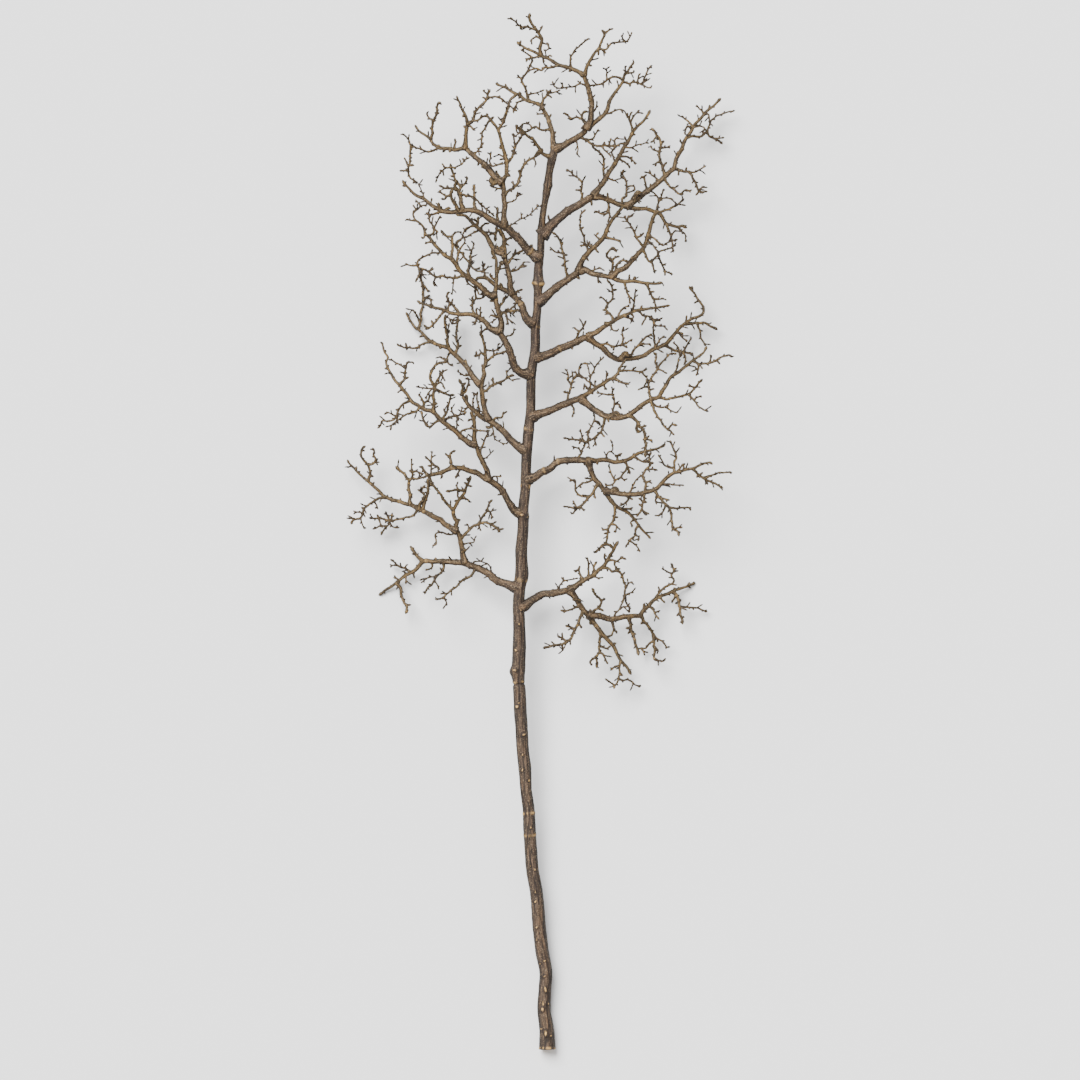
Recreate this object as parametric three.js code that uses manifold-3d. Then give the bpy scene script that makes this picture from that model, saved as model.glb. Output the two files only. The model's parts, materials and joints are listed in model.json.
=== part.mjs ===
// A fallen tree branch: a dead, leafless bough with a slender stem, side limbs that
// fork once or twice into a fan-shaped crown, and crooked twigs. Millimetres, +Z up.
// The branch lies on its back on the ground, foot end at the low Y end. It rests on
// the cut foot and on the tips of its lowest limbs, and its stem rises a little
// towards the crown. The origin is under the middle of its box.
import * as THREE from 'three';
import { mergeVertices } from 'three/addons/utils/BufferGeometryUtils.js';
import Module from 'manifold-3d';

// Driving dimensions

const FOOT_HEIGHT = 12.5; // height of the stem's centre over the ground at its cut foot
const STEM_RISE = 0.066; // how much the stem climbs for each millimetre of its length
const GAP = 0.3; // clearance between one piece of wood and the next
const WELD = 0.001; // corners closer than this are one corner
const SHORTEST_TWIG = 34; // spurs shorter than this are too small for the solids
const KNOB_RADIUS = 2.8; // a short stub this thick is a knob, which the solids keep
const STEM_TOLERANCE = 0.8; // how far a solid may cut a corner of the stem's route
const BEND_TOLERANCE = 4; // the same for a limb
const TWIG_TOLERANCE = 7; // and for a twig
const TWIG_TIP = 0.75; // a twig's tip radius as a share of its base radius
const TWIG_SLOPES = [0.3, -0.25, 0.12, -0.4, 0.42, -0.1, 0.2]; // rise per millimetre, in turn

// Colours of the weathered bark, from the foot to the twigs

const STEM_BARK = { color: 0x695a50, roughness: 0.9, metalness: 0 };
const LIMB_BARK = { color: 0x7d694b, roughness: 0.88, metalness: 0 };
const TWIG_BARK = { color: 0x6b5639, roughness: 0.86, metalness: 0 };

// The stem's route: x, y and radius at each station, from the cut foot to the top fork

const STEM = [
  [1.5, 0, 12.5], [1, 30, 11], [-3, 60, 10], [-1.5, 90, 9.8], [0, 112, 10], [-6.5, 150, 10.2],
  [-10, 180, 10], [-12, 210, 10.2], [-15, 240, 10], [-20.5, 270, 9.7], [-22.5, 300, 9.5],
  [-24.5, 330, 9.6], [-26, 360, 9], [-30, 390, 9], [-31.5, 420, 9.8], [-35, 450, 9.2],
  [-36.5, 480, 9.3], [-38.5, 510, 9.5], [-40, 540, 9], [-41, 552, 8.4], [-41, 575, 9.5],
  [-40, 605, 9.2], [-40.5, 640, 8.3], [-41, 665, 8.2], [-40, 690, 8], [-37, 715, 8.6],
  [-37, 750, 8.2], [-34.5, 780, 7.7], [-34, 810, 7.4], [-31, 840, 7.2], [-30, 870, 7],
  [-28.5, 900, 7.2], [-26, 930, 7.2], [-23, 960, 6.6], [-22.5, 990, 6.5], [-21.5, 1020, 6.5],
  [-16.5, 1050, 6.4], [-16, 1080, 6.4], [-13, 1110, 5.6], [-12, 1140, 6], [-11.5, 1150, 7.5],
  [-11.5, 1170, 6.3], [-8, 1200, 5], [-7, 1225, 5.4], [-5, 1250, 4.6], [-1, 1275, 4.6],
  [2.5, 1296, 5.8], [5, 1315, 5], [9, 1335, 6.2], [13, 1350, 5.5],
];

// The limbs, from the foot to the crown, first those on the left, then the right and the top.
// parent is the piece that a limb grows from, and its first point lies on the parent's middle.
// radii are its base and tip radius. heights are the heights of its middle over the ground at
// even steps of its length, after the base, whose height is the parent's. route is a list of
// x and y in turn. Each twig is its base radius, then its own x and y in turn, and grows from
// the nearest wood of the same limb.

const LIMBS = [
  {
    name: 'left_1', parent: 'stem', radii: [5.6, 1.5], heights: [34, 2],
    route: [-43,694, -51,696, -61,700, -70,703, -76,706, -84,713, -93,718, -103,723, -113,727, -121,730,
      -130,731, -140,732, -151,733, -163,733.5, -174,733, -184,732, -191.5,726, -197,720, -203,716.5,
      -211,712, -218.5,706, -226,700, -234,694, -241.5,690, -249,684, -252,682],
    twigs: [
      [1.7, -106,718, -114,710, -122,707, -130,700, -134,695, -141,691, -148,685, -153,679,
        -159,677, -167,677],
      [1.2, -153,679, -149,672, -148,666],
      [1.7, -154,731, -154,722, -157,717, -163,711, -166,706, -170,700, -176,694, -180,689, -182,683],
      [1.3, -163,712, -170,710, -178,708, -190,704.5],
      [1.1, -180,707.5, -188,700],
      [1.2, -167,704, -163,698, -161,690],
      [1.2, -156,719, -160,724],
      [1.4, -172,732, -172,723, -176,721, -182,720],
      [1.5, -165.5,734, -166.5,739.5],
      [1.6, -143.5,733, -145,738],
      [2.4, -185.5,732, -191.5,739.5, -196,744.5, -200,750, -203,756],
      [1.2, -195,743.5, -202,744.5],
      [1.6, -203,716.5, -211,722, -216.5,724, -222,727, -227,732, -234,737],
      [1.1, -223,727.5, -232,726.5, -235.5,728.5],
      [1.1, -212,722.5, -210,726, -206.5,728],
      [1.3, -201,717.5, -199,712, -198,707],
      [1.2, -211,711.5, -210.5,698],
      [1.2, -221,704, -224,707.5, -230,709],
      [2.2, -224,701, -218.5,691.5, -217.5,682, -213,672, -209,663, -209,658, -211.5,654],
      [1.3, -211,668.5, -206,667, -202,667.5],
      [1.1, -83,713, -84,725, -88,730, -97,732.5, -109,732.5],
      [1.0, -97,732.5, -92.5,738.5],
    ],
  },
  {
    name: 'left_1_upper', parent: 'left_1', radii: [3.7, 1.5], heights: [52, 66],
    route: [-121,732, -124,740, -125,749, -127,759, -129,766.5, -132,776, -135,786, -133,791.5, -137,799,
      -139.5,805, -139,811, -136.5,815, -132,823, -127,830, -121,838, -118.5,845.5, -114.5,853, -112.5,862],
    twigs: [
      [2.6, -125,749, -119,750],
      [1.1, -126,758, -116.5,760.5, -108,762.5, -107,767.5, -104.5,772],
      [2.0, -129,766.5, -123,772, -116.5,779, -109,786, -101,789, -93.5,791.5, -85,790, -78,786, -72,780,
        -68.5,776],
      [1.7, -101,789, -97,798, -91.5,805, -87.5,813, -85,820.5, -80,826],
      [1.2, -86,811, -83,805, -82.5,795.5],
      [1.2, -89,809, -84,808, -78,813.5],
      [1.3, -83.5,789.5, -78,790, -73.5,793],
      [1.2, -102,788, -97,778],
      [1.4, -71,780, -62.5,782],
      [1.1, -75,782, -81,779],
      [1.2, -116.5,780, -117.5,787, -119.5,790],
      [1.3, -134,779, -141.5,773.5, -149,774, -158,777, -165.5,773.5, -165,764.5, -165,759, -171,756],
      [1.6, -134,793, -128,796.5],
      [2.0, -139.5,810, -145.5,816.5, -151,822, -157,832, -162.5,839.5, -169.5,847.5, -174,853],
      [1.8, -120,839.5, -124,839.5, -132,840.5, -141.5,839, -151,838.5],
      [1.2, -132,840.5, -133.5,847, -132,853],
      [1.3, -117,847, -110,845.5],
      [1.3, -117.5,848, -123.5,852],
      [1.2, -115.5,853, -120.5,858],
      [1.4, -125,831, -118.5,826, -114,820.5],
      [1.3, -131,824, -138.5,823.5],
      [1.3, -130,825, -132.5,834, -132,840],
    ],
  },
  {
    name: 'left_1_outer', parent: 'left_1_upper', radii: [3.8, 1.3], heights: [42, 36, 24],
    route: [-133.5,778, -139.5,781, -145.5,785, -152,788, -159,795.5, -166.5,799, -176,804, -184,808,
      -193.5,812.5, -202,817.5, -212.5,820, -222,823.5, -232,826, -239.5,829, -245.5,832, -251,838.5,
      -259,845.5, -266.5,852, -274,859, -282,866.5, -288.5,873.5, -294.5,879, -299,886],
    twigs: [
      [1.8, -239.5,829, -245.5,829, -252,827, -259,823.5, -266.5,817.5, -273.5,811.5, -275,805, -279,798,
        -286,796.5, -290.5,793.5, -292.5,788],
      [1.2, -258,823.5, -254,816.5, -251.5,811],
      [1.1, -275,806, -270.5,799],
      [1.1, -275,806, -282,807, -290,808.5],
      [1.2, -273.5,811.5, -278,814],
      [1.1, -279,798, -275,788, -272,781],
      [1.9, -267,852.5, -264.5,862.5, -265,870.5, -267.5,878, -273.5,885, -277.5,891.5, -277.5,898,
        -273.5,904, -270,906],
      [1.6, -267,878, -258,881, -256,885, -258,892.5, -258.5,898, -260,904],
      [1.3, -257,883, -251.5,887.5],
      [1.3, -264.5,861.5, -258,860.5],
      [1.4, -285,870, -284,876],
      [1.4, -232,826, -232,831],
      [2.3, -204,818, -204,828, -205,837.5, -206.5,847.5, -206.5,855, -211,861.5, -216.5,867.5,
        -222,872.5, -226,876.5],
      [1.6, -206.5,854, -201,858, -193.5,857, -186,858.5, -178,860],
      [1.3, -201,858, -201,866.5, -201.5,876, -201,888],
      [1.4, -201,866.5, -206,870.5],
      [1.5, -201,867, -193.5,867.5, -184,864],
      [1.4, -204,832, -200,835],
      [2.0, -190.5,811, -188.5,820.5, -184,825, -182,834],
      [1.5, -182,834, -187,837.5, -193.5,840.5],
      [1.4, -187,837.5, -184,843.5, -180.5,847.5],
      [2.2, -187,809, -182,820.5, -179,830, -177,841.5, -176.5,851, -177,858],
      [1.6, -192,812, -198,803.5, -204,799.5, -212.5,798.5, -220.5,796.5, -228,794.5, -234,793.5,
        -236,789.5, -240.5,785, -244.5,778, -247.5,771.5],
      [1.5, -234,793.5, -243.5,796.5, -251,797.5, -259,797.5, -266.5,798.5],
      [1.3, -251,797.5, -253.5,804],
      [1.3, -251,797.5, -249,789.5, -245,783],
      [1.4, -232,794, -232,802, -231,806.5],
      [1.4, -234,794.5, -241.5,808.5],
      [1.3, -240,786, -247.5,786.5, -254,784, -261,781],
      [1.2, -235,790, -226,783, -219.5,784],
    ],
  },
  {
    name: 'left_2', parent: 'stem', radii: [5.0, 2.4], heights: [95, 110],
    route: [-42.5,803, -49,811, -52,816.5, -57,824, -62.5,834, -69.5,842.5, -78,850, -87.5,856, -95.5,860,
      -105,865.5, -114.5,868.5, -124,872.5, -136,874, -145.5,871.5, -155,867.5, -162.5,864.5, -170.5,862.5,
      -177,860.5],
    twigs: [
      [3.2, -140,873, -142,879],
      [1.7, -142,879, -143.5,888.5, -143.5,893.5, -138.5,898, -135,900],
      [1.4, -144,889, -152,895],
      [1.3, -171,863, -172,872.5, -171.5,882, -171.5,891.5, -171,899],
      [1.4, -171.5,882, -178,887.5, -182,890.5],
      [1.6, -170,880, -162.5,874, -159,869.5],
      [1.2, -172,876, -178,876.5],
      [1.9, -178,862, -183,870.5, -186.5,874, -189,872.5],
      [1.5, -175,860, -171.5,853, -169.5,847.5],
      [1.4, -124,873, -122.5,878.5],
      [2.2, -104.5,866, -103,870.5],
      [2.0, -70,843, -69,849],
      [1.3, -127.5,873, -133,862.5, -135,856],
      [1.2, -80,851.5, -79,859, -72,860, -66,861],
      [1.3, -160,866, -156,861, -158,856],
    ],
  },
  {
    name: 'left_2_upper', parent: 'left_2', radii: [3.7, 2.3], heights: [104, 118],
    route: [-85,858, -89,869, -92.5,877.5, -97,888, -101.5,898, -105.5,907, -107.5,915.5, -107.5,926,
      -107.5,936.5, -107.5,945, -110,952, -112,958],
    twigs: [
      [1.5, -98.5,893, -95.5,905, -91,917, -87.5,924, -86,928],
      [1.0, -95.5,885, -86,891.5, -78,900],
      [2.4, -93,878, -89,880],
    ],
  },
  {
    name: 'left_2_outer', parent: 'left_2_upper', radii: [3.9, 1.2], heights: [120, 112, 90],
    route: [-107,907, -113.5,909.5, -120.5,914.5, -127.5,920, -134.5,927, -143,933, -151.5,940, -160,946.5,
      -167,954.5, -172.5,958, -179,959.5, -186,962.5, -192,966.5, -200,971, -204.5,977, -208.5,984.5,
      -214,991, -220,997.5, -227,1004.5, -232,1013.5, -236.5,1023, -239,1031.5, -236.5,1037.5, -242.5,1047,
      -245,1055.5, -246.5,1062],
    twigs: [
      [1.4, -129,921, -125.5,928.5, -117,931.5, -108.5,931, -99.5,929, -91,928, -83,929],
      [1.7, -157,944, -150,946, -141,949.5, -132.5,951, -124,954.5, -118.5,958],
      [1.3, -133,951, -139.5,954.5, -142,965],
      [1.2, -133,950.5, -133.5,941.5, -133,931.5],
      [1.2, -133,950, -130,943],
      [1.6, -156.5,943.5, -153.5,948.5, -149,954.5, -146.5,964, -144.5,974.5, -143,980],
      [1.4, -150,954, -153.5,962.5],
      [2.2, -168,955.5, -168,964, -168,974.5, -168,984.5, -167,991.5, -169,998.5, -172.5,1005.5,
        -173,1012.5, -169.5,1021, -163.5,1028, -157,1030.5, -150.5,1031.5, -146.5,1037],
      [1.9, -168,991, -160,988, -153.5,984.5, -144.5,982, -136,981.5],
      [1.6, -168,994, -164.5,1000.5, -160,1009, -157,1014],
      [1.3, -157,1014, -160,1019.5],
      [1.3, -157,1014, -153.5,1007, -150.5,1002],
      [1.3, -157,1014, -151.5,1018.5, -147,1021],
      [1.4, -163,993.5, -157,1001, -153.5,995, -150,990],
      [1.2, -168,992, -181,992.5, -195,995],
      [1.5, -168,969, -161.5,969],
      [1.2, -169,990, -174,988, -177.5,981, -179,974.5],
      [1.7, -185,962, -181,970, -176,974.5, -174,979.5, -169,983],
      [1.5, -182,968.5, -188,979.5, -191.5,984],
      [1.7, -159,945.5, -167,940, -174,934.5, -179,935.5, -182.5,943, -185.5,952, -187,959],
      [1.4, -177,935.5, -179,942],
      [1.5, -188,963.5, -195,957.5, -203.5,954.5, -212,951, -221,945, -229.5,938, -233.5,928.5],
      [1.2, -196.5,957.5, -204.5,956.5],
      [1.7, -203,974, -212,970, -217.5,965.5, -221.5,959, -223.5,950, -222.5,943, -221,938],
      [1.5, -223.5,950, -229.5,944, -238,943, -246,942.5, -247.5,937, -253,932],
      [1.2, -224,950.5, -231,953.5, -238,957],
      [1.2, -221.5,960, -226,960],
      [1.2, -237,956.5, -243,953],
      [1.7, -219,996.5, -212,1005.5, -210.5,1014, -209.5,1021, -208,1028, -206,1033],
      [1.4, -209.5,1021.5, -219,1028, -228,1032.5, -236,1036],
      [1.3, -211.5,1007, -204.5,1008],
      [1.1, -207,1031.5, -197.5,1030],
      [1.1, -211,1014, -219,1017],
      [1.2, -236,1022, -242.5,1022],
      [1.2, -215,992, -223.5,985.5],
    ],
  },
  {
    name: 'left_3', parent: 'stem', radii: [5.2, 2.2], heights: [66, 56],
    route: [-34,900, -41,905, -49.5,913, -58,921, -65,928.5, -73.5,936.5, -82.5,941.5, -91,946, -98,950,
      -105,957, -112,963, -117,969, -122,976, -126,981],
    twigs: [
      [2.0, -126,981, -126,988, -124,997, -128,1002, -131,1007],
      [1.5, -125.5,985, -121,988, -118,996, -116,1002, -118,1010],
      [1.2, -117,999, -113,996],
      [1.3, -124,997, -120,1002],
      [1.7, -120,973, -119,981, -121,984],
      [1.2, -108,960, -110,972, -108,980, -110,985],
      [1.4, -101,953, -100,962, -103,973, -104,982, -103,988],
      [1.5, -104,956, -108,948, -114,945, -118,943],
      [1.3, -115,967, -121,960, -127,957, -127,964, -129,964],
      [1.5, -82,942, -76,948, -66,948.5, -63,958],
      [1.8, -78,939, -86,933, -91,936],
      [1.0, -79,935, -79,925, -76,917, -68,911, -57,910],
      [2.2, -52,915, -48,918],
      [1.1, -65,927, -63,934],
    ],
  },
  {
    name: 'left_3_upper', parent: 'left_3', radii: [3.9, 1.5], heights: [66, 60],
    route: [-86,945, -91,955.5, -93.5,969, -96,981.5, -97,993.5, -95.5,1004, -93.5,1014, -93.5,1023,
      -91,1028, -91,1038.5, -92,1050.5, -93.5,1062.5, -95.5,1071, -98,1075],
    twigs: [
      [1.4, -98,1075, -93,1079, -90,1084],
      [1.2, -98,1075, -97,1083, -98,1089],
      [1.8, -93,1028, -87,1034, -80,1040, -72,1044, -64,1046, -60,1046],
      [1.2, -78,1041, -78,1047, -70,1052, -66,1057, -64,1061],
      [1.0, -72,1051, -72,1060],
      [1.2, -92,1049, -86,1050, -78,1048],
      [1.8, -96,988, -89,990, -80,997, -72,1001, -64,1004, -58,1007, -52,1011, -47,1011],
      [1.3, -58,1007, -58,1014, -61,1020],
      [1.0, -56,1008, -48,1003],
      [1.5, -79,997, -79,1010],
      [1.2, -71,1001, -66,996],
      [1.6, -92,1043, -98,1045, -104,1041, -109,1041],
      [1.3, -104,1042, -105,1049],
      [1.2, -100,1044, -101,1035],
      [1.4, -94,1016, -90,1011],
      [1.3, -96,1024, -97,1029],
      [1.6, -91,1050, -88,1051],
      [2.0, -90,969, -88,977],
    ],
  },
  {
    name: 'left_3_outer', parent: 'left_3_upper', radii: [4.0, 1.3], heights: [44, 26, 14, 2],
    route: [-97,999, -101.5,1000.5, -108.5,1009, -115,1019.5, -122,1029.5, -131,1038.5, -139.5,1046,
      -148,1054, -158.5,1056.5, -167,1060, -176,1065, -182.5,1071.5, -189.5,1079, -196.5,1083.5,
      -201.5,1090.5, -206,1098, -210.5,1108],
    twigs: [
      [2.2, -147,1053, -148,1062, -147.5,1070, -150,1078, -151,1086, -151.5,1094, -150,1103],
      [1.9, -137,1044, -133.5,1051, -132.5,1057, -134,1066, -135,1073, -134,1082, -132.5,1092, -131,1099],
      [1.4, -133,1053, -129,1057, -126,1058],
      [1.3, -135,1069, -138,1070],
      [1.2, -131.5,1092, -139,1090, -143,1092, -146,1098, -150,1099],
      [1.1, -140,1091, -138,1098, -133,1100],
      [1.2, -147,1074, -147,1084, -144,1091],
      [1.4, -144,1049, -147,1040, -150.5,1033],
      [1.4, -149,1035, -154,1037, -160,1041],
      [1.3, -149,1033, -144,1028, -139,1025],
      [1.8, -118,1024, -121,1033, -121,1037],
      [1.3, -112,1013, -119,1012, -127,1014, -134,1019],
      [1.6, -172,1062, -181,1061.5, -187,1059, -192,1055.5, -200,1053.5, -209,1054, -216,1055, -221,1057,
        -224,1061],
      [1.3, -210,1054, -211,1062],
      [1.2, -190,1056, -191,1051],
      [2.4, -180,1069, -182.5,1067],
      [1.3, -184,1073, -191,1069.5],
      [1.9, -192,1081, -190,1088, -188,1097, -188,1106, -186,1116, -184,1124, -182,1127],
      [1.4, -189,1092, -193,1100, -198,1108, -200,1112],
      [1.3, -206,1098, -208.5,1098],
      [1.3, -170,1061, -166,1064],
      [1.4, -158,1056, -159,1051],
      [1.7, -184,1124, -185,1137, -186.5,1149, -188,1156, -187,1168],
      [1.4, -184,1127, -178,1131, -174,1134],
      [1.4, -186,1150, -181,1144, -177,1137],
    ],
  },
  {
    name: 'left_4', parent: 'stem', radii: [5.4, 4.1], heights: [96, 105],
    route: [-30.5,1012.5, -39,1017.5, -46,1023.5, -49.5,1033, -53,1043.5, -56.5,1054, -61.5,1063.5,
      -67,1072, -70,1077],
    twigs: [
      [1.3, -60,1065, -58,1070, -50,1073, -48,1078, -47.5,1083],
      [2.6, -51,1038, -49.5,1041],
      [1.4, -47,1030, -44,1030],
    ],
  },
  {
    name: 'left_4_upper', parent: 'left_4', radii: [3.9, 1.6], heights: [116, 120, 126],
    route: [-69,1080, -67,1089.5, -69.5,1099, -72.5,1112.5, -75,1123.5, -76.5,1135.5, -75,1143.5,
      -74,1159, -74,1174, -75,1185, -79,1194, -82,1200.5],
    twigs: [
      [1.9, -70,1101, -65,1106, -58,1107, -49,1108, -42,1109, -37,1107],
      [1.4, -48,1108, -48,1103],
      [1.4, -61,1106.5, -58,1095, -56.5,1086],
      [1.7, -72,1111, -66,1119, -61,1126, -56,1131],
      [1.4, -63,1123, -63,1130],
      [1.3, -56,1113, -50,1113, -45,1119, -44,1125],
      [1.3, -58,1107, -56,1113],
      [1.6, -71,1099, -77,1100, -84,1102],
      [1.0, -71,1100, -78,1094, -85,1090],
      [1.5, -73,1112, -78,1112],
      [1.3, -77,1123, -82,1123, -85,1122],
      [2.0, -74,1165, -71,1169, -68,1177, -67,1181, -63,1178],
      [1.4, -76,1187, -82,1188],
      [1.4, -77,1153, -83,1162, -82,1165],
      [1.6, -79,1194, -79,1190],
    ],
  },
  {
    name: 'left_4_middle', parent: 'left_4', radii: [3.9, 1.4], heights: [108, 98, 80],
    route: [-71,1077, -82.5,1081.5, -89.5,1090, -98,1097, -106.5,1101.5, -115,1103.5, -127.5,1103.5,
      -139.5,1105, -151.5,1108.5, -160,1111, -170.5,1113.5, -179,1118, -187,1120.5, -194,1124],
    twigs: [
      [1.7, -107,1101.5, -110,1110, -110,1120, -111,1130],
      [1.5, -109,1121, -104,1126, -97,1127, -91,1131],
      [1.3, -104,1126, -106,1133, -105,1141, -111,1146, -119,1151, -121,1158],
      [1.3, -110,1116, -115,1116],
      [1.3, -98,1098, -98,1110, -98,1115],
      [1.3, -103,1100, -105,1112],
      [1.4, -103,1100, -105,1093, -107,1086],
      [1.2, -104,1091, -112,1091],
      [1.4, -95,1095, -92,1100],
      [1.3, -91,1086, -89,1093],
      [1.8, -131,1104, -135,1112, -141,1118, -146,1124, -149,1131, -146,1138],
      [1.3, -142,1119, -139,1127],
      [1.5, -147,1108, -145,1117, -143,1122],
      [1.2, -146,1123, -151,1121],
      [1.7, -153,1108, -158,1101, -165,1093, -172,1085, -176,1082, -184,1087],
      [1.4, -169,1089, -172,1095],
      [1.3, -175,1082, -182,1080],
      [1.5, -170,1113.5, -172,1121, -173,1127],
      [1.6, -172,1114, -172,1111],
      [1.2, -131,1103, -133,1096, -138,1092],
    ],
  },
  {
    name: 'left_4_outer', parent: 'left_4_upper', radii: [4.0, 1.2], heights: [138, 152, 140],
    route: [-76,1131, -82,1131, -91,1137, -99,1143.5, -106.5,1151, -114,1157, -122,1162, -129.5,1169.5,
      -135.5,1179, -142,1185, -149.5,1188, -155.5,1194, -162,1202, -168,1209.5, -174,1217, -180.5,1223.5,
      -182,1231, -188,1239, -197,1245, -199.5,1251, -198,1259],
    twigs: [
      [1.7, -121,1161, -129,1158.5, -138,1157, -147,1158, -158,1160, -165,1158, -171,1163, -178,1167,
        -185,1170, -190,1172, -192,1180, -185,1187, -175,1192, -166,1194, -158,1193],
      [1.4, -192,1175, -202,1175, -211,1179],
      [1.4, -176,1166, -167,1171],
      [1.3, -165,1158, -168,1150, -165,1144],
      [1.5, -190,1171, -190,1160, -196,1150],
      [1.4, -186,1169, -187,1158, -188,1151],
      [1.1, -138,1157, -139,1145, -140,1132],
      [1.2, -136,1157, -136,1163],
      [2.0, -138,1182, -141,1190, -140,1200, -140,1212, -141,1218, -147,1219, -153,1224, -158,1229],
      [1.4, -141,1218, -134,1225, -125,1226],
      [1.8, -133,1175, -132,1187, -131,1195, -134,1203, -133,1211],
      [1.5, -134,1203, -137,1207, -144,1210],
      [1.4, -133,1211, -127,1216, -120,1218, -110,1224, -104,1227],
      [1.3, -131,1213, -127,1216, -124,1222, -121,1230, -113,1234],
      [1.3, -131,1195, -126,1204, -121,1211, -121,1217],
      [1.4, -131,1196, -125,1194, -121,1194],
      [1.5, -125,1194, -120,1185, -114,1179, -109,1171, -103,1167, -95,1167, -90,1162],
      [2.2, -115,1158, -116,1168, -114,1182, -112,1193],
      [1.3, -112,1193, -109,1203, -108,1210],
      [1.3, -113,1181, -107,1179],
      [1.6, -90,1137, -91,1144],
      [1.4, -98,1144, -98,1151],
      [1.4, -128,1168, -139,1168],
      [1.6, -177,1218, -170,1222, -168,1231, -174,1242, -175,1253],
      [1.3, -168,1231, -161,1224],
      [1.3, -168,1231, -163,1240, -157,1250],
      [1.4, -172,1211, -182,1208],
      [1.4, -181,1224, -184,1217, -187,1219],
      [1.2, -181,1228, -177,1231],
      [1.4, -194,1243, -202,1243, -210,1245],
      [1.4, -198,1256, -191,1260, -183,1265, -178,1264],
      [1.3, -187,1263, -196,1274],
      [1.2, -194,1259, -199,1267],
    ],
  },
  {
    name: 'left_5', parent: 'stem', radii: [5.4, 1.9], heights: [74, 60],
    route: [-22,1089.5, -28,1096, -32.5,1105, -35.5,1114, -42,1123.5, -49.5,1131, -57,1136.5, -65,1140.5,
      -72.5,1144, -80.5,1151, -88,1156.5, -95.5,1158, -105,1157],
    twigs: [
      [1.4, -49,1131, -45,1137, -34,1140],
      [1.3, -42,1124, -38,1131],
      [1.9, -66,1141, -70,1151],
      [1.4, -87,1156, -92,1165, -94,1171, -91,1181],
      [1.2, -92,1168, -95,1180],
      [1.2, -92,1168, -86,1177],
      [1.2, -103,1157, -105,1150, -106,1144],
      [1.2, -107,1134, -99,1134, -92,1138],
      [1.2, -106,1144, -107,1134],
      [1.3, -47,1132, -44,1121, -49,1114],
    ],
  },
  {
    name: 'left_5_upper', parent: 'left_5', radii: [4.0, 2.4], heights: [76, 72],
    route: [-51,1133, -53.5,1145, -54,1154, -57,1166.5, -59.5,1177, -60.5,1188, -62.5,1197, -63.5,1206.5,
      -63.5,1216, -66,1224, -70,1232],
    twigs: [
      [1.6, -55,1160, -53,1167, -45,1170, -38,1173, -28,1177],
      [1.3, -38,1172, -33,1183],
      [1.3, -49,1169, -49,1173],
      [1.7, -59,1178, -52,1186, -46,1193, -38,1197, -33,1199],
      [1.4, -46,1193, -46,1202],
      [1.3, -41,1196, -38,1194],
      [1.5, -63,1210, -58,1215, -52,1220],
      [1.2, -62,1213, -55,1206],
      [2.2, -65,1222, -73,1230, -76,1222, -77,1212],
      [1.5, -74,1229, -74,1236],
      [1.2, -77,1224, -83,1225, -86,1232],
      [2.6, -62,1190, -68,1192],
      [2.4, -63,1203, -71,1204],
    ],
  },
  {
    name: 'left_5_outer', parent: 'left_5_upper', radii: [3.9, 1.7], heights: [66, 52],
    route: [-65.5,1196, -71,1197, -79,1203.5, -85,1214, -91,1223.5, -99,1230.5, -108,1239, -115.5,1246.5,
      -120.5,1251, -128,1252.5, -136,1253.5],
    twigs: [
      [1.5, -98,1230, -95,1236, -89,1240, -84,1240],
      [1.8, -104,1236, -102,1243, -101,1251],
      [1.5, -107,1237, -114,1234, -120,1230, -124,1226],
      [1.3, -101,1229, -107,1226],
      [1.6, -73,1198, -73,1207],
      [1.8, -80,1203, -80,1195, -77,1188],
    ],
  },
  {
    name: 'left_6', parent: 'stem', radii: [5.6, 1.6], heights: [108, 120, 110, 100],
    route: [-12,1188, -18,1192, -26.5,1199, -34,1208, -42,1217, -48,1223, -55.5,1229.5, -63.5,1234,
      -72.5,1239.5, -79,1243.5, -85,1247, -92.5,1252, -100,1255.5, -108,1258, -115.5,1259, -123.5,1258,
      -131,1256.5, -140,1256, -149.5,1257, -157,1258, -163.5,1260.5, -169.5,1265.5, -175.5,1270.5,
      -183.5,1275.5, -191,1279.5, -199,1285.5, -206.5,1292.5, -212,1299.5, -214.5,1305],
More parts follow.
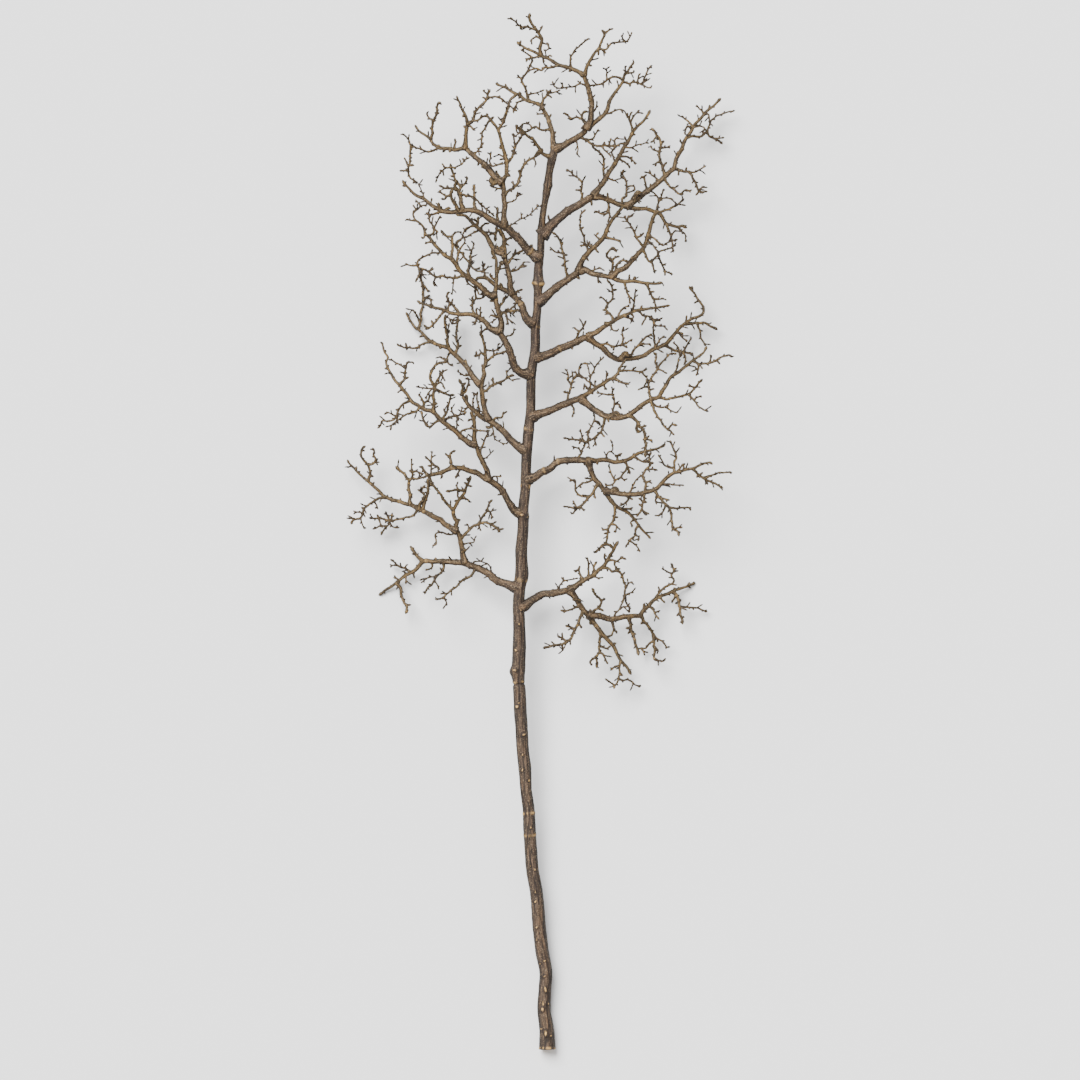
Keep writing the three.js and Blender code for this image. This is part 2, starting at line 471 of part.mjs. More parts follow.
    twigs: [
      [3.0, -24,1200, -22.5,1204],
      [1.3, -22.5,1204, -20,1208],
      [1.5, -43,1219, -40,1226],
      [2.0, -50,1222, -47,1218],
      [1.1, -57,1232, -50,1238, -42,1243, -37,1246, -28,1249, -18,1257, -12,1264, -6,1265],
      [1.0, -37,1246, -38,1256],
      [1.2, -12,1264, -14,1268],
      [1.9, -72,1241, -73,1251, -72,1264],
      [2.0, -105,1257.5, -107,1266, -107,1277, -108,1286, -108.5,1298],
      [1.6, -107,1276, -112,1279, -119,1281, -126,1283, -132,1286],
      [1.3, -106,1277, -99,1269, -91,1262, -84,1256, -77,1249],
      [1.3, -119,1281, -119,1277],
      [2.9, -124,1258, -127,1269, -128,1277, -130,1284, -134,1289],
      [1.9, -134,1289, -136,1296, -135,1301, -137,1308, -140,1315, -143,1323, -144,1329],
      [1.7, -131,1286, -126,1294, -120,1300, -118,1306, -120,1310],
      [1.6, -127,1293, -132,1301, -134,1305],
      [1.7, -135,1289, -142,1292, -152,1292, -161,1296],
      [1.3, -147,1293, -148,1297],
      [1.2, -143,1322, -151,1322, -156,1329],
      [1.3, -144,1322, -135,1323, -127,1327, -121,1333, -114,1338],
      [1.2, -121,1332, -126,1337],
      [1.2, -151,1321, -157,1316, -162,1308, -165,1299],
      [1.1, -156,1317, -160,1319],
      [1.1, -155,1317, -153,1309],
      [1.2, -137,1310, -144,1310],
      [2.4, -131,1257, -136,1268, -142,1277, -143,1283, -140,1291],
      [1.5, -143,1281, -150,1280, -156,1284, -160,1289],
      [1.4, -149,1279, -152,1275, -158,1275],
      [1.4, -137,1269, -136,1274],
      [1.7, -152,1258, -146,1262, -142,1261],
      [1.8, -160,1260, -161,1271],
      [1.7, -155,1257, -165,1254, -175,1252, -180,1256],
      [1.4, -174,1252, -175,1246],
      [1.2, -176,1253, -174,1262],
      [1.1, -183,1276, -185,1285, -190,1294, -194,1301, -200,1302],
      [1.4, -210,1296, -216,1295],
    ],
  },
  {
    name: 'left_6_upper', parent: 'left_6', radii: [3.9, 1.3], heights: [118, 130, 142, 150],
    route: [-61,1236, -62,1255, -61,1265.5, -62.5,1274.5, -63.5,1285.5, -64,1296, -63.5,1304, -59.5,1310,
      -59,1319, -59,1328.5, -60.5,1339, -63.5,1350, -66.5,1361, -69.5,1371.5, -74,1381, -79,1388.5,
      -83.5,1394.5, -88,1399, -95.5,1398.5, -99,1394.5, -105,1391.5, -111,1392],
    twigs: [
      [2.0, -62,1280, -56,1287, -48,1293, -42,1300, -39,1308, -37,1317, -33,1326, -26,1334, -18,1337,
        -14,1343, -8,1346],
      [1.4, -47,1294, -50,1303],
      [1.3, -41,1302, -37,1300],
      [1.3, -38,1313, -42,1319],
      [1.2, -18,1336, -14,1326],
      [1.1, -32,1328, -33,1336],
      [1.2, -60,1268, -53,1271, -46,1275, -40,1283, -36,1283],
      [1.0, -43,1279, -42,1287],
      [1.3, -64,1291, -72,1291, -79,1293, -85,1297],
      [1.6, -59,1312, -53,1308],
      [1.8, -58,1328, -51,1337, -48,1347, -46,1354, -40,1364, -36,1371, -37,1377],
      [1.4, -48,1347, -53,1348],
      [1.4, -47,1353, -48,1363, -48,1373],
      [1.2, -48,1371, -52,1373],
      [1.4, -59,1329, -64,1329],
      [1.2, -60,1338, -72,1342],
      [1.2, -60,1336, -70,1333],
      [1.4, -64,1352, -71,1353],
      [1.3, -64,1351, -64,1357],
      [1.5, -72,1378, -66,1387, -62,1399, -58,1411, -53,1422],
      [1.4, -83,1394, -77,1398],
      [1.5, -83,1394, -89,1385, -95,1374, -96,1362, -98,1354, -103,1346, -107,1340],
      [1.3, -99,1354, -94,1351],
      [1.3, -98,1355, -92,1359],
      [1.2, -88,1399, -88,1404],
      [1.2, -97,1396, -96,1402],
      [1.4, -76,1318, -81,1325, -85,1331, -83,1339, -82,1347],
      [1.2, -64,1304, -71,1312, -76,1318],
    ],
  },
  {
    name: 'left_7', parent: 'left_6_upper', radii: [4.4, 1.3], heights: [108, 96, 72],
    route: [-64,1299, -72.5,1305.5, -79,1311.5, -85,1319, -91,1327, -99,1333, -106.5,1339, -114,1345.5,
      -120.5,1351, -128,1351, -136,1349, -143.5,1351, -151,1351.5, -159,1352.5, -165,1356, -169.5,1359,
      -173.5,1365.5, -180.5,1371, -188,1376, -192.5,1381, -196.5,1388],
    twigs: [
      [3.4, -70,1303, -79,1301, -84,1308],
      [3.0, -92,1326, -97,1322],
      [3.0, -92,1328, -90,1329],
      [1.3, -102,1332, -103,1325],
      [1.9, -173,1366, -170,1374, -171,1382, -169,1392, -164,1403, -163,1411, -161,1418, -157,1421],
      [1.4, -168,1393, -175,1398, -179,1406],
      [1.2, -168,1393, -164,1393],
      [1.2, -170,1381, -175,1383],
      [1.2, -164,1404, -159,1405],
      [2.4, -168,1358, -171,1356],
      [2.0, -161,1354, -160,1358],
      [1.6, -156,1352, -163,1351, -170,1348, -179,1347, -187,1350, -195,1353, -202,1353],
      [1.6, -202,1353, -203,1345, -204,1334, -205,1325, -207,1316, -204,1308, -198,1303, -193,1300],
      [1.4, -202,1353, -204,1361, -209,1368, -215,1374],
      [1.4, -204,1327, -197,1325],
      [1.3, -206,1324, -210,1334, -213,1338],
      [1.3, -207,1317, -213,1318, -220,1318],
      [1.2, -204,1337, -200,1338],
      [1.6, -137,1350, -136,1359, -136,1367],
      [1.7, -144,1350, -145,1345],
      [1.5, -150,1350, -156,1346],
      [1.3, -207,1319, -211,1321],
    ],
  },
  {
    name: 'left_7_upper', parent: 'left_7', radii: [3.2, 1.2], heights: [116, 130],
    route: [-121,1352, -121,1359, -120.5,1368.5, -119.5,1377.5, -118,1385.5, -119,1394.5, -122,1402.5,
      -126,1410, -128,1417, -132,1424, -134.5,1430],
    twigs: [
      [1.9, -118,1387, -114,1391, -110,1393, -107,1402, -103,1409, -97,1416, -90,1422, -87,1430, -84,1440],
      [1.3, -106,1404, -108,1409],
      [1.2, -88,1424, -84,1426],
      [1.3, -89,1423, -92,1427, -96,1428],
      [1.2, -86,1432, -95,1438],
      [1.4, -87,1427, -80,1428, -70,1427, -63,1422, -55,1416, -48,1410, -43,1406],
      [1.2, -70,1427, -69,1431],
      [1.2, -48,1410, -48,1403],
      [1.1, -48,1411, -44,1417],
      [1.6, -118,1387, -111,1382, -105,1378],
      [1.4, -119,1382, -124,1386],
      [1.6, -120,1364, -117,1365],
      [1.4, -121,1402, -126,1398],
      [1.4, -127,1415, -131,1416],
    ],
  },
  {
    name: 'right_1', parent: 'stem', radii: [5.4, 4.2], heights: [62],
    route: [-34,664, -29,667.5, -20.5,675, -12,680, -3.5,683.5, 7,684.5, 18,686, 26,687.5, 34.5,690],
    twigs: [
      [2.2, -23,674, -25,679],
      [4.2, -11,681, -9,684],
      [1.2, 14,687, 20,695, 27,703, 38,706, 49,708],
      [1.2, 27,703, 23,710],
    ],
  },
  {
    name: 'right_1_upper', parent: 'right_1', radii: [3.8, 1.7], heights: [80, 100],
    route: [35,691, 43,695, 49,700, 56,704.5, 62,708, 68.5,711, 74,715, 79,719.5, 87.5,726.5, 92,735,
      96,743.5, 100.5,749, 103.5,756, 108.5,764],
    twigs: [
      [1.7, 55,706, 51,713, 48,720, 42,717],
      [1.3, 49,720, 51,727],
      [1.5, 63,710, 64,722, 63,731, 61,740],
      [1.7, 71,716, 72,724, 77,733],
      [1.3, 70,712, 77,708, 80,705],
      [1.4, 50,701, 55,696],
      [1.4, 56,706, 49,708],
      [1.8, 85,722, 93,722, 100,718, 106,720, 112,722],
      [1.6, 105,720, 113,714, 116,705, 119,695, 118,684, 120,673, 124,664, 124,655],
      [1.3, 119,693, 124,700, 131,702],
      [1.3, 118,682, 124,685, 132,686],
      [1.4, 119,682, 114,671, 110,661, 104,655, 102,651],
      [1.2, 110,661, 117,665, 127,666],
      [1.2, 118,714, 118,718],
      [1.6, 92,735, 100,735, 106,733, 113,738, 121,736],
      [1.4, 103,733, 103,729, 107,722],
      [1.2, 113,737, 116,741],
      [1.4, 91,733, 88,739, 88,746],
      [1.5, 101,750, 98,757, 88,759, 81,754, 74,746],
      [1.3, 99,748, 103,748],
    ],
  },
  {
    name: 'right_1_lower', parent: 'right_1', radii: [4.0, 1.7], heights: [48, 36, 22],
    route: [36,689, 41,682.5, 47.5,674, 53.5,664.5, 60,656, 66.5,647.5, 75,637, 83.5,626, 92,615.5,
      100.5,606, 106.5,595.5, 113,583, 121.5,573.5, 125.5,567, 128,562],
    twigs: [
      [3.6, 43,676, 40,674],
      [2.4, 48,674, 52,677],
      [1.6, 50,666, 43,663, 36,660, 28,659, 21,660],
      [1.2, 28,659, 27,655],
      [2.0, 55,658, 51,648, 47,638, 42,629, 38,619, 31,612, 24,608, 14,607, 5,605, -5,603],
      [1.6, 43,631, 37,634, 28,636],
      [1.5, 31,612, 26,617, 16,621],
      [1.2, 24,617, 24,627],
      [1.2, 24,608, 26,599],
      [1.2, 36,616, 37,607],
      [1.1, 14,607, 7,613],
      [1.4, 49,640, 54,632],
      [1.9, 81,626, 81,615, 80,604, 80,597, 76,590, 76,582, 76,572],
      [1.5, 80,597, 86,592, 90,584, 93,578],
      [1.5, 77,590, 69,586, 65,580],
      [1.2, 76,580, 79,578],
      [1.4, 81,606, 90,603, 98,606],
      [1.5, 90,618, 97,621, 102,628, 106,628, 107,624],
      [1.4, 103,628, 101,637, 99,643],
      [1.4, 101,608, 106,610],
      [1.6, 113,583, 110,577, 110,568, 109,557, 104,547, 102,541],
      [1.4, 109,577, 102,574, 96,569],
      [1.4, 110,565, 116,561],
      [1.4, 104,546, 96,551, 88,557],
      [1.4, 109,556, 116,554, 124,555, 131,550, 142,544],
      [1.6, 78,634, 78,629],
      [1.6, 66,646, 66,637],
    ],
  },
  {
    name: 'right_1_outer', parent: 'right_1_lower', radii: [4.2, 1.5], heights: [36, 26, 2],
    route: [62,652, 69,651, 75,651, 85.5,649.5, 96,646.5, 106.5,647.5, 119.5,649.5, 132,651, 140.5,652,
      145,658, 153,664.5, 161.5,674, 170,679, 180.5,683.5, 193.5,689.5, 206,694, 216.5,697.5, 225,701],
    twigs: [
      [1.9, 66,656, 74,660, 80,664, 83,672, 78,679, 74,684, 71,690, 68,693],
      [1.3, 83,674, 90,677],
      [1.4, 80,662, 87,658],
      [1.6, 68,655, 66,662],
      [2.2, 80,652, 83,656],
      [1.4, 98,645, 101,636, 103,630],
      [2.3, 124,650, 126,640, 127,630, 131,620, 134,609, 137,600, 138,591],
      [1.5, 125,633, 119,632],
      [1.4, 129,624, 136,624],
      [1.3, 127,630, 122,624],
      [2.2, 142,651, 147,643, 154,635, 160,626, 164,619],
      [1.9, 161,622, 162,611, 163,600, 163,588, 166,583],
      [1.5, 164,605, 170,598],
      [1.4, 163,586, 170,584, 176,584, 180,588],
      [1.4, 165,619, 172,614, 178,610, 182,604, 187,604],
      [1.4, 161,613, 155,609, 150,603, 142,602, 137,601],
      [1.3, 143,602, 149,591],
      [1.8, 157,634, 156,631],
      [1.5, 144,641, 141,639],
      [1.6, 148,659, 148,671],
      [1.5, 156,664, 163,661],
      [1.4, 158,662, 163,656, 170,645],
      [1.2, 163,656, 172,659],
      [1.7, 166,677, 171,688, 178,694, 187,698, 192,704, 189,712, 192,720, 187,731],
      [1.2, 192,720, 197,723],
      [1.2, 190,713, 182,718, 173,722],
      [1.3, 170,689, 169,696],
      [1.4, 172,677, 179,670],
      [2.2, 189,688, 195,682, 199,674, 201,664, 201,654, 204,645, 206,638],
      [1.4, 195,682, 188,671],
      [1.4, 199,674, 204,675],
      [1.5, 202,665, 210,664, 222,664, 234,660, 243,657],
      [1.1, 216,664, 216,661],
      [1.3, 201,656, 195,651],
      [1.6, 215,697, 216,702],
      [1.8, 194,690, 192,694],
    ],
  },
  {
    name: 'right_2', parent: 'stem', radii: [5.2, 3.9], heights: [80],
    route: [-27,854, -18,860, -5,867, 5,872, 15,880, 25,884, 40,885, 55,884, 63,883],
    twigs: [
      [1.5, 47,886, 53,896, 57,906, 58,912],
      [1.2, 53,896, 47,903, 38,906],
    ],
  },
  {
    name: 'right_2_upper', parent: 'right_2', radii: [3.4, 1.5], heights: [70, 58],
    route: [60,884, 75,885, 90,885, 105,882, 118,884, 130,890, 142,896, 155,899, 168,902, 180,908],
    twigs: [
      [1.5, 131,890, 141,884, 152,881, 162,880],
      [1.7, 118,883, 122,874, 126,863],
      [1.5, 122,874, 117,866, 111,858, 105,855, 100,849, 88,847],
      [1.3, 103,854, 98,865, 93,877],
      [1.2, 112,860, 119,853],
      [1.1, 90,886, 93,895, 99,900, 100,908, 96,916],
      [1.5, 108,883, 107,890, 115,895],
      [1.3, 107,890, 102,893],
      [1.3, 130,890, 133,896],
      [1.4, 77,884, 77,877],
    ],
  },
  {
    name: 'right_2_lower', parent: 'right_2', radii: [4.0, 1.3], heights: [70, 50],
    route: [62,880, 67,870, 73,858, 80,848, 87,838, 95,827, 103,818, 112,812, 122,806, 132,796, 140,786,
      150,775, 157,766],
    twigs: [
      [2.0, 78,849, 70,836, 62,827, 54,817, 44,811],
      [1.3, 45,812, 40,803],
      [1.4, 45,812, 32,815, 25,816],
      [1.3, 46,813, 40,825],
      [1.4, 50,815, 58,808],
      [1.5, 64,830, 50,832, 44,841, 43,855, 34,853],
      [1.3, 71,837, 74,826],
      [1.5, 72,858, 62,851, 53,850, 51,845, 54,843],
      [1.3, 70,857, 63,857, 57,858],
      [1.8, 104,817, 103,802, 99,790, 93,783, 92,770, 88,758, 80,752, 73,745],
      [1.3, 102,799, 109,799],
      [1.4, 99,788, 105,787, 104,775],
      [1.4, 93,781, 83,780],
      [1.2, 92,775, 86,775],
      [1.4, 88,758, 95,757, 100,753],
      [1.3, 132,797, 127,790, 130,787],
      [1.5, 140,787, 134,780, 133,773, 126,764, 119,753],
      [1.3, 133,773, 139,768, 137,763],
      [1.3, 126,764, 133,758, 142,747],
      [1.4, 114,811, 125,812, 131,814],
    ],
  },
  {
    name: 'right_2_outer', parent: 'right_2_lower', radii: [3.8, 1.4], heights: [100, 112, 120],
    route: [88,838, 98,837, 110,834, 125,833, 140,835, 155,838, 163,841, 172,849, 182,860, 192,866,
      203,868, 218,872, 230,877, 240,880, 246,881, 250,878],
    twigs: [
      [3.0, 99,837, 104,841, 110,839],
      [1.8, 219,872, 227,864, 237,857, 246,853, 256,848, 266,843],
      [1.5, 237,857, 252,863, 262,866, 278,867],
      [1.3, 228,863, 225,858],
      [1.3, 230,862, 235,867],
      [1.3, 240,856, 242,847],
      [2.0, 162,840, 170,829, 177,821, 184,813, 187,802, 189,790, 191,781, 196,778, 199,770],
      [1.5, 184,813, 195,812, 208,814, 215,812, 216,808],
      [1.4, 179,818, 175,808, 169,800],
      [1.4, 171,827, 180,826, 186,825],
      [1.3, 168,831, 164,824, 166,818],
      [1.4, 191,781, 198,783, 205,784],
      [1.7, 148,836, 146,822, 142,810, 136,799],
      [1.4, 142,810, 148,807, 155,803],
      [1.3, 146,822, 152,822],
      [1.3, 144,816, 138,819],
      [1.2, 145,822, 138,828],
      [1.5, 121,833, 123,825, 117,820, 110,816],
      [1.3, 123,830, 131,826],
      [1.7, 149,837, 149,851, 145,861, 149,871, 156,877, 155,886, 157,898],
      [1.4, 149,851, 158,855],
      [1.3, 125,833, 131,849, 138,858, 144,862],
      [1.3, 150,872, 160,871, 168,870],
      [1.3, 156,880, 162,881],
      [1.7, 192,866, 192,880, 195,890, 191,903, 186,915],
      [1.4, 192,873, 180,875, 172,886, 167,893],
      [1.4, 197,867, 205,880],
      [1.3, 205,879, 208,870],
      [1.3, 173,850, 190,848, 207,846],
    ],
  },
  {
    name: 'right_3', parent: 'stem', radii: [5.4, 4.1], heights: [90],
    route: [-20,948, -10,953, 5,959, 20,966, 35,971, 48,976, 53,977],
    twigs: [
      [1.4, 35,971, 42,961, 39,948],
      [1.6, 32,970, 34,984, 38,997, 42,1007, 49,1013],
      [1.3, 42,1008, 45,1014, 43,1019],
      [1.4, 49,1013, 59,1006, 68,1000, 73,995],
      [1.2, 49,1013, 51,1026, 59,1030, 64,1018, 67,1009],
      [1.3, 38,999, 32,1006, 34,1012, 28,1022],
      [1.3, 34,986, 25,988],
    ],
  },
  {
    name: 'right_3_upper', parent: 'right_3', radii: [3.2, 2.1], heights: [110, 128],
    route: [51,977, 62,984, 75,993, 88,1000, 98,1006, 103,1006],
    twigs: [
      [1.7, 103,1006, 113,1001, 122,999, 125,998],
      [2.0, 100,1006, 106,1012, 110,1022, 116,1032, 119,1036],
      [1.5, 109,1019, 128,1018, 142,1017, 152,1021],
      [1.3, 143,1017, 151,1008, 155,1003],
      [1.3, 66,987, 67,1007, 72,1020, 79,1031, 87,1040],
      [1.4, 66,987, 57,997, 56,989],
      [1.3, 89,1001, 91,1012, 92,1017],
      [1.3, 86,999, 91,989],
      [1.4, 68,988, 71,983],
      [1.3, 73,992, 74,1005],
    ],
  },
  {
    name: 'right_3_outer', parent: 'right_3', radii: [4.3, 1.4], heights: [112, 122, 134, 150],
    route: [53,976, 62,968, 75,959, 88,951, 98,948, 110,948, 122,951, 132,958, 145,967, 158,975, 168,979,
      174,989, 181,999, 188,1010, 200,1017, 210,1025, 220,1033, 230,1040, 236,1045, 241,1055],
    twigs: [
      [3.2, 96,949, 104,954, 112,950],
      [1.8, 168,979, 180,976, 192,978, 203,981, 213,983, 220,990, 228,998, 234,1007],
      [1.5, 213,983, 222,974, 228,964, 233,961, 244,958],
      [1.3, 221,975, 233,982],
      [1.3, 223,993, 212,996],
      [1.6, 155,973, 170,964, 185,966],
      [1.2, 180,965, 190,957, 198,956],
      [1.8, 157,974, 165,953, 172,943, 178,934, 181,932, 190,938, 197,936],
      [1.4, 181,932, 193,922],
      [2.3, 124,952, 133,945, 140,936, 146,928, 148,918, 149,905, 149,888],
      [2.2, 138,938, 136,929, 142,926],
      [1.3, 142,934, 151,937],
      [1.4, 148,917, 160,914],
      [1.3, 149,915, 155,922],
      [1.7, 220,1033, 227,1029, 238,1029, 248,1031, 255,1034, 263,1039, 275,1041, 279,1038],
      [1.4, 228,1029, 227,1017, 224,1010],
      [1.4, 245,1030, 248,1041],
      [1.3, 255,1034, 260,1027],
      [1.2, 229,1029, 234,1020],
      [1.7, 157,975, 154,992, 155,1003, 161,1013, 166,1022, 164,1032, 164,1042, 160,1046],
      [1.4, 166,1022, 177,1034, 187,1044, 196,1043],
      [1.2, 165,1021, 170,1020, 182,1014],
      [1.3, 154,994, 145,994, 137,989],
      [1.3, 155,989, 163,991],
      [1.2, 156,1004, 164,1001],
      [1.4, 191,1012, 197,1024, 198,1034, 204,1043],
      [1.5, 97,949, 102,966, 102,978, 100,986, 103,993],
      [1.3, 101,983, 88,983, 75,986],
      [1.3, 102,969, 110,967, 112,960],
      [1.8, 88,951, 86,938, 82,927, 73,919, 62,913, 57,911],
      [1.5, 60,912, 50,914, 40,916, 25,918],
      [1.4, 63,914, 64,927, 69,938, 73,946, 71,957],
      [1.2, 65,928, 58,926],
      [1.3, 57,912, 53,922, 52,932],
      [1.2, 52,914, 49,908],
      [1.2, 62,913, 65,907, 60,903],
      [1.4, 73,919, 75,905],
      [1.3, 82,927, 89,919],
      [1.3, 72,944, 80,940, 79,936],
      [1.4, 91,950, 95,941],
    ],
  },
  {
    name: 'right_4', parent: 'stem', radii: [5.4, 4.3], heights: [74],
    route: [-14,1036, -3,1041, 10,1046, 25,1053, 40,1060, 52,1066, 62,1070],
    twigs: [
      [1.6, 45,1062, 49,1075, 55,1084, 61,1094],
      [1.3, 50,1077, 41,1084],
      [1.4, 38,1059, 40,1050],
    ],
  },
  {
    name: 'right_4_upper', parent: 'right_4', radii: [3.6, 1.3], heights: [86, 95],
    route: [62,1071, 75,1077, 88,1085, 100,1093, 112,1099, 122,1104, 132,1108, 145,1110, 160,1112,
      175,1114, 186,1117],
    twigs: [
      [2.0, 92,1088, 88,1093],
      [1.7, 102,1094, 96,1103, 90,1110, 93,1119, 99,1127, 100,1138, 97,1148, 91,1156],
      [1.3, 100,1140, 107,1141],
      [1.2, 91,1110, 84,1111],
      [1.3, 93,1120, 85,1127, 80,1130],
      [1.4, 108,1097, 112,1108, 118,1114, 126,1116],
      [1.4, 129,1107, 131,1118, 133,1130, 134,1137, 138,1140],
      [1.4, 96,1090, 101,1080, 108,1078],
      [1.4, 116,1101, 126,1096, 132,1091],
      [1.3, 127,1106, 130,1098, 124,1097],
      [1.4, 137,1109, 147,1101, 155,1100, 160,1096],
      [1.3, 150,1101, 147,1094, 143,1086],
      [1.3, 159,1097, 168,1094, 175,1099],
      [1.3, 160,1096, 163,1088, 170,1086, 180,1085],
      [1.3, 142,1110, 145,1117],
    ],
  },
  {
    name: 'right_4_outer', parent: 'right_4', radii: [4.0, 1.3], heights: [56, 42, 32, 25],
    route: [63,1069, 75,1060, 85,1053, 97,1042, 107,1036, 118,1037, 135,1038, 148,1042, 160,1050,
      172,1055, 180,1060, 187,1068, 195,1077, 202,1085, 210,1091, 220,1097, 230,1101, 236,1106, 237,1115,
      233,1121, 228,1127, 223,1135, 217,1141, 215,1147],
    twigs: [
      [3.4, 112,1037, 118,1044, 125,1040],
      [2.0, 208,1089, 220,1090, 230,1091, 237,1091, 246,1087, 253,1083, 258,1080],
      [1.5, 228,1091, 231,1078, 232,1068, 237,1061, 241,1056],
      [1.8, 178,1059, 190,1051, 200,1048, 210,1046, 220,1045],
      [1.4, 206,1047, 209,1038, 208,1028],
      [1.4, 207,1047, 213,1060, 219,1069],
      [1.5, 195,1077, 207,1074],
      [1.4, 199,1075, 206,1068, 213,1063],
      [1.3, 201,1048, 196,1057, 190,1062],
      [1.7, 125,1038, 134,1052, 144,1064, 152,1071, 160,1074],
      [1.3, 140,1059, 158,1059],
      [1.4, 164,1052, 170,1065, 178,1072],
      [1.5, 164,1052, 162,1073, 161,1086, 160,1096, 157,1103],
      [1.6, 80,1057, 92,1059, 102,1055, 113,1058, 123,1053],
      [1.4, 114,1057, 116,1068, 114,1075, 117,1083],
      [1.3, 115,1058, 120,1060, 130,1067],
      [1.3, 101,1055, 101,1048],
      [1.3, 217,1141, 220,1147],
      [1.3, 229,1125, 222,1120],
      [1.4, 211,1092, 211,1103],
    ],
  },
  {
    name: 'right_5', parent: 'stem', radii: [5.2, 3.8], heights: [100],
    route: [-12,1122, -3,1128, 8,1137, 20,1146, 33,1156, 43,1163, 50,1168],
    twigs: [
      [1.8, 32,1156, 29,1175, 27,1190, 24,1203, 21,1214, 16,1222, 9,1226],
      [1.3, 26,1194, 15,1196, 5,1204],
      [1.3, 23,1207, 26,1212],
      [1.3, 29,1177, 22,1176],
      [1.3, 27,1192, 33,1191],
      [1.6, 44,1163, 51,1155],
    ],
  },
  {
    name: 'right_5_upper', parent: 'right_5', radii: [3.4, 1.8], heights: [128, 150],
    route: [48,1169, 52,1180, 63,1195, 77,1208, 87,1219, 91,1230, 98,1243, 107,1254, 116,1263],
    twigs: [
      [1.8, 87,1218, 100,1215, 113,1212],
      [1.4, 82,1213, 75,1220, 79,1226],
      [1.4, 73,1204, 79,1194],
      [1.5, 72,1203, 62,1206, 50,1206],
      [1.3, 63,1206, 65,1213],
      [1.3, 60,1190, 64,1182],
      [1.5, 64,1196, 60,1207, 56,1219, 52,1230, 51,1242, 52,1250, 60,1260],
      [1.2, 52,1230, 57,1234],
    ],
  },
  {
    name: 'right_5_lower', parent: 'right_5', radii: [3.6, 1.4], heights: [112, 124, 130],
    route: [50,1167, 58,1169, 68,1164, 80,1162, 92,1159, 100,1158, 105,1155, 117,1152, 130,1153,
      150,1149, 165,1148, 175,1150],
    twigs: [
      [1.8, 94,1159, 99,1173, 99,1182, 91,1190, 95,1198, 100,1202, 106,1195],
      [1.4, 98,1183, 104,1188, 111,1189],
      [1.6, 118,1152, 120,1140, 124,1130, 126,1117],
      [1.6, 151,1149, 155,1137, 160,1127, 164,1117, 164,1105],
      [1.3, 155,1136, 163,1136],
      [1.4, 161,1125, 170,1126, 176,1128],
      [1.4, 125,1153, 125,1163],
      [1.3, 131,1153, 133,1160],
      [1.3, 78,1162, 78,1152, 80,1149],
      [1.3, 66,1165, 70,1169, 82,1173],
    ],
  },
  {
    name: 'right_5_outer', parent: 'right_5_lower', radii: [3.4, 2.0], heights: [138, 160],
    route: [98,1160, 108,1167, 118,1173, 130,1184, 138,1193, 145,1202, 150,1213, 154,1227, 158,1242,
      166,1254, 170,1257],
    twigs: [
      [1.9, 104,1165, 107,1177, 114,1183, 124,1182],
      [2.8, 130,1185, 128,1190],
      [1.7, 144,1200, 150,1190, 152,1183, 158,1180, 161,1172, 163,1163],
      [1.5, 156,1181, 167,1189, 173,1180, 178,1168, 190,1162],
      [1.3, 178,1168, 177,1160],
      [1.3, 167,1189, 170,1197, 180,1200, 195,1206],
      [1.4, 150,1212, 158,1209, 163,1201, 169,1195],
      [1.6, 146,1204, 140,1210, 134,1219, 131,1228, 127,1234, 121,1243, 116,1250],
      [1.3, 121,1243, 125,1251],
      [1.3, 135,1218, 142,1219, 147,1225],
      [1.3, 158,1241, 163,1239],
      [1.4, 153,1222, 165,1213, 174,1206, 185,1211, 197,1215],
      [1.3, 154,1224, 157,1213],
    ],
  },
  {
    name: 'right_6', parent: 'stem', radii: [5.7, 4.0], heights: [86],
    route: [-7,1220, 3,1232, 12,1240, 25,1252, 40,1262, 55,1270, 68,1278, 71,1280],
    twigs: [
      [1.6, 54,1270, 53,1290, 52,1304, 48,1308, 40,1312, 36,1317, 30,1321],
      [1.3, 53,1289, 43,1289],
      [1.5, 66,1277, 69,1265],
    ],
  },
  {
    name: 'right_6_upper', parent: 'right_6', radii: [3.4, 1.4], heights: [70, 60],
    route: [71,1281, 78,1290, 85,1300, 92,1312, 100,1325, 108,1337, 114,1347, 119,1357, 125,1367,
      131,1378, 138,1386, 146,1394, 152,1403, 156,1411],
    twigs: [
      [2.3, 82,1296, 80,1300],
      [2.3, 84,1299, 88,1297],
      [1.7, 89,1307, 86,1320, 87,1330, 85,1340, 80,1347, 73,1352, 69,1357],
      [1.4, 108,1337, 119,1331, 124,1327, 126,1322],
      [1.5, 110,1341, 124,1338, 130,1334, 134,1327],
      [1.3, 127,1336, 130,1340],
      [1.6, 131,1378, 127,1390, 123,1400, 119,1403],
      [1.3, 124,1398, 128,1407],
      [1.4, 127,1391, 131,1401, 138,1408, 141,1410],
      [1.3, 122,1362, 117,1371],
      [1.3, 129,1374, 135,1373],
      [1.2, 117,1354, 127,1353, 140,1358, 155,1360],
      [1.2, 90,1309, 97,1305, 107,1305, 116,1311],
    ],
  },
  {
    name: 'right_6_middle', parent: 'right_6', radii: [3.3, 1.5], heights: [72, 58, 40],
    route: [72,1280, 80,1279, 92,1275, 105,1270, 117,1266, 125,1264, 138,1262, 150,1262, 160,1259,
      168,1256, 172,1254, 176,1247, 180,1240, 188,1237, 197,1235, 205,1237, 212,1233],
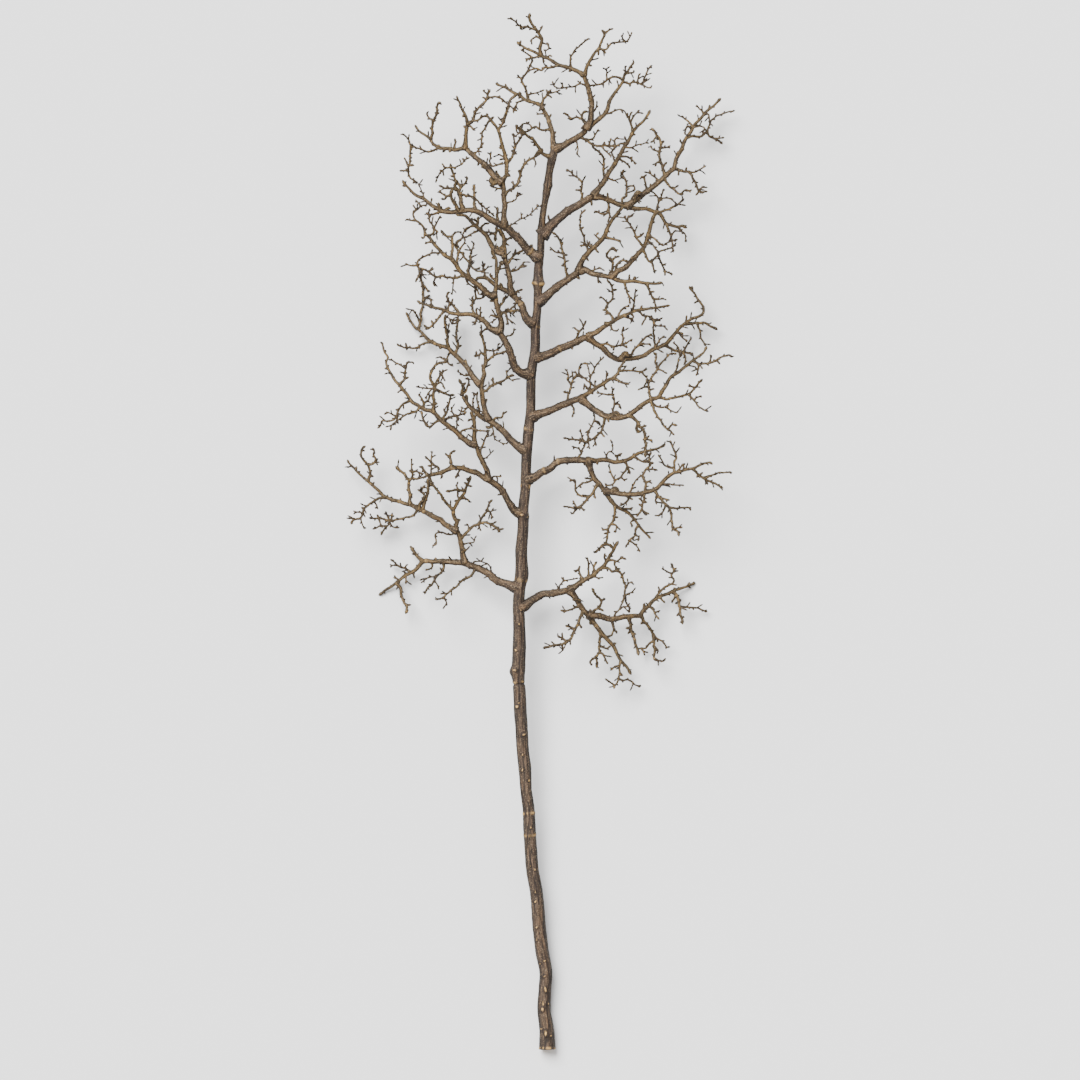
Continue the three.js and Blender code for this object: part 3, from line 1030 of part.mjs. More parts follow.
    twigs: [
      [1.4, 93,1275, 93,1286],
      [1.6, 93,1275, 93,1262, 92,1255, 85,1254, 76,1257, 72,1259],
      [1.4, 93,1262, 96,1252, 92,1240],
      [1.6, 113,1268, 115,1277, 120,1281, 121,1292, 121,1302, 117,1310, 115,1316, 118,1321],
      [1.3, 121,1293, 127,1296, 132,1295, 132,1288],
      [1.7, 167,1256, 175,1258, 183,1261, 191,1265, 196,1267, 203,1273, 208,1277],
      [1.4, 166,1257, 169,1270, 172,1275, 180,1278, 190,1277],
      [1.3, 171,1274, 174,1284, 177,1291],
      [1.3, 170,1272, 165,1283, 157,1288],
      [1.6, 181,1239, 184,1228, 188,1218, 190,1208, 191,1196],
      [1.3, 197,1235, 202,1229, 208,1224, 211,1212],
      [1.3, 187,1221, 195,1230],
    ],
  },
  {
    name: 'right_6_outer', parent: 'right_6_middle', radii: [3.6, 1.4], heights: [64, 54, 42, 30],
    route: [119,1266, 130,1271, 142,1281, 155,1290, 167,1299, 178,1309, 186,1317, 192,1322, 194,1330,
      199,1343, 205,1356, 211,1368, 218,1378, 222,1386, 230,1396, 237,1404, 245,1412, 254,1420,
      258,1424, 263,1429],
    twigs: [
      [3.0, 131,1273, 137,1285, 144,1286],
      [2.4, 200,1345, 196,1348],
      [2.2, 203,1352, 208,1351],
      [1.8, 211,1369, 220,1371, 228,1370, 236,1373, 241,1377, 246,1371, 253,1367, 260,1364, 266,1360],
      [1.3, 253,1367, 262,1369, 268,1370],
      [1.4, 241,1377, 245,1387, 250,1397, 256,1401, 269,1406, 284,1410],
      [1.3, 222,1385, 231,1386, 236,1384, 240,1378],
      [1.3, 237,1404, 243,1404, 245,1398, 244,1391],
      [1.3, 245,1412, 246,1419],
      [1.3, 237,1404, 231,1412, 226,1419],
      [1.5, 220,1385, 214,1393, 208,1398, 204,1403],
      [1.4, 219,1381, 212,1386, 209,1380, 208,1373],
      [2.0, 179,1310, 175,1324, 171,1335, 170,1346, 173,1357, 170,1368, 166,1373, 158,1384],
      [1.4, 175,1324, 182,1332],
      [1.4, 171,1333, 166,1330, 163,1325],
      [1.3, 170,1347, 162,1350, 156,1357],
      [1.4, 172,1353, 180,1354, 187,1357],
      [1.3, 173,1358, 178,1364],
      [1.3, 167,1372, 162,1365, 156,1361],
      [1.4, 169,1301, 164,1309, 157,1314, 156,1321],
      [1.5, 153,1289, 149,1300, 146,1309, 142,1311],
      [1.2, 146,1308, 151,1314],
      [1.3, 158,1292, 156,1300],
      [1.7, 178,1308, 185,1296, 193,1291, 202,1283, 207,1284],
      [1.3, 191,1292, 199,1298],
      [1.3, 202,1283, 210,1290, 218,1287],
      [1.9, 192,1322, 200,1320, 208,1318, 214,1318, 218,1312, 222,1305, 226,1296, 229,1290, 233,1286],
      [1.3, 229,1290, 236,1297],
      [1.3, 233,1286, 243,1288],
      [1.3, 230,1288, 224,1282],
      [1.3, 214,1318, 222,1317, 230,1320, 241,1326],
      [1.3, 210,1318, 211,1325],
      [1.3, 200,1320, 199,1311],
    ],
  },
  {
    name: 'top_left', parent: 'stem', radii: [3.6, 1.5], heights: [84, 60],
    route: [13,1348, 11,1362, 8,1378, 4,1393, -2,1405, -7,1415, -18,1420, -29,1424, -40,1431, -50,1437,
      -60,1443, -70,1447, -76,1451],
    twigs: [
      [4.6, -6,1413, -9,1416],
      [1.8, -7,1415, -4,1424, 1,1431, 3,1437],
      [1.3, 2,1433, 9,1427],
      [1.2, 3,1436, 0,1441],
      [1.2, 3,1436, 8,1441],
      [1.2, 2,1434, 15,1437, 22,1440],
      [1.7, -26,1423, -31,1443, -36,1455, -30,1465, -24,1475, -20,1486],
      [1.3, -36,1455, -40,1459, -43,1463],
      [1.2, -28,1431, -19,1435, -10,1436, -2,1440],
      [1.7, -45,1434, -53,1425, -56,1415, -60,1400, -65,1388, -72,1379],
      [1.4, -33,1426, -43,1420, -46,1413, -48,1409],
      [1.7, -40,1431, -39,1438],
      [1.4, -57,1441, -61,1450],
      [1.3, 2,1396, 8,1404],
      [1.2, -2,1404, -15,1403],
      [1.3, 9,1371, 15,1378],
      [1.5, 8,1380, -8,1380, -16,1384, -22,1381, -30,1377, -38,1378, -44,1388],
      [1.2, -21,1382, -25,1387, -37,1387, -39,1384],
    ],
  },
  {
    name: 'upper_left_spur', parent: 'stem', radii: [2.6, 1.4], heights: [112, 126],
    route: [7,1338, 0,1341, -6,1345, -10,1352, -15,1358, -20,1364, -26,1368, -32,1374, -37,1379, -41,1383],
    twigs: [
      [1.6, -6,1346, -5,1352],
      [1.5, -7,1347, -14,1340, -20,1335],
      [1.4, -20,1364, -22,1370],
      [1.3, -15,1358, -20,1355],
      [1.3, -32,1374, -42,1375, -45,1387],
    ],
  },
  {
    name: 'top_right', parent: 'stem', radii: [4.4, 3.8], heights: [112],
    route: [13,1350, 20,1353, 32,1359, 45,1366, 55,1373, 61,1380],
    twigs: [
      [3.0, 35,1361, 36,1356],
      [1.6, 31,1359, 31,1366],
      [1.7, 50,1369, 60,1363, 68,1358, 80,1355, 95,1355, 105,1354, 112,1358, 119,1358],
      [1.3, 87,1355, 88,1362],
      [1.3, 94,1355, 98,1367],
      [1.3, 103,1354, 103,1364, 108,1369],
      [1.3, 84,1355, 91,1345, 98,1340],
      [1.4, 104,1354, 99,1346, 101,1338, 103,1332],
      [1.4, 58,1364, 71,1367, 75,1374, 79,1381],
      [1.2, 44,1365, 48,1352, 46,1342],
    ],
  },
  {
    name: 'top_right_tip', parent: 'top_right', radii: [3.4, 1.3], heights: [104, 90],
    route: [62,1381, 68,1386, 78,1394, 86,1401, 91,1410, 95,1420, 102,1433, 110,1445, 115,1453, 117,1460,
      122,1466, 127,1474, 133,1481],
    twigs: [
      [1.6, 115,1454, 104,1459, 93,1456, 85,1449, 72,1446, 62,1444],
      [1.2, 84,1449, 87,1445],
      [1.2, 91,1455, 90,1471],
      [1.5, 114,1451, 125,1449, 130,1451, 137,1450, 143,1448, 147,1455, 150,1465, 155,1473, 160,1477],
      [1.2, 143,1448, 150,1444, 158,1442],
      [1.3, 137,1450, 138,1458, 142,1465],
      [1.2, 125,1449, 126,1443],
      [1.3, 117,1460, 119,1470, 118,1476],
      [1.3, 121,1465, 130,1465, 133,1467],
      [1.3, 88,1404, 96,1405, 106,1409, 117,1407, 122,1400],
    ],
  },
  {
    name: 'crown_branch', parent: 'top_right', radii: [4.0, 2.9], heights: [122, 130],
    route: [62,1382, 65,1390, 68,1403, 68.5,1415, 66,1430, 63,1442, 59,1455, 58,1460],
    twigs: [
      [2.4, 67,1424, 62,1424],
      [1.8, 65,1391, 58,1390, 54,1398, 55,1404, 62,1408],
      [1.6, 60,1389, 56,1393, 50,1397, 44,1397, 39,1396, 33,1401, 27,1405],
      [1.3, 39,1396, 34,1394],
      [1.4, 60,1389, 52,1380],
      [1.2, 68,1404, 75,1412, 76,1423],
      [1.3, 62,1445, 50,1447, 42,1444, 30,1442, 18,1441, 12,1444, 10,1452],
      [1.2, 25,1441, 25,1450],
    ],
  },
  {
    name: 'crown_left', parent: 'crown_branch', radii: [2.9, 1.5], heights: [122, 100],
    route: [57,1462, 48,1466, 38,1470, 25,1474, 15,1478, 5,1484, -8,1490, -20,1497, -32,1503, -41,1508,
      -44,1512],
    twigs: [
      [1.6, 20,1476, 8,1472, 0,1472, -7,1468, -14,1470, -22,1468, -29,1465],
      [1.5, -6,1489, -20,1487, -28,1484, -30,1480],
      [1.3, -20,1487, -33,1496, -38,1500],
      [1.3, -4,1488, -3,1478, 2,1473],
      [1.2, 1,1486, 6,1490, 9,1487],
      [1.3, -39,1507, -38,1514],
      [1.5, 38,1470, 38,1488, 44,1498, 53,1506, 65,1516],
      [1.4, 39,1470, 33,1466],
    ],
  },
  {
    name: 'crown_right', parent: 'crown_branch', radii: [2.5, 1.4], heights: [142, 150],
    route: [58,1463, 62,1475, 67,1485, 75,1496, 79,1500, 84,1512, 89,1523],
    twigs: [
      [1.3, 89,1523, 95,1528, 101,1530],
      [1.2, 89,1523, 83,1528],
      [1.5, 79,1500, 87,1498, 100,1508, 115,1510, 121,1510],
      [1.2, 121,1510, 129,1525],
      [1.2, 119,1510, 112,1520],
      [1.4, 78,1499, 78,1489],
      [1.2, 84,1499, 90,1492],
      [1.3, 62,1476, 69,1473],
    ],
  },
  {
    name: 'apex', parent: 'crown_left', radii: [2.4, 1.7], heights: [124, 130],
    route: [-8,1491, -9,1500, -7,1508, -6,1514, -10,1522, -15,1530, -22,1538, -25,1546, -24,1554],
    twigs: [
      [1.5, -14,1529, -22,1531, -30,1533, -36,1533, -44,1539, -54,1547],
      [1.2, -30,1533, -36,1529, -39,1529],
      [1.4, -7,1514, -15,1518, -20,1515, -24,1510],
      [1.2, -7,1510, 3,1507],
      [1.2, 3,1507, 4,1500, -1,1496],
      [1.4, -11,1525, -4,1535],
    ],
  },
];

// Routes

// Pairs up a flat list of x, y, x, y.
function pairs(numbers) {
  const points = [];
  for (let i = 0; i < numbers.length; i += 2) points.push(new THREE.Vector3(numbers[i], numbers[i + 1], 0));
  return points;
}

// Share of the whole length at which each point of a route lies.
function shares(points) {
  const lengths = [0];
  for (let i = 1; i < points.length; i++) {
    lengths.push(lengths[i - 1] + Math.hypot(points[i].x - points[i - 1].x, points[i].y - points[i - 1].y));
  }
  return lengths.map((length) => length / lengths.at(-1));
}

// Value at a share of the way through an even list.
function along(values, share) {
  const place = share * (values.length - 1);
  const low = Math.min(Math.floor(place), values.length - 2);
  return THREE.MathUtils.lerp(values[low], values[low + 1], place - low);
}

// Nearest point, seen from above, on a list of woods; each wood is { points, radii }.
function nearestOn(woods, x, y) {
  let best = null;
  for (const wood of woods) {
    for (let i = 1; i < wood.points.length; i++) {
      const a = wood.points[i - 1];
      const b = wood.points[i];
      const reach = (b.x - a.x) ** 2 + (b.y - a.y) ** 2;
      const share = THREE.MathUtils.clamp(((x - a.x) * (b.x - a.x) + (y - a.y) * (b.y - a.y)) / reach, 0, 1);
      const point = new THREE.Vector3().lerpVectors(a, b, share);
      const distance = Math.hypot(point.x - x, point.y - y);
      if (!best || distance < best.distance) best = { point, distance };
    }
  }
  return best.point;
}

// Leaves out the points of a route that lie within the tolerance of a straight line.
function straighten(wood, tolerance) {
  const { points, radii } = wood;
  const keep = new Set([0, points.length - 1]);
  const split = (first, last) => {
    const line = new THREE.Line3(points[first], points[last]);
    const foot = new THREE.Vector3();
    let worst = 0;
    let middle = -1;
    for (let i = first + 1; i < last; i++) {
      const off = line.closestPointToPoint(points[i], true, foot).distanceTo(points[i]);
      if (off > worst) [worst, middle] = [off, i];
    }
    if (worst <= tolerance) return;
    keep.add(middle);
    split(first, middle);
    split(middle, last);
  };
  split(0, points.length - 1);
  const kept = [...keep].sort((a, b) => a - b);
  return { points: kept.map((i) => points[i]), radii: kept.map((i) => radii[i]) };
}

// Wood

function stemWood() {
  const points = STEM.map(([x, y]) => new THREE.Vector3(x, y, FOOT_HEIGHT + STEM_RISE * y));
  return { points, radii: STEM.map(([, , radius]) => radius) };
}

// A limb's middle line, from its parent's middle, at the stated heights over the ground.
function limbWood(limb, parentWood) {
  const points = pairs(limb.route);
  points[0].copy(nearestOn([parentWood], points[0].x, points[0].y));
  const heights = [points[0].z, ...limb.heights];
  const radii = [];
  shares(points).forEach((share, i) => {
    points[i].z = along(heights, share);
    radii.push(along(limb.radii, share));
  });
  return { points, radii };
}

// A twig's middle line; it lies along the ground where it would go under it.
function twigWood([radius, ...route], turn, woods) {
  const points = pairs(route);
  points[0].copy(nearestOn(woods, points[0].x, points[0].y));
  const radii = shares(points).map((share) => radius * THREE.MathUtils.lerp(1, TWIG_TIP, share));
  const slope = TWIG_SLOPES[turn % TWIG_SLOPES.length];
  for (let i = 1; i < points.length; i++) {
    const step = Math.hypot(points[i].x - points[i - 1].x, points[i].y - points[i - 1].y);
    points[i].z = Math.max(points[i - 1].z + slope * step, radii[i]);
  }
  return { points, radii };
}

// Whether a twig is long enough, or a knob thick enough, to be raised in the solids.
function isRaised({ points, radii }) {
  const length = points.slice(1).reduce((sum, point, i) => sum + point.distanceTo(points[i]), 0);
  return length >= SHORTEST_TWIG || radii[0] >= KNOB_RADIUS;
}

// A limb's middle line and those of its twigs, each with no more bends than it needs.
function limbWoods(limb, parentWood) {
  const woods = [straighten(limbWood(limb, parentWood), BEND_TOLERANCE)];
  limb.twigs.forEach((route, turn) => {
    const twig = straighten(twigWood(route, turn, woods), TWIG_TOLERANCE);
    if (isRaised(twig)) woods.push(twig);
  });
  return woods;
}

// Solids

// A closed tapered tube along a route: a cylinder bent so that each of its rings stands
// square to the route.
function tube(wood, sides, extra) {
  const { points, radii } = wood;
  const steps = points.length - 1;
  const shape = new THREE.CylinderGeometry(1, 1, 1, sides, steps);
  const place = shape.attributes.position;
  const ahead = new THREE.Vector3();
  const across = new THREE.Vector3();
  const above = new THREE.Vector3();
  const corner = new THREE.Vector3();
  for (let i = 0; i < place.count; i++) {
    const step = Math.round((0.5 - place.getY(i)) * steps);
    ahead.subVectors(points[Math.min(step + 1, steps)], points[Math.max(step - 1, 0)]).normalize();
    across.set(-ahead.y, ahead.x, 0).normalize();
    above.crossVectors(ahead, across);
    const radius = radii[step] + extra;
    corner.copy(points[step]);
    corner.addScaledVector(across, place.getX(i) * radius);
    corner.addScaledVector(above, place.getZ(i) * radius);
    place.setXYZ(i, corner.x, corner.y, corner.z);
  }
  return shape;
}

const wasm = await Module();
wasm.setup();

function solidOf(shape) {
  shape.deleteAttribute('normal');
  shape.deleteAttribute('uv');
  const merged = mergeVertices(shape, WELD);
  return new wasm.Manifold(new wasm.Mesh({
    numProp: 3,
    vertProperties: new Float32Array(merged.attributes.position.array),
    triVerts: new Uint32Array(merged.index.array),
  }));
}

function shapeOf(solid) {
  const mesh = solid.getMesh();
  const shape = new THREE.BufferGeometry();
  shape.setAttribute('position', new THREE.BufferAttribute(mesh.vertProperties, 3));
  shape.setIndex(new THREE.BufferAttribute(mesh.triVerts, 1));
  shape.computeVertexNormals();
  return shape;
}

function sidesFor(radius) {
  if (radius > 5.8) return 8;
  if (radius > 4.2) return 6;
  return radius > 2.6 ? 4 : 3;
}

// One limb with its twigs joined in, or the same grown all round to cut its neighbours.
function bough(woods, extra) {
  const solids = woods.map((wood) => solidOf(tube(wood, sidesFor(wood.radii[0]), extra)));
  return solids.reduce((joined, solid) => joined.add(solid));
}

function largestBody(solid) {
  return solid.decompose().reduce((best, body) => (body.volume() > best.volume() ? body : best));
}

function boxesMeet(a, b) {
  return [0, 1, 2].every((i) => a.min[i] <= b.max[i] && b.min[i] <= a.max[i]);
}

// Assembly: each piece is cut clear of all that stand before it, its parent among them

const branch = new THREE.Group();
const placed = [];
const mainWoods = {};

function addPiece(name, woods, bark) {
  let solid = bough(woods, 0);
  for (const other of placed) {
    if (boxesMeet(solid.boundingBox(), other.boundingBox())) solid = solid.subtract(other);
  }
  solid = largestBody(solid);
  placed.push(bough(woods, GAP));
  mainWoods[name] = woods[0];
  const mesh = new THREE.Mesh(shapeOf(solid), new THREE.MeshStandardMaterial(bark));
  mesh.name = name;
  branch.add(mesh);
}

addPiece('stem', [straighten(stemWood(), STEM_TOLERANCE)], STEM_BARK);
for (const limb of LIMBS) {
  addPiece(limb.name, limbWoods(limb, mainWoods[limb.parent]), limb.radii[0] > 3 ? LIMB_BARK : TWIG_BARK);
}

// The origin goes under the middle of the box
const box = new THREE.Box3().setFromObject(branch);
const middle = box.getCenter(new THREE.Vector3());
branch.position.set(-middle.x, -middle.y, -box.min.z);

const group = new THREE.Group();
group.add(branch);
export default group;
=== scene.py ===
import json
import math

import bpy
import numpy as np
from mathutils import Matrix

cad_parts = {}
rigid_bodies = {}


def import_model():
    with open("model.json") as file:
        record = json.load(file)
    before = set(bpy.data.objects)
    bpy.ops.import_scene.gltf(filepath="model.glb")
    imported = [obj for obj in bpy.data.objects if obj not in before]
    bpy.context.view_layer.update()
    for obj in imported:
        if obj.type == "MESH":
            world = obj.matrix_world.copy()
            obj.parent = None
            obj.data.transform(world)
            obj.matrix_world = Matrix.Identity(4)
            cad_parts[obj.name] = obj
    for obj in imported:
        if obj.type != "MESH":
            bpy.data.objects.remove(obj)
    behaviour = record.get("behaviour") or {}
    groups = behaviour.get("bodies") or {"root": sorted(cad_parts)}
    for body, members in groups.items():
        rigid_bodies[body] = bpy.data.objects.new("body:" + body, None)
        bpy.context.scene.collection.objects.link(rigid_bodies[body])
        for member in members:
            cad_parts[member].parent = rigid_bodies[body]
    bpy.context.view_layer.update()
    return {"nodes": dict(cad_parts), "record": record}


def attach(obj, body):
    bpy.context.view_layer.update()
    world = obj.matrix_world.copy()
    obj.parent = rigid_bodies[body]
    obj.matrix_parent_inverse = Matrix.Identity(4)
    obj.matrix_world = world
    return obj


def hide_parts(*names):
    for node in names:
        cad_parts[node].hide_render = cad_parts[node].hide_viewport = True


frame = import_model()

# A fallen tree branch lying on a pale floor, seen straight from above. Routes are in
# millimetres from the middle of the cut foot, and meshes are in metres.

MM = 0.001
FOOT_HEIGHT = 12.5  # height of the stem's middle over the ground at its cut foot
STEM_RISE = 0.066  # how much the stem climbs for each millimetre of its length
TWIG_TIP = 0.75  # a twig's tip radius as a share of its base radius
TWIG_SLOPES = [0.3, -0.25, 0.12, -0.4, 0.42, -0.1, 0.2]  # rise per millimetre, in turn

# How finely each wood's mesh is made: millimetres between its rings, and sides round it
STEM_STEP = 1.6
LIMB_STEP = 1.5
TWIG_STEP = 1.3
STEM_SIDES = 72
LIMB_SIDES = 16
TWIG_SIDES = 9
BUD_SIDES = 6
NO_CORNER = -1  # fills the fourth place of a triangle in a list of quads

# How the wood grows
FULLNESS = 1.2  # times the stated radius: how far a limb's or twig's bark stands out
STEM_FULLNESS = ([450, 620, 1350], [1, 1.1, 1.12])  # the same for the stem, at these y
FULLER_LIMBS = ("right_5", "right_6")  # limbs that stand out further, by the start of their name
FULLER = 1.12  # how much further
LIMB_CROOK = (0.9, 14)  # millimetres that a limb bends to either side, and over what length
TWIG_CROOK = (0.8, 6)
BLUNT_OVER = 1.7  # a limb whose tip radius is over this ends blunt, and others in a bud
FOOT_FACE = [0.02, 0.2, 0.4, 0.6, 0.8, 0.93, 0.97]  # rings across the cut foot, as shares

# Bark: furrows along the stem and limbs, and ring scars round the limbs and twigs
STEM_FURROWS = 5
LIMB_FURROWS = 3
FURROW_WANDER = 45  # millimetres along the wood between a furrow's turns
STEM_FURROW_DEPTH = 0.7  # millimetres
LIMB_FURROW_DEPTH = 0.07  # as a share of the radius
STEM_FURROW_MARK = -1.1  # how dark a furrow is
LIMB_FURROW_MARK = -0.7
LIMB_RINGS_EVERY = 19
TWIG_RINGS_EVERY = 8
RING_SWELL = (0.06, 0.22)  # least and most, as a share of the radius
RING_MARK = (-0.7, 0.3)  # from dark to pale
GRAIN_SPAN = 1000  # each wood starts its pattern at random within this many millimetres

# Layers of unevenness on the stem: depth in millimetres, cells per millimetre across, up and
# along it, and an offset that makes each layer its own
STEM_ROUGHNESS = [
    (0.4, [0.4, 0.4, 0.03], 0), (0.25, [1.0, 1.0, 0.12], 9), (0.16, [2.0, 2.0, 0.8], 23),
]

# Buds and the short spurs that some have grown into: lengths and radii, least and most
STEM_BUDS_FROM = 60  # millimetres from the cut foot
STEM_BUDS_EVERY = 40
LIMB_BUDS_EVERY = 13
TWIG_BUDS_EVERY = 7.5
SPUR_SHARE = 0.3
TWIN_BUDS = 0.25  # the share of buds with a second one beside them
BUD_LENGTHS = (2.0, 4.4)
BUD_RADII = (0.95, 1.45)
SPUR_LENGTHS = (5, 13)
SPUR_RADII = (1.0, 1.3)
BUD_PROFILE = [1.6, 1.1, 0.9, 1.15, 1.0, 0.3]  # shares of its radius from base to tip
BUD_MARK = -0.45  # how dark a bud's tip is

# What the camera sees
FRAME_WIDTH = 1620  # millimetres across the square picture, at the branch
FRAME_MIDDLE = (-9, 765)  # what its middle shows, from the middle of the cut foot
CROWN_HEIGHT = 60  # the height at which the frame has that width
LENS = 600
SENSOR = 36

# The stem's route: x, y and radius at each station, from the cut foot to the top fork
STEM = [
    [1.5, 0, 12.5], [1, 30, 11], [-3, 60, 10], [-1.5, 90, 9.8], [0, 112, 10], [-6.5, 150, 10.2],
    [-10, 180, 10], [-12, 210, 10.2], [-15, 240, 10], [-20.5, 270, 9.7], [-22.5, 300, 9.5],
    [-24.5, 330, 9.6], [-26, 360, 9], [-30, 390, 9], [-31.5, 420, 9.8], [-35, 450, 9.2],
    [-36.5, 480, 9.3], [-38.5, 510, 9.5], [-40, 540, 9], [-41, 552, 8.4], [-41, 575, 9.5],
    [-40, 605, 9.2], [-40.5, 640, 8.3], [-41, 665, 8.2], [-40, 690, 8], [-37, 715, 8.6],
    [-37, 750, 8.2], [-34.5, 780, 7.7], [-34, 810, 7.4], [-31, 840, 7.2], [-30, 870, 7],
    [-28.5, 900, 7.2], [-26, 930, 7.2], [-23, 960, 6.6], [-22.5, 990, 6.5], [-21.5, 1020, 6.5],
    [-16.5, 1050, 6.4], [-16, 1080, 6.4], [-13, 1110, 5.6], [-12, 1140, 6], [-11.5, 1150, 7.5],
    [-11.5, 1170, 6.3], [-8, 1200, 5], [-7, 1225, 5.4], [-5, 1250, 4.6], [-1, 1275, 4.6],
    [2.5, 1296, 5.8], [5, 1315, 5], [9, 1335, 6.2], [13, 1350, 5.5],
]

# Rings round the stem: y, rise of the bark, half its width, how pale (or dark, if negative)
STEM_RINGS = [
    [1.5, 0.3, 1.6, 0.7], [355, 0.6, 1.5, 0.6], [549, -1.5, 1.5, -1.2], [552, 0.5, 1.3, 0.5],
    [322, 0.4, 1.5, 0.35], [705, 0.4, 2.5, 0.3], [846, 0.6, 1.8, 0.6], [803, 0.3, 1.5, 0.4],
    [932, 0.4, 1.8, 0.3], [1084, 0.6, 1.6, 0.3], [1150, 0.5, 1.8, 0.5], [1296, 0.6, 3, -0.6],
    [1284, 0.5, 1.6, -0.5], [1020, 0.5, 1.6, -0.4], [1180, 0.4, 1.5, -0.5], [1232, 0.5, 1.6, -0.6],
]

# Knots that stand out of the stem: x, y, how far they stand out, half their width
STEM_KNOTS = [
    [-53, 567, 4.0, 7], [-28, 712, 1.6, 12], [-36, 803, 1.0, 6], [-29, 800, 1.0, 5],
    [-4, 1150, 2.0, 4], [-19, 1150, 2.0, 4], [6, 1296, 1.2, 5],
]

# Pale leaf scars and lenticels that show on top of the stem: x, y, half their width
STEM_SPOTS = [
    [0, 24, 3.8], [-6, 31, 2], [7, 20, 1.6], [-5, 60, 3], [3, 69, 2], [-4, 68, 1.6],
    [-1, 90, 2.6], [-2, 110, 1.8], [-2, 133, 1.6], [-9, 129, 1.5], [-14, 165, 1.8], [-8, 175, 1.5],
    [-14, 183, 1.8], [-16, 222, 1.8], [-16, 237, 1.6], [-17, 270, 1.8], [-23, 277, 1.6],
    [-23, 333, 1.8], [-26, 404, 2], [-35, 420, 1.8], [-35, 443, 1.8], [-34, 473, 2.6],
    [-43, 515, 2.6], [-40, 521, 1.6], [-46, 570, 2.3], [-45, 600, 1.8], [-40, 638, 2],
    [-38, 660, 1.8], [-36, 803, 3], [-29, 800, 2.6], [-33, 742, 1.8], [-38, 766, 1.6],
]

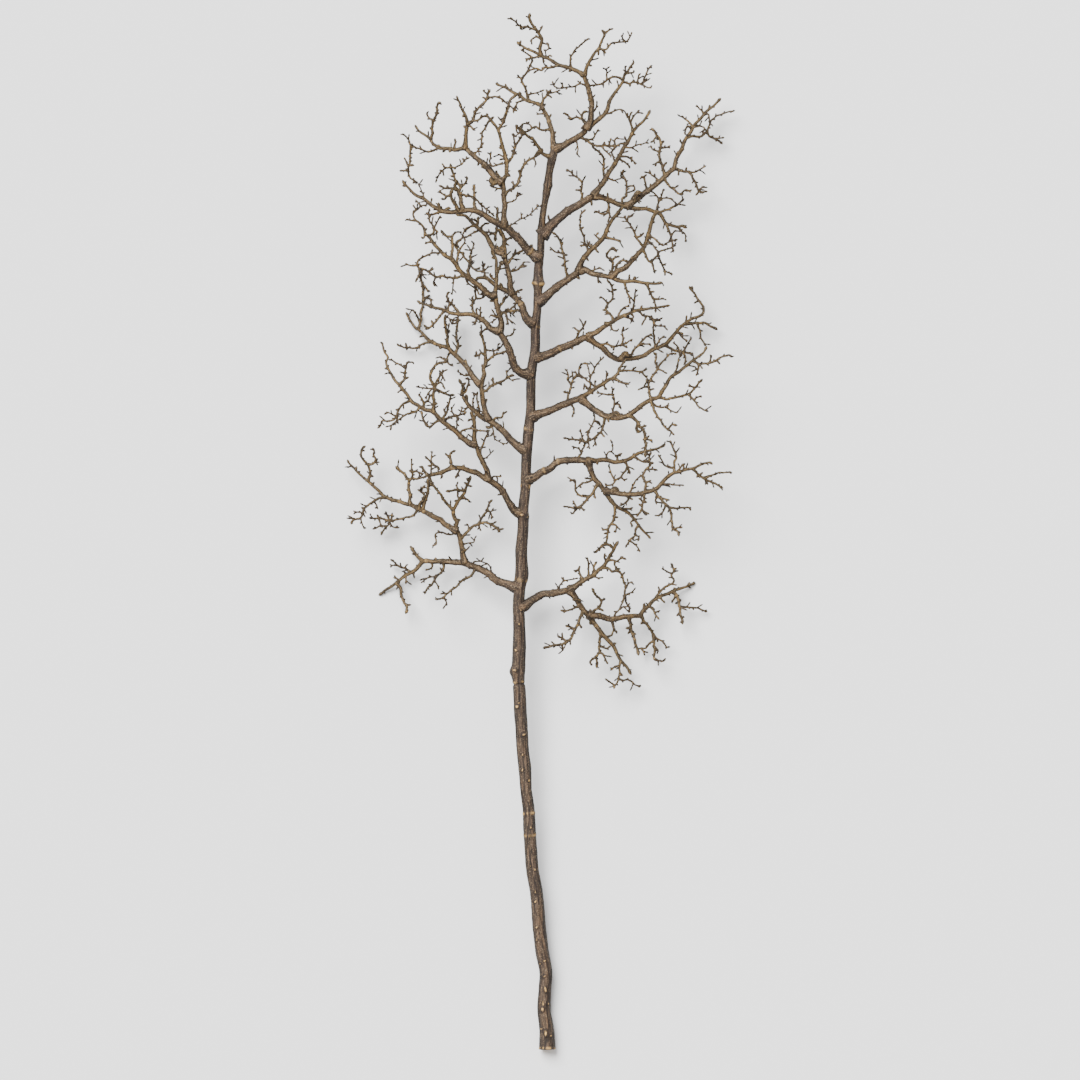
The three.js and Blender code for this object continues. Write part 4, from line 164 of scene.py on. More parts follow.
# The limbs, from the foot to the crown: those on the left, then the right, then the top.
# parent is the piece that a limb grows from, and radii are its base and tip radius. heights
# are its middle's heights over the ground at even steps of its length, after the base, whose
# height is the parent's. route is x and y in turn. Each twig is its base radius, then its own
# x and y in turn, and grows from the nearest wood of the same limb.
LIMBS = [
    dict(
        name='left_1', parent='stem', radii=[5.6, 1.5], heights=[34, 2],
        route=[-43,694, -51,696, -61,700, -70,703, -76,706, -84,713, -93,718, -103,723, -113,727, -121,730,
            -130,731, -140,732, -151,733, -163,733.5, -174,733, -184,732, -191.5,726, -197,720, -203,716.5,
            -211,712, -218.5,706, -226,700, -234,694, -241.5,690, -249,684, -252,682],
        twigs=[
            [1.7, -106,718, -114,710, -122,707, -130,700, -134,695, -141,691, -148,685, -153,679,
                -159,677, -167,677],
            [1.2, -153,679, -149,672, -148,666],
            [1.7, -154,731, -154,722, -157,717, -163,711, -166,706, -170,700, -176,694, -180,689, -182,683],
            [1.3, -163,712, -170,710, -178,708, -190,704.5],
            [1.1, -180,707.5, -188,700],
            [1.2, -167,704, -163,698, -161,690],
            [1.2, -156,719, -160,724],
            [1.4, -172,732, -172,723, -176,721, -182,720],
            [1.5, -165.5,734, -166.5,739.5],
            [1.6, -143.5,733, -145,738],
            [2.4, -185.5,732, -191.5,739.5, -196,744.5, -200,750, -203,756],
            [1.2, -195,743.5, -202,744.5],
            [1.6, -203,716.5, -211,722, -216.5,724, -222,727, -227,732, -234,737],
            [1.1, -223,727.5, -232,726.5, -235.5,728.5],
            [1.1, -212,722.5, -210,726, -206.5,728],
            [1.3, -201,717.5, -199,712, -198,707],
            [1.2, -211,711.5, -210.5,698],
            [1.2, -221,704, -224,707.5, -230,709],
            [2.2, -224,701, -218.5,691.5, -217.5,682, -213,672, -209,663, -209,658, -211.5,654],
            [1.3, -211,668.5, -206,667, -202,667.5],
            [1.1, -83,713, -84,725, -88,730, -97,732.5, -109,732.5],
            [1.0, -97,732.5, -92.5,738.5],
        ],
    ),
    dict(
        name='left_1_upper', parent='left_1', radii=[3.7, 1.5], heights=[52, 66],
        route=[-121,732, -124,740, -125,749, -127,759, -129,766.5, -132,776, -135,786, -133,791.5, -137,799,
            -139.5,805, -139,811, -136.5,815, -132,823, -127,830, -121,838, -118.5,845.5,
                -114.5,853, -112.5,862],
        twigs=[
            [2.6, -125,749, -119,750],
            [1.1, -126,758, -116.5,760.5, -108,762.5, -107,767.5, -104.5,772],
            [2.0, -129,766.5, -123,772, -116.5,779, -109,786, -101,789, -93.5,791.5, -85,790,
                -78,786, -72,780,
                -68.5,776],
            [1.7, -101,789, -97,798, -91.5,805, -87.5,813, -85,820.5, -80,826],
            [1.2, -86,811, -83,805, -82.5,795.5],
            [1.2, -89,809, -84,808, -78,813.5],
            [1.3, -83.5,789.5, -78,790, -73.5,793],
            [1.2, -102,788, -97,778],
            [1.4, -71,780, -62.5,782],
            [1.1, -75,782, -81,779],
            [1.2, -116.5,780, -117.5,787, -119.5,790],
            [1.3, -134,779, -141.5,773.5, -149,774, -158,777, -165.5,773.5, -165,764.5, -165,759, -171,756],
            [1.6, -134,793, -128,796.5],
            [2.0, -139.5,810, -145.5,816.5, -151,822, -157,832, -162.5,839.5, -169.5,847.5, -174,853],
            [1.8, -120,839.5, -124,839.5, -132,840.5, -141.5,839, -151,838.5],
            [1.2, -132,840.5, -133.5,847, -132,853],
            [1.3, -117,847, -110,845.5],
            [1.3, -117.5,848, -123.5,852],
            [1.2, -115.5,853, -120.5,858],
            [1.4, -125,831, -118.5,826, -114,820.5],
            [1.3, -131,824, -138.5,823.5],
            [1.3, -130,825, -132.5,834, -132,840],
        ],
    ),
    dict(
        name='left_1_outer', parent='left_1_upper', radii=[3.8, 1.3], heights=[42, 36, 24],
        route=[-133.5,778, -139.5,781, -145.5,785, -152,788, -159,795.5, -166.5,799, -176,804, -184,808,
            -193.5,812.5, -202,817.5, -212.5,820, -222,823.5, -232,826, -239.5,829, -245.5,832, -251,838.5,
            -259,845.5, -266.5,852, -274,859, -282,866.5, -288.5,873.5, -294.5,879, -299,886],
        twigs=[
            [1.8, -239.5,829, -245.5,829, -252,827, -259,823.5, -266.5,817.5, -273.5,811.5,
                -275,805, -279,798,
                -286,796.5, -290.5,793.5, -292.5,788],
            [1.2, -258,823.5, -254,816.5, -251.5,811],
            [1.1, -275,806, -270.5,799],
            [1.1, -275,806, -282,807, -290,808.5],
            [1.2, -273.5,811.5, -278,814],
            [1.1, -279,798, -275,788, -272,781],
            [1.9, -267,852.5, -264.5,862.5, -265,870.5, -267.5,878, -273.5,885, -277.5,891.5, -277.5,898,
                -273.5,904, -270,906],
            [1.6, -267,878, -258,881, -256,885, -258,892.5, -258.5,898, -260,904],
            [1.3, -257,883, -251.5,887.5],
            [1.3, -264.5,861.5, -258,860.5],
            [1.4, -285,870, -284,876],
            [1.4, -232,826, -232,831],
            [2.3, -204,818, -204,828, -205,837.5, -206.5,847.5, -206.5,855, -211,861.5, -216.5,867.5,
                -222,872.5, -226,876.5],
            [1.6, -206.5,854, -201,858, -193.5,857, -186,858.5, -178,860],
            [1.3, -201,858, -201,866.5, -201.5,876, -201,888],
            [1.4, -201,866.5, -206,870.5],
            [1.5, -201,867, -193.5,867.5, -184,864],
            [1.4, -204,832, -200,835],
            [2.0, -190.5,811, -188.5,820.5, -184,825, -182,834],
            [1.5, -182,834, -187,837.5, -193.5,840.5],
            [1.4, -187,837.5, -184,843.5, -180.5,847.5],
            [2.2, -187,809, -182,820.5, -179,830, -177,841.5, -176.5,851, -177,858],
            [1.6, -192,812, -198,803.5, -204,799.5, -212.5,798.5, -220.5,796.5, -228,794.5, -234,793.5,
                -236,789.5, -240.5,785, -244.5,778, -247.5,771.5],
            [1.5, -234,793.5, -243.5,796.5, -251,797.5, -259,797.5, -266.5,798.5],
            [1.3, -251,797.5, -253.5,804],
            [1.3, -251,797.5, -249,789.5, -245,783],
            [1.4, -232,794, -232,802, -231,806.5],
            [1.4, -234,794.5, -241.5,808.5],
            [1.3, -240,786, -247.5,786.5, -254,784, -261,781],
            [1.2, -235,790, -226,783, -219.5,784],
        ],
    ),
    dict(
        name='left_2', parent='stem', radii=[5.0, 2.4], heights=[95, 110],
        route=[-42.5,803, -49,811, -52,816.5, -57,824, -62.5,834, -69.5,842.5, -78,850, -87.5,856,
            -95.5,860,
            -105,865.5, -114.5,868.5, -124,872.5, -136,874, -145.5,871.5, -155,867.5, -162.5,864.5,
                -170.5,862.5,
            -177,860.5],
        twigs=[
            [3.2, -140,873, -142,879],
            [1.7, -142,879, -143.5,888.5, -143.5,893.5, -138.5,898, -135,900],
            [1.4, -144,889, -152,895],
            [1.3, -171,863, -172,872.5, -171.5,882, -171.5,891.5, -171,899],
            [1.4, -171.5,882, -178,887.5, -182,890.5],
            [1.6, -170,880, -162.5,874, -159,869.5],
            [1.2, -172,876, -178,876.5],
            [1.9, -178,862, -183,870.5, -186.5,874, -189,872.5],
            [1.5, -175,860, -171.5,853, -169.5,847.5],
            [1.4, -124,873, -122.5,878.5],
            [2.2, -104.5,866, -103,870.5],
            [2.0, -70,843, -69,849],
            [1.3, -127.5,873, -133,862.5, -135,856],
            [1.2, -80,851.5, -79,859, -72,860, -66,861],
            [1.3, -160,866, -156,861, -158,856],
        ],
    ),
    dict(
        name='left_2_upper', parent='left_2', radii=[3.7, 2.3], heights=[104, 118],
        route=[-85,858, -89,869, -92.5,877.5, -97,888, -101.5,898, -105.5,907, -107.5,915.5, -107.5,926,
            -107.5,936.5, -107.5,945, -110,952, -112,958],
        twigs=[
            [1.5, -98.5,893, -95.5,905, -91,917, -87.5,924, -86,928],
            [1.0, -95.5,885, -86,891.5, -78,900],
            [2.4, -93,878, -89,880],
        ],
    ),
    dict(
        name='left_2_outer', parent='left_2_upper', radii=[3.9, 1.2], heights=[120, 112, 90],
        route=[-107,907, -113.5,909.5, -120.5,914.5, -127.5,920, -134.5,927, -143,933, -151.5,940,
            -160,946.5,
            -167,954.5, -172.5,958, -179,959.5, -186,962.5, -192,966.5, -200,971, -204.5,977, -208.5,984.5,
            -214,991, -220,997.5, -227,1004.5, -232,1013.5, -236.5,1023, -239,1031.5,
                -236.5,1037.5, -242.5,1047,
            -245,1055.5, -246.5,1062],
        twigs=[
            [1.4, -129,921, -125.5,928.5, -117,931.5, -108.5,931, -99.5,929, -91,928, -83,929],
            [1.7, -157,944, -150,946, -141,949.5, -132.5,951, -124,954.5, -118.5,958],
            [1.3, -133,951, -139.5,954.5, -142,965],
            [1.2, -133,950.5, -133.5,941.5, -133,931.5],
            [1.2, -133,950, -130,943],
            [1.6, -156.5,943.5, -153.5,948.5, -149,954.5, -146.5,964, -144.5,974.5, -143,980],
            [1.4, -150,954, -153.5,962.5],
            [2.2, -168,955.5, -168,964, -168,974.5, -168,984.5, -167,991.5, -169,998.5, -172.5,1005.5,
                -173,1012.5, -169.5,1021, -163.5,1028, -157,1030.5, -150.5,1031.5, -146.5,1037],
            [1.9, -168,991, -160,988, -153.5,984.5, -144.5,982, -136,981.5],
            [1.6, -168,994, -164.5,1000.5, -160,1009, -157,1014],
            [1.3, -157,1014, -160,1019.5],
            [1.3, -157,1014, -153.5,1007, -150.5,1002],
            [1.3, -157,1014, -151.5,1018.5, -147,1021],
            [1.4, -163,993.5, -157,1001, -153.5,995, -150,990],
            [1.2, -168,992, -181,992.5, -195,995],
            [1.5, -168,969, -161.5,969],
            [1.2, -169,990, -174,988, -177.5,981, -179,974.5],
            [1.7, -185,962, -181,970, -176,974.5, -174,979.5, -169,983],
            [1.5, -182,968.5, -188,979.5, -191.5,984],
            [1.7, -159,945.5, -167,940, -174,934.5, -179,935.5, -182.5,943, -185.5,952, -187,959],
            [1.4, -177,935.5, -179,942],
            [1.5, -188,963.5, -195,957.5, -203.5,954.5, -212,951, -221,945, -229.5,938, -233.5,928.5],
            [1.2, -196.5,957.5, -204.5,956.5],
            [1.7, -203,974, -212,970, -217.5,965.5, -221.5,959, -223.5,950, -222.5,943, -221,938],
            [1.5, -223.5,950, -229.5,944, -238,943, -246,942.5, -247.5,937, -253,932],
            [1.2, -224,950.5, -231,953.5, -238,957],
            [1.2, -221.5,960, -226,960],
            [1.2, -237,956.5, -243,953],
            [1.7, -219,996.5, -212,1005.5, -210.5,1014, -209.5,1021, -208,1028, -206,1033],
            [1.4, -209.5,1021.5, -219,1028, -228,1032.5, -236,1036],
            [1.3, -211.5,1007, -204.5,1008],
            [1.1, -207,1031.5, -197.5,1030],
            [1.1, -211,1014, -219,1017],
            [1.2, -236,1022, -242.5,1022],
            [1.2, -215,992, -223.5,985.5],
        ],
    ),
    dict(
        name='left_3', parent='stem', radii=[5.2, 2.2], heights=[66, 56],
        route=[-34,900, -41,905, -49.5,913, -58,921, -65,928.5, -73.5,936.5, -82.5,941.5, -91,946, -98,950,
            -105,957, -112,963, -117,969, -122,976, -126,981],
        twigs=[
            [2.0, -126,981, -126,988, -124,997, -128,1002, -131,1007],
            [1.5, -125.5,985, -121,988, -118,996, -116,1002, -118,1010],
            [1.2, -117,999, -113,996],
            [1.3, -124,997, -120,1002],
            [1.7, -120,973, -119,981, -121,984],
            [1.2, -108,960, -110,972, -108,980, -110,985],
            [1.4, -101,953, -100,962, -103,973, -104,982, -103,988],
            [1.5, -104,956, -108,948, -114,945, -118,943],
            [1.3, -115,967, -121,960, -127,957, -127,964, -129,964],
            [1.5, -82,942, -76,948, -66,948.5, -63,958],
            [1.8, -78,939, -86,933, -91,936],
            [1.0, -79,935, -79,925, -76,917, -68,911, -57,910],
            [2.2, -52,915, -48,918],
            [1.1, -65,927, -63,934],
        ],
    ),
    dict(
        name='left_3_upper', parent='left_3', radii=[3.9, 1.5], heights=[66, 60],
        route=[-86,945, -91,955.5, -93.5,969, -96,981.5, -97,993.5, -95.5,1004, -93.5,1014, -93.5,1023,
            -91,1028, -91,1038.5, -92,1050.5, -93.5,1062.5, -95.5,1071, -98,1075],
        twigs=[
            [1.4, -98,1075, -93,1079, -90,1084],
            [1.2, -98,1075, -97,1083, -98,1089],
            [1.8, -93,1028, -87,1034, -80,1040, -72,1044, -64,1046, -60,1046],
            [1.2, -78,1041, -78,1047, -70,1052, -66,1057, -64,1061],
            [1.0, -72,1051, -72,1060],
            [1.2, -92,1049, -86,1050, -78,1048],
            [1.8, -96,988, -89,990, -80,997, -72,1001, -64,1004, -58,1007, -52,1011, -47,1011],
            [1.3, -58,1007, -58,1014, -61,1020],
            [1.0, -56,1008, -48,1003],
            [1.5, -79,997, -79,1010],
            [1.2, -71,1001, -66,996],
            [1.6, -92,1043, -98,1045, -104,1041, -109,1041],
            [1.3, -104,1042, -105,1049],
            [1.2, -100,1044, -101,1035],
            [1.4, -94,1016, -90,1011],
            [1.3, -96,1024, -97,1029],
            [1.6, -91,1050, -88,1051],
            [2.0, -90,969, -88,977],
        ],
    ),
    dict(
        name='left_3_outer', parent='left_3_upper', radii=[4.0, 1.3], heights=[44, 26, 14, 2],
        route=[-97,999, -101.5,1000.5, -108.5,1009, -115,1019.5, -122,1029.5, -131,1038.5, -139.5,1046,
            -148,1054, -158.5,1056.5, -167,1060, -176,1065, -182.5,1071.5, -189.5,1079, -196.5,1083.5,
            -201.5,1090.5, -206,1098, -210.5,1108],
        twigs=[
            [2.2, -147,1053, -148,1062, -147.5,1070, -150,1078, -151,1086, -151.5,1094, -150,1103],
            [1.9, -137,1044, -133.5,1051, -132.5,1057, -134,1066, -135,1073, -134,1082,
                -132.5,1092, -131,1099],
            [1.4, -133,1053, -129,1057, -126,1058],
            [1.3, -135,1069, -138,1070],
            [1.2, -131.5,1092, -139,1090, -143,1092, -146,1098, -150,1099],
            [1.1, -140,1091, -138,1098, -133,1100],
            [1.2, -147,1074, -147,1084, -144,1091],
            [1.4, -144,1049, -147,1040, -150.5,1033],
            [1.4, -149,1035, -154,1037, -160,1041],
            [1.3, -149,1033, -144,1028, -139,1025],
            [1.8, -118,1024, -121,1033, -121,1037],
            [1.3, -112,1013, -119,1012, -127,1014, -134,1019],
            [1.6, -172,1062, -181,1061.5, -187,1059, -192,1055.5, -200,1053.5, -209,1054,
                -216,1055, -221,1057,
                -224,1061],
            [1.3, -210,1054, -211,1062],
            [1.2, -190,1056, -191,1051],
            [2.4, -180,1069, -182.5,1067],
            [1.3, -184,1073, -191,1069.5],
            [1.9, -192,1081, -190,1088, -188,1097, -188,1106, -186,1116, -184,1124, -182,1127],
            [1.4, -189,1092, -193,1100, -198,1108, -200,1112],
            [1.3, -206,1098, -208.5,1098],
            [1.3, -170,1061, -166,1064],
            [1.4, -158,1056, -159,1051],
            [1.7, -184,1124, -185,1137, -186.5,1149, -188,1156, -187,1168],
            [1.4, -184,1127, -178,1131, -174,1134],
            [1.4, -186,1150, -181,1144, -177,1137],
        ],
    ),
    dict(
        name='left_4', parent='stem', radii=[5.4, 4.1], heights=[96, 105],
        route=[-30.5,1012.5, -39,1017.5, -46,1023.5, -49.5,1033, -53,1043.5, -56.5,1054, -61.5,1063.5,
            -67,1072, -70,1077],
        twigs=[
            [1.3, -60,1065, -58,1070, -50,1073, -48,1078, -47.5,1083],
            [2.6, -51,1038, -49.5,1041],
            [1.4, -47,1030, -44,1030],
        ],
    ),
    dict(
        name='left_4_upper', parent='left_4', radii=[3.9, 1.6], heights=[116, 120, 126],
        route=[-69,1080, -67,1089.5, -69.5,1099, -72.5,1112.5, -75,1123.5, -76.5,1135.5, -75,1143.5,
            -74,1159, -74,1174, -75,1185, -79,1194, -82,1200.5],
        twigs=[
            [1.9, -70,1101, -65,1106, -58,1107, -49,1108, -42,1109, -37,1107],
            [1.4, -48,1108, -48,1103],
            [1.4, -61,1106.5, -58,1095, -56.5,1086],
            [1.7, -72,1111, -66,1119, -61,1126, -56,1131],
            [1.4, -63,1123, -63,1130],
            [1.3, -56,1113, -50,1113, -45,1119, -44,1125],
            [1.3, -58,1107, -56,1113],
            [1.6, -71,1099, -77,1100, -84,1102],
            [1.0, -71,1100, -78,1094, -85,1090],
            [1.5, -73,1112, -78,1112],
            [1.3, -77,1123, -82,1123, -85,1122],
            [2.0, -74,1165, -71,1169, -68,1177, -67,1181, -63,1178],
            [1.4, -76,1187, -82,1188],
            [1.4, -77,1153, -83,1162, -82,1165],
            [1.6, -79,1194, -79,1190],
        ],
    ),
    dict(
        name='left_4_middle', parent='left_4', radii=[3.9, 1.4], heights=[108, 98, 80],
        route=[-71,1077, -82.5,1081.5, -89.5,1090, -98,1097, -106.5,1101.5, -115,1103.5, -127.5,1103.5,
            -139.5,1105, -151.5,1108.5, -160,1111, -170.5,1113.5, -179,1118, -187,1120.5, -194,1124],
        twigs=[
            [1.7, -107,1101.5, -110,1110, -110,1120, -111,1130],
            [1.5, -109,1121, -104,1126, -97,1127, -91,1131],
            [1.3, -104,1126, -106,1133, -105,1141, -111,1146, -119,1151, -121,1158],
            [1.3, -110,1116, -115,1116],
            [1.3, -98,1098, -98,1110, -98,1115],
            [1.3, -103,1100, -105,1112],
            [1.4, -103,1100, -105,1093, -107,1086],
            [1.2, -104,1091, -112,1091],
            [1.4, -95,1095, -92,1100],
            [1.3, -91,1086, -89,1093],
            [1.8, -131,1104, -135,1112, -141,1118, -146,1124, -149,1131, -146,1138],
            [1.3, -142,1119, -139,1127],
            [1.5, -147,1108, -145,1117, -143,1122],
            [1.2, -146,1123, -151,1121],
            [1.7, -153,1108, -158,1101, -165,1093, -172,1085, -176,1082, -184,1087],
            [1.4, -169,1089, -172,1095],
            [1.3, -175,1082, -182,1080],
            [1.5, -170,1113.5, -172,1121, -173,1127],
            [1.6, -172,1114, -172,1111],
            [1.2, -131,1103, -133,1096, -138,1092],
        ],
    ),
    dict(
        name='left_4_outer', parent='left_4_upper', radii=[4.0, 1.2], heights=[138, 152, 140],
        route=[-76,1131, -82,1131, -91,1137, -99,1143.5, -106.5,1151, -114,1157, -122,1162, -129.5,1169.5,
            -135.5,1179, -142,1185, -149.5,1188, -155.5,1194, -162,1202, -168,1209.5, -174,1217,
                -180.5,1223.5,
            -182,1231, -188,1239, -197,1245, -199.5,1251, -198,1259],
        twigs=[
            [1.7, -121,1161, -129,1158.5, -138,1157, -147,1158, -158,1160, -165,1158, -171,1163, -178,1167,
                -185,1170, -190,1172, -192,1180, -185,1187, -175,1192, -166,1194, -158,1193],
            [1.4, -192,1175, -202,1175, -211,1179],
            [1.4, -176,1166, -167,1171],
            [1.3, -165,1158, -168,1150, -165,1144],
            [1.5, -190,1171, -190,1160, -196,1150],
            [1.4, -186,1169, -187,1158, -188,1151],
            [1.1, -138,1157, -139,1145, -140,1132],
            [1.2, -136,1157, -136,1163],
            [2.0, -138,1182, -141,1190, -140,1200, -140,1212, -141,1218, -147,1219, -153,1224, -158,1229],
            [1.4, -141,1218, -134,1225, -125,1226],
            [1.8, -133,1175, -132,1187, -131,1195, -134,1203, -133,1211],
            [1.5, -134,1203, -137,1207, -144,1210],
            [1.4, -133,1211, -127,1216, -120,1218, -110,1224, -104,1227],
            [1.3, -131,1213, -127,1216, -124,1222, -121,1230, -113,1234],
            [1.3, -131,1195, -126,1204, -121,1211, -121,1217],
            [1.4, -131,1196, -125,1194, -121,1194],
            [1.5, -125,1194, -120,1185, -114,1179, -109,1171, -103,1167, -95,1167, -90,1162],
            [2.2, -115,1158, -116,1168, -114,1182, -112,1193],
            [1.3, -112,1193, -109,1203, -108,1210],
            [1.3, -113,1181, -107,1179],
            [1.6, -90,1137, -91,1144],
            [1.4, -98,1144, -98,1151],
            [1.4, -128,1168, -139,1168],
            [1.6, -177,1218, -170,1222, -168,1231, -174,1242, -175,1253],
            [1.3, -168,1231, -161,1224],
            [1.3, -168,1231, -163,1240, -157,1250],
            [1.4, -172,1211, -182,1208],
            [1.4, -181,1224, -184,1217, -187,1219],
            [1.2, -181,1228, -177,1231],
            [1.4, -194,1243, -202,1243, -210,1245],
            [1.4, -198,1256, -191,1260, -183,1265, -178,1264],
            [1.3, -187,1263, -196,1274],
            [1.2, -194,1259, -199,1267],
        ],
    ),
    dict(
        name='left_5', parent='stem', radii=[5.4, 1.9], heights=[74, 60],
        route=[-22,1089.5, -28,1096, -32.5,1105, -35.5,1114, -42,1123.5, -49.5,1131, -57,1136.5, -65,1140.5,
            -72.5,1144, -80.5,1151, -88,1156.5, -95.5,1158, -105,1157],
        twigs=[
            [1.4, -49,1131, -45,1137, -34,1140],
            [1.3, -42,1124, -38,1131],
            [1.9, -66,1141, -70,1151],
            [1.4, -87,1156, -92,1165, -94,1171, -91,1181],
            [1.2, -92,1168, -95,1180],
            [1.2, -92,1168, -86,1177],
            [1.2, -103,1157, -105,1150, -106,1144],
            [1.2, -107,1134, -99,1134, -92,1138],
            [1.2, -106,1144, -107,1134],
            [1.3, -47,1132, -44,1121, -49,1114],
        ],
    ),
    dict(
        name='left_5_upper', parent='left_5', radii=[4.0, 2.4], heights=[76, 72],
        route=[-51,1133, -53.5,1145, -54,1154, -57,1166.5, -59.5,1177, -60.5,1188, -62.5,1197, -63.5,1206.5,
            -63.5,1216, -66,1224, -70,1232],
        twigs=[
            [1.6, -55,1160, -53,1167, -45,1170, -38,1173, -28,1177],
            [1.3, -38,1172, -33,1183],
            [1.3, -49,1169, -49,1173],
            [1.7, -59,1178, -52,1186, -46,1193, -38,1197, -33,1199],
            [1.4, -46,1193, -46,1202],
            [1.3, -41,1196, -38,1194],
            [1.5, -63,1210, -58,1215, -52,1220],
            [1.2, -62,1213, -55,1206],
            [2.2, -65,1222, -73,1230, -76,1222, -77,1212],
            [1.5, -74,1229, -74,1236],
            [1.2, -77,1224, -83,1225, -86,1232],
            [2.6, -62,1190, -68,1192],
            [2.4, -63,1203, -71,1204],
        ],
    ),
    dict(
        name='left_5_outer', parent='left_5_upper', radii=[3.9, 1.7], heights=[66, 52],
        route=[-65.5,1196, -71,1197, -79,1203.5, -85,1214, -91,1223.5, -99,1230.5, -108,1239, -115.5,1246.5,
            -120.5,1251, -128,1252.5, -136,1253.5],
        twigs=[
            [1.5, -98,1230, -95,1236, -89,1240, -84,1240],
            [1.8, -104,1236, -102,1243, -101,1251],
            [1.5, -107,1237, -114,1234, -120,1230, -124,1226],
            [1.3, -101,1229, -107,1226],
            [1.6, -73,1198, -73,1207],
            [1.8, -80,1203, -80,1195, -77,1188],
        ],
    ),
    dict(
        name='left_6', parent='stem', radii=[5.6, 1.6], heights=[108, 120, 110, 100],
        route=[-12,1188, -18,1192, -26.5,1199, -34,1208, -42,1217, -48,1223, -55.5,1229.5, -63.5,1234,
            -72.5,1239.5, -79,1243.5, -85,1247, -92.5,1252, -100,1255.5, -108,1258, -115.5,1259,
                -123.5,1258,
            -131,1256.5, -140,1256, -149.5,1257, -157,1258, -163.5,1260.5, -169.5,1265.5, -175.5,1270.5,
            -183.5,1275.5, -191,1279.5, -199,1285.5, -206.5,1292.5, -212,1299.5, -214.5,1305],
        twigs=[
            [3.0, -24,1200, -22.5,1204],
            [1.3, -22.5,1204, -20,1208],
            [1.5, -43,1219, -40,1226],
            [2.0, -50,1222, -47,1218],
            [1.1, -57,1232, -50,1238, -42,1243, -37,1246, -28,1249, -18,1257, -12,1264, -6,1265],
            [1.0, -37,1246, -38,1256],
            [1.2, -12,1264, -14,1268],
            [1.9, -72,1241, -73,1251, -72,1264],
            [2.0, -105,1257.5, -107,1266, -107,1277, -108,1286, -108.5,1298],
            [1.6, -107,1276, -112,1279, -119,1281, -126,1283, -132,1286],
            [1.3, -106,1277, -99,1269, -91,1262, -84,1256, -77,1249],
            [1.3, -119,1281, -119,1277],
            [2.9, -124,1258, -127,1269, -128,1277, -130,1284, -134,1289],
            [1.9, -134,1289, -136,1296, -135,1301, -137,1308, -140,1315, -143,1323, -144,1329],
            [1.7, -131,1286, -126,1294, -120,1300, -118,1306, -120,1310],
            [1.6, -127,1293, -132,1301, -134,1305],
            [1.7, -135,1289, -142,1292, -152,1292, -161,1296],
            [1.3, -147,1293, -148,1297],
            [1.2, -143,1322, -151,1322, -156,1329],
            [1.3, -144,1322, -135,1323, -127,1327, -121,1333, -114,1338],
            [1.2, -121,1332, -126,1337],
            [1.2, -151,1321, -157,1316, -162,1308, -165,1299],
            [1.1, -156,1317, -160,1319],
            [1.1, -155,1317, -153,1309],
            [1.2, -137,1310, -144,1310],
            [2.4, -131,1257, -136,1268, -142,1277, -143,1283, -140,1291],
            [1.5, -143,1281, -150,1280, -156,1284, -160,1289],
            [1.4, -149,1279, -152,1275, -158,1275],
            [1.4, -137,1269, -136,1274],
            [1.7, -152,1258, -146,1262, -142,1261],
            [1.8, -160,1260, -161,1271],
            [1.7, -155,1257, -165,1254, -175,1252, -180,1256],
            [1.4, -174,1252, -175,1246],
            [1.2, -176,1253, -174,1262],
            [1.1, -183,1276, -185,1285, -190,1294, -194,1301, -200,1302],
            [1.4, -210,1296, -216,1295],
        ],
    ),
    dict(
        name='left_6_upper', parent='left_6', radii=[3.9, 1.3], heights=[118, 130, 142, 150],
        route=[-61,1236, -62,1255, -61,1265.5, -62.5,1274.5, -63.5,1285.5, -64,1296, -63.5,1304, -59.5,1310,
            -59,1319, -59,1328.5, -60.5,1339, -63.5,1350, -66.5,1361, -69.5,1371.5, -74,1381, -79,1388.5,
            -83.5,1394.5, -88,1399, -95.5,1398.5, -99,1394.5, -105,1391.5, -111,1392],
        twigs=[
            [2.0, -62,1280, -56,1287, -48,1293, -42,1300, -39,1308, -37,1317, -33,1326, -26,1334, -18,1337,
                -14,1343, -8,1346],
            [1.4, -47,1294, -50,1303],
            [1.3, -41,1302, -37,1300],
            [1.3, -38,1313, -42,1319],
            [1.2, -18,1336, -14,1326],
            [1.1, -32,1328, -33,1336],
            [1.2, -60,1268, -53,1271, -46,1275, -40,1283, -36,1283],
            [1.0, -43,1279, -42,1287],
            [1.3, -64,1291, -72,1291, -79,1293, -85,1297],
            [1.6, -59,1312, -53,1308],
            [1.8, -58,1328, -51,1337, -48,1347, -46,1354, -40,1364, -36,1371, -37,1377],
            [1.4, -48,1347, -53,1348],
            [1.4, -47,1353, -48,1363, -48,1373],
            [1.2, -48,1371, -52,1373],
            [1.4, -59,1329, -64,1329],
            [1.2, -60,1338, -72,1342],
            [1.2, -60,1336, -70,1333],
            [1.4, -64,1352, -71,1353],
            [1.3, -64,1351, -64,1357],
            [1.5, -72,1378, -66,1387, -62,1399, -58,1411, -53,1422],
            [1.4, -83,1394, -77,1398],
            [1.5, -83,1394, -89,1385, -95,1374, -96,1362, -98,1354, -103,1346, -107,1340],
            [1.3, -99,1354, -94,1351],
            [1.3, -98,1355, -92,1359],
            [1.2, -88,1399, -88,1404],
            [1.2, -97,1396, -96,1402],
            [1.4, -76,1318, -81,1325, -85,1331, -83,1339, -82,1347],
            [1.2, -64,1304, -71,1312, -76,1318],
        ],
    ),
    dict(
        name='left_7', parent='left_6_upper', radii=[4.4, 1.3], heights=[108, 96, 72],
        route=[-64,1299, -72.5,1305.5, -79,1311.5, -85,1319, -91,1327, -99,1333, -106.5,1339, -114,1345.5,
            -120.5,1351, -128,1351, -136,1349, -143.5,1351, -151,1351.5, -159,1352.5, -165,1356,
                -169.5,1359,
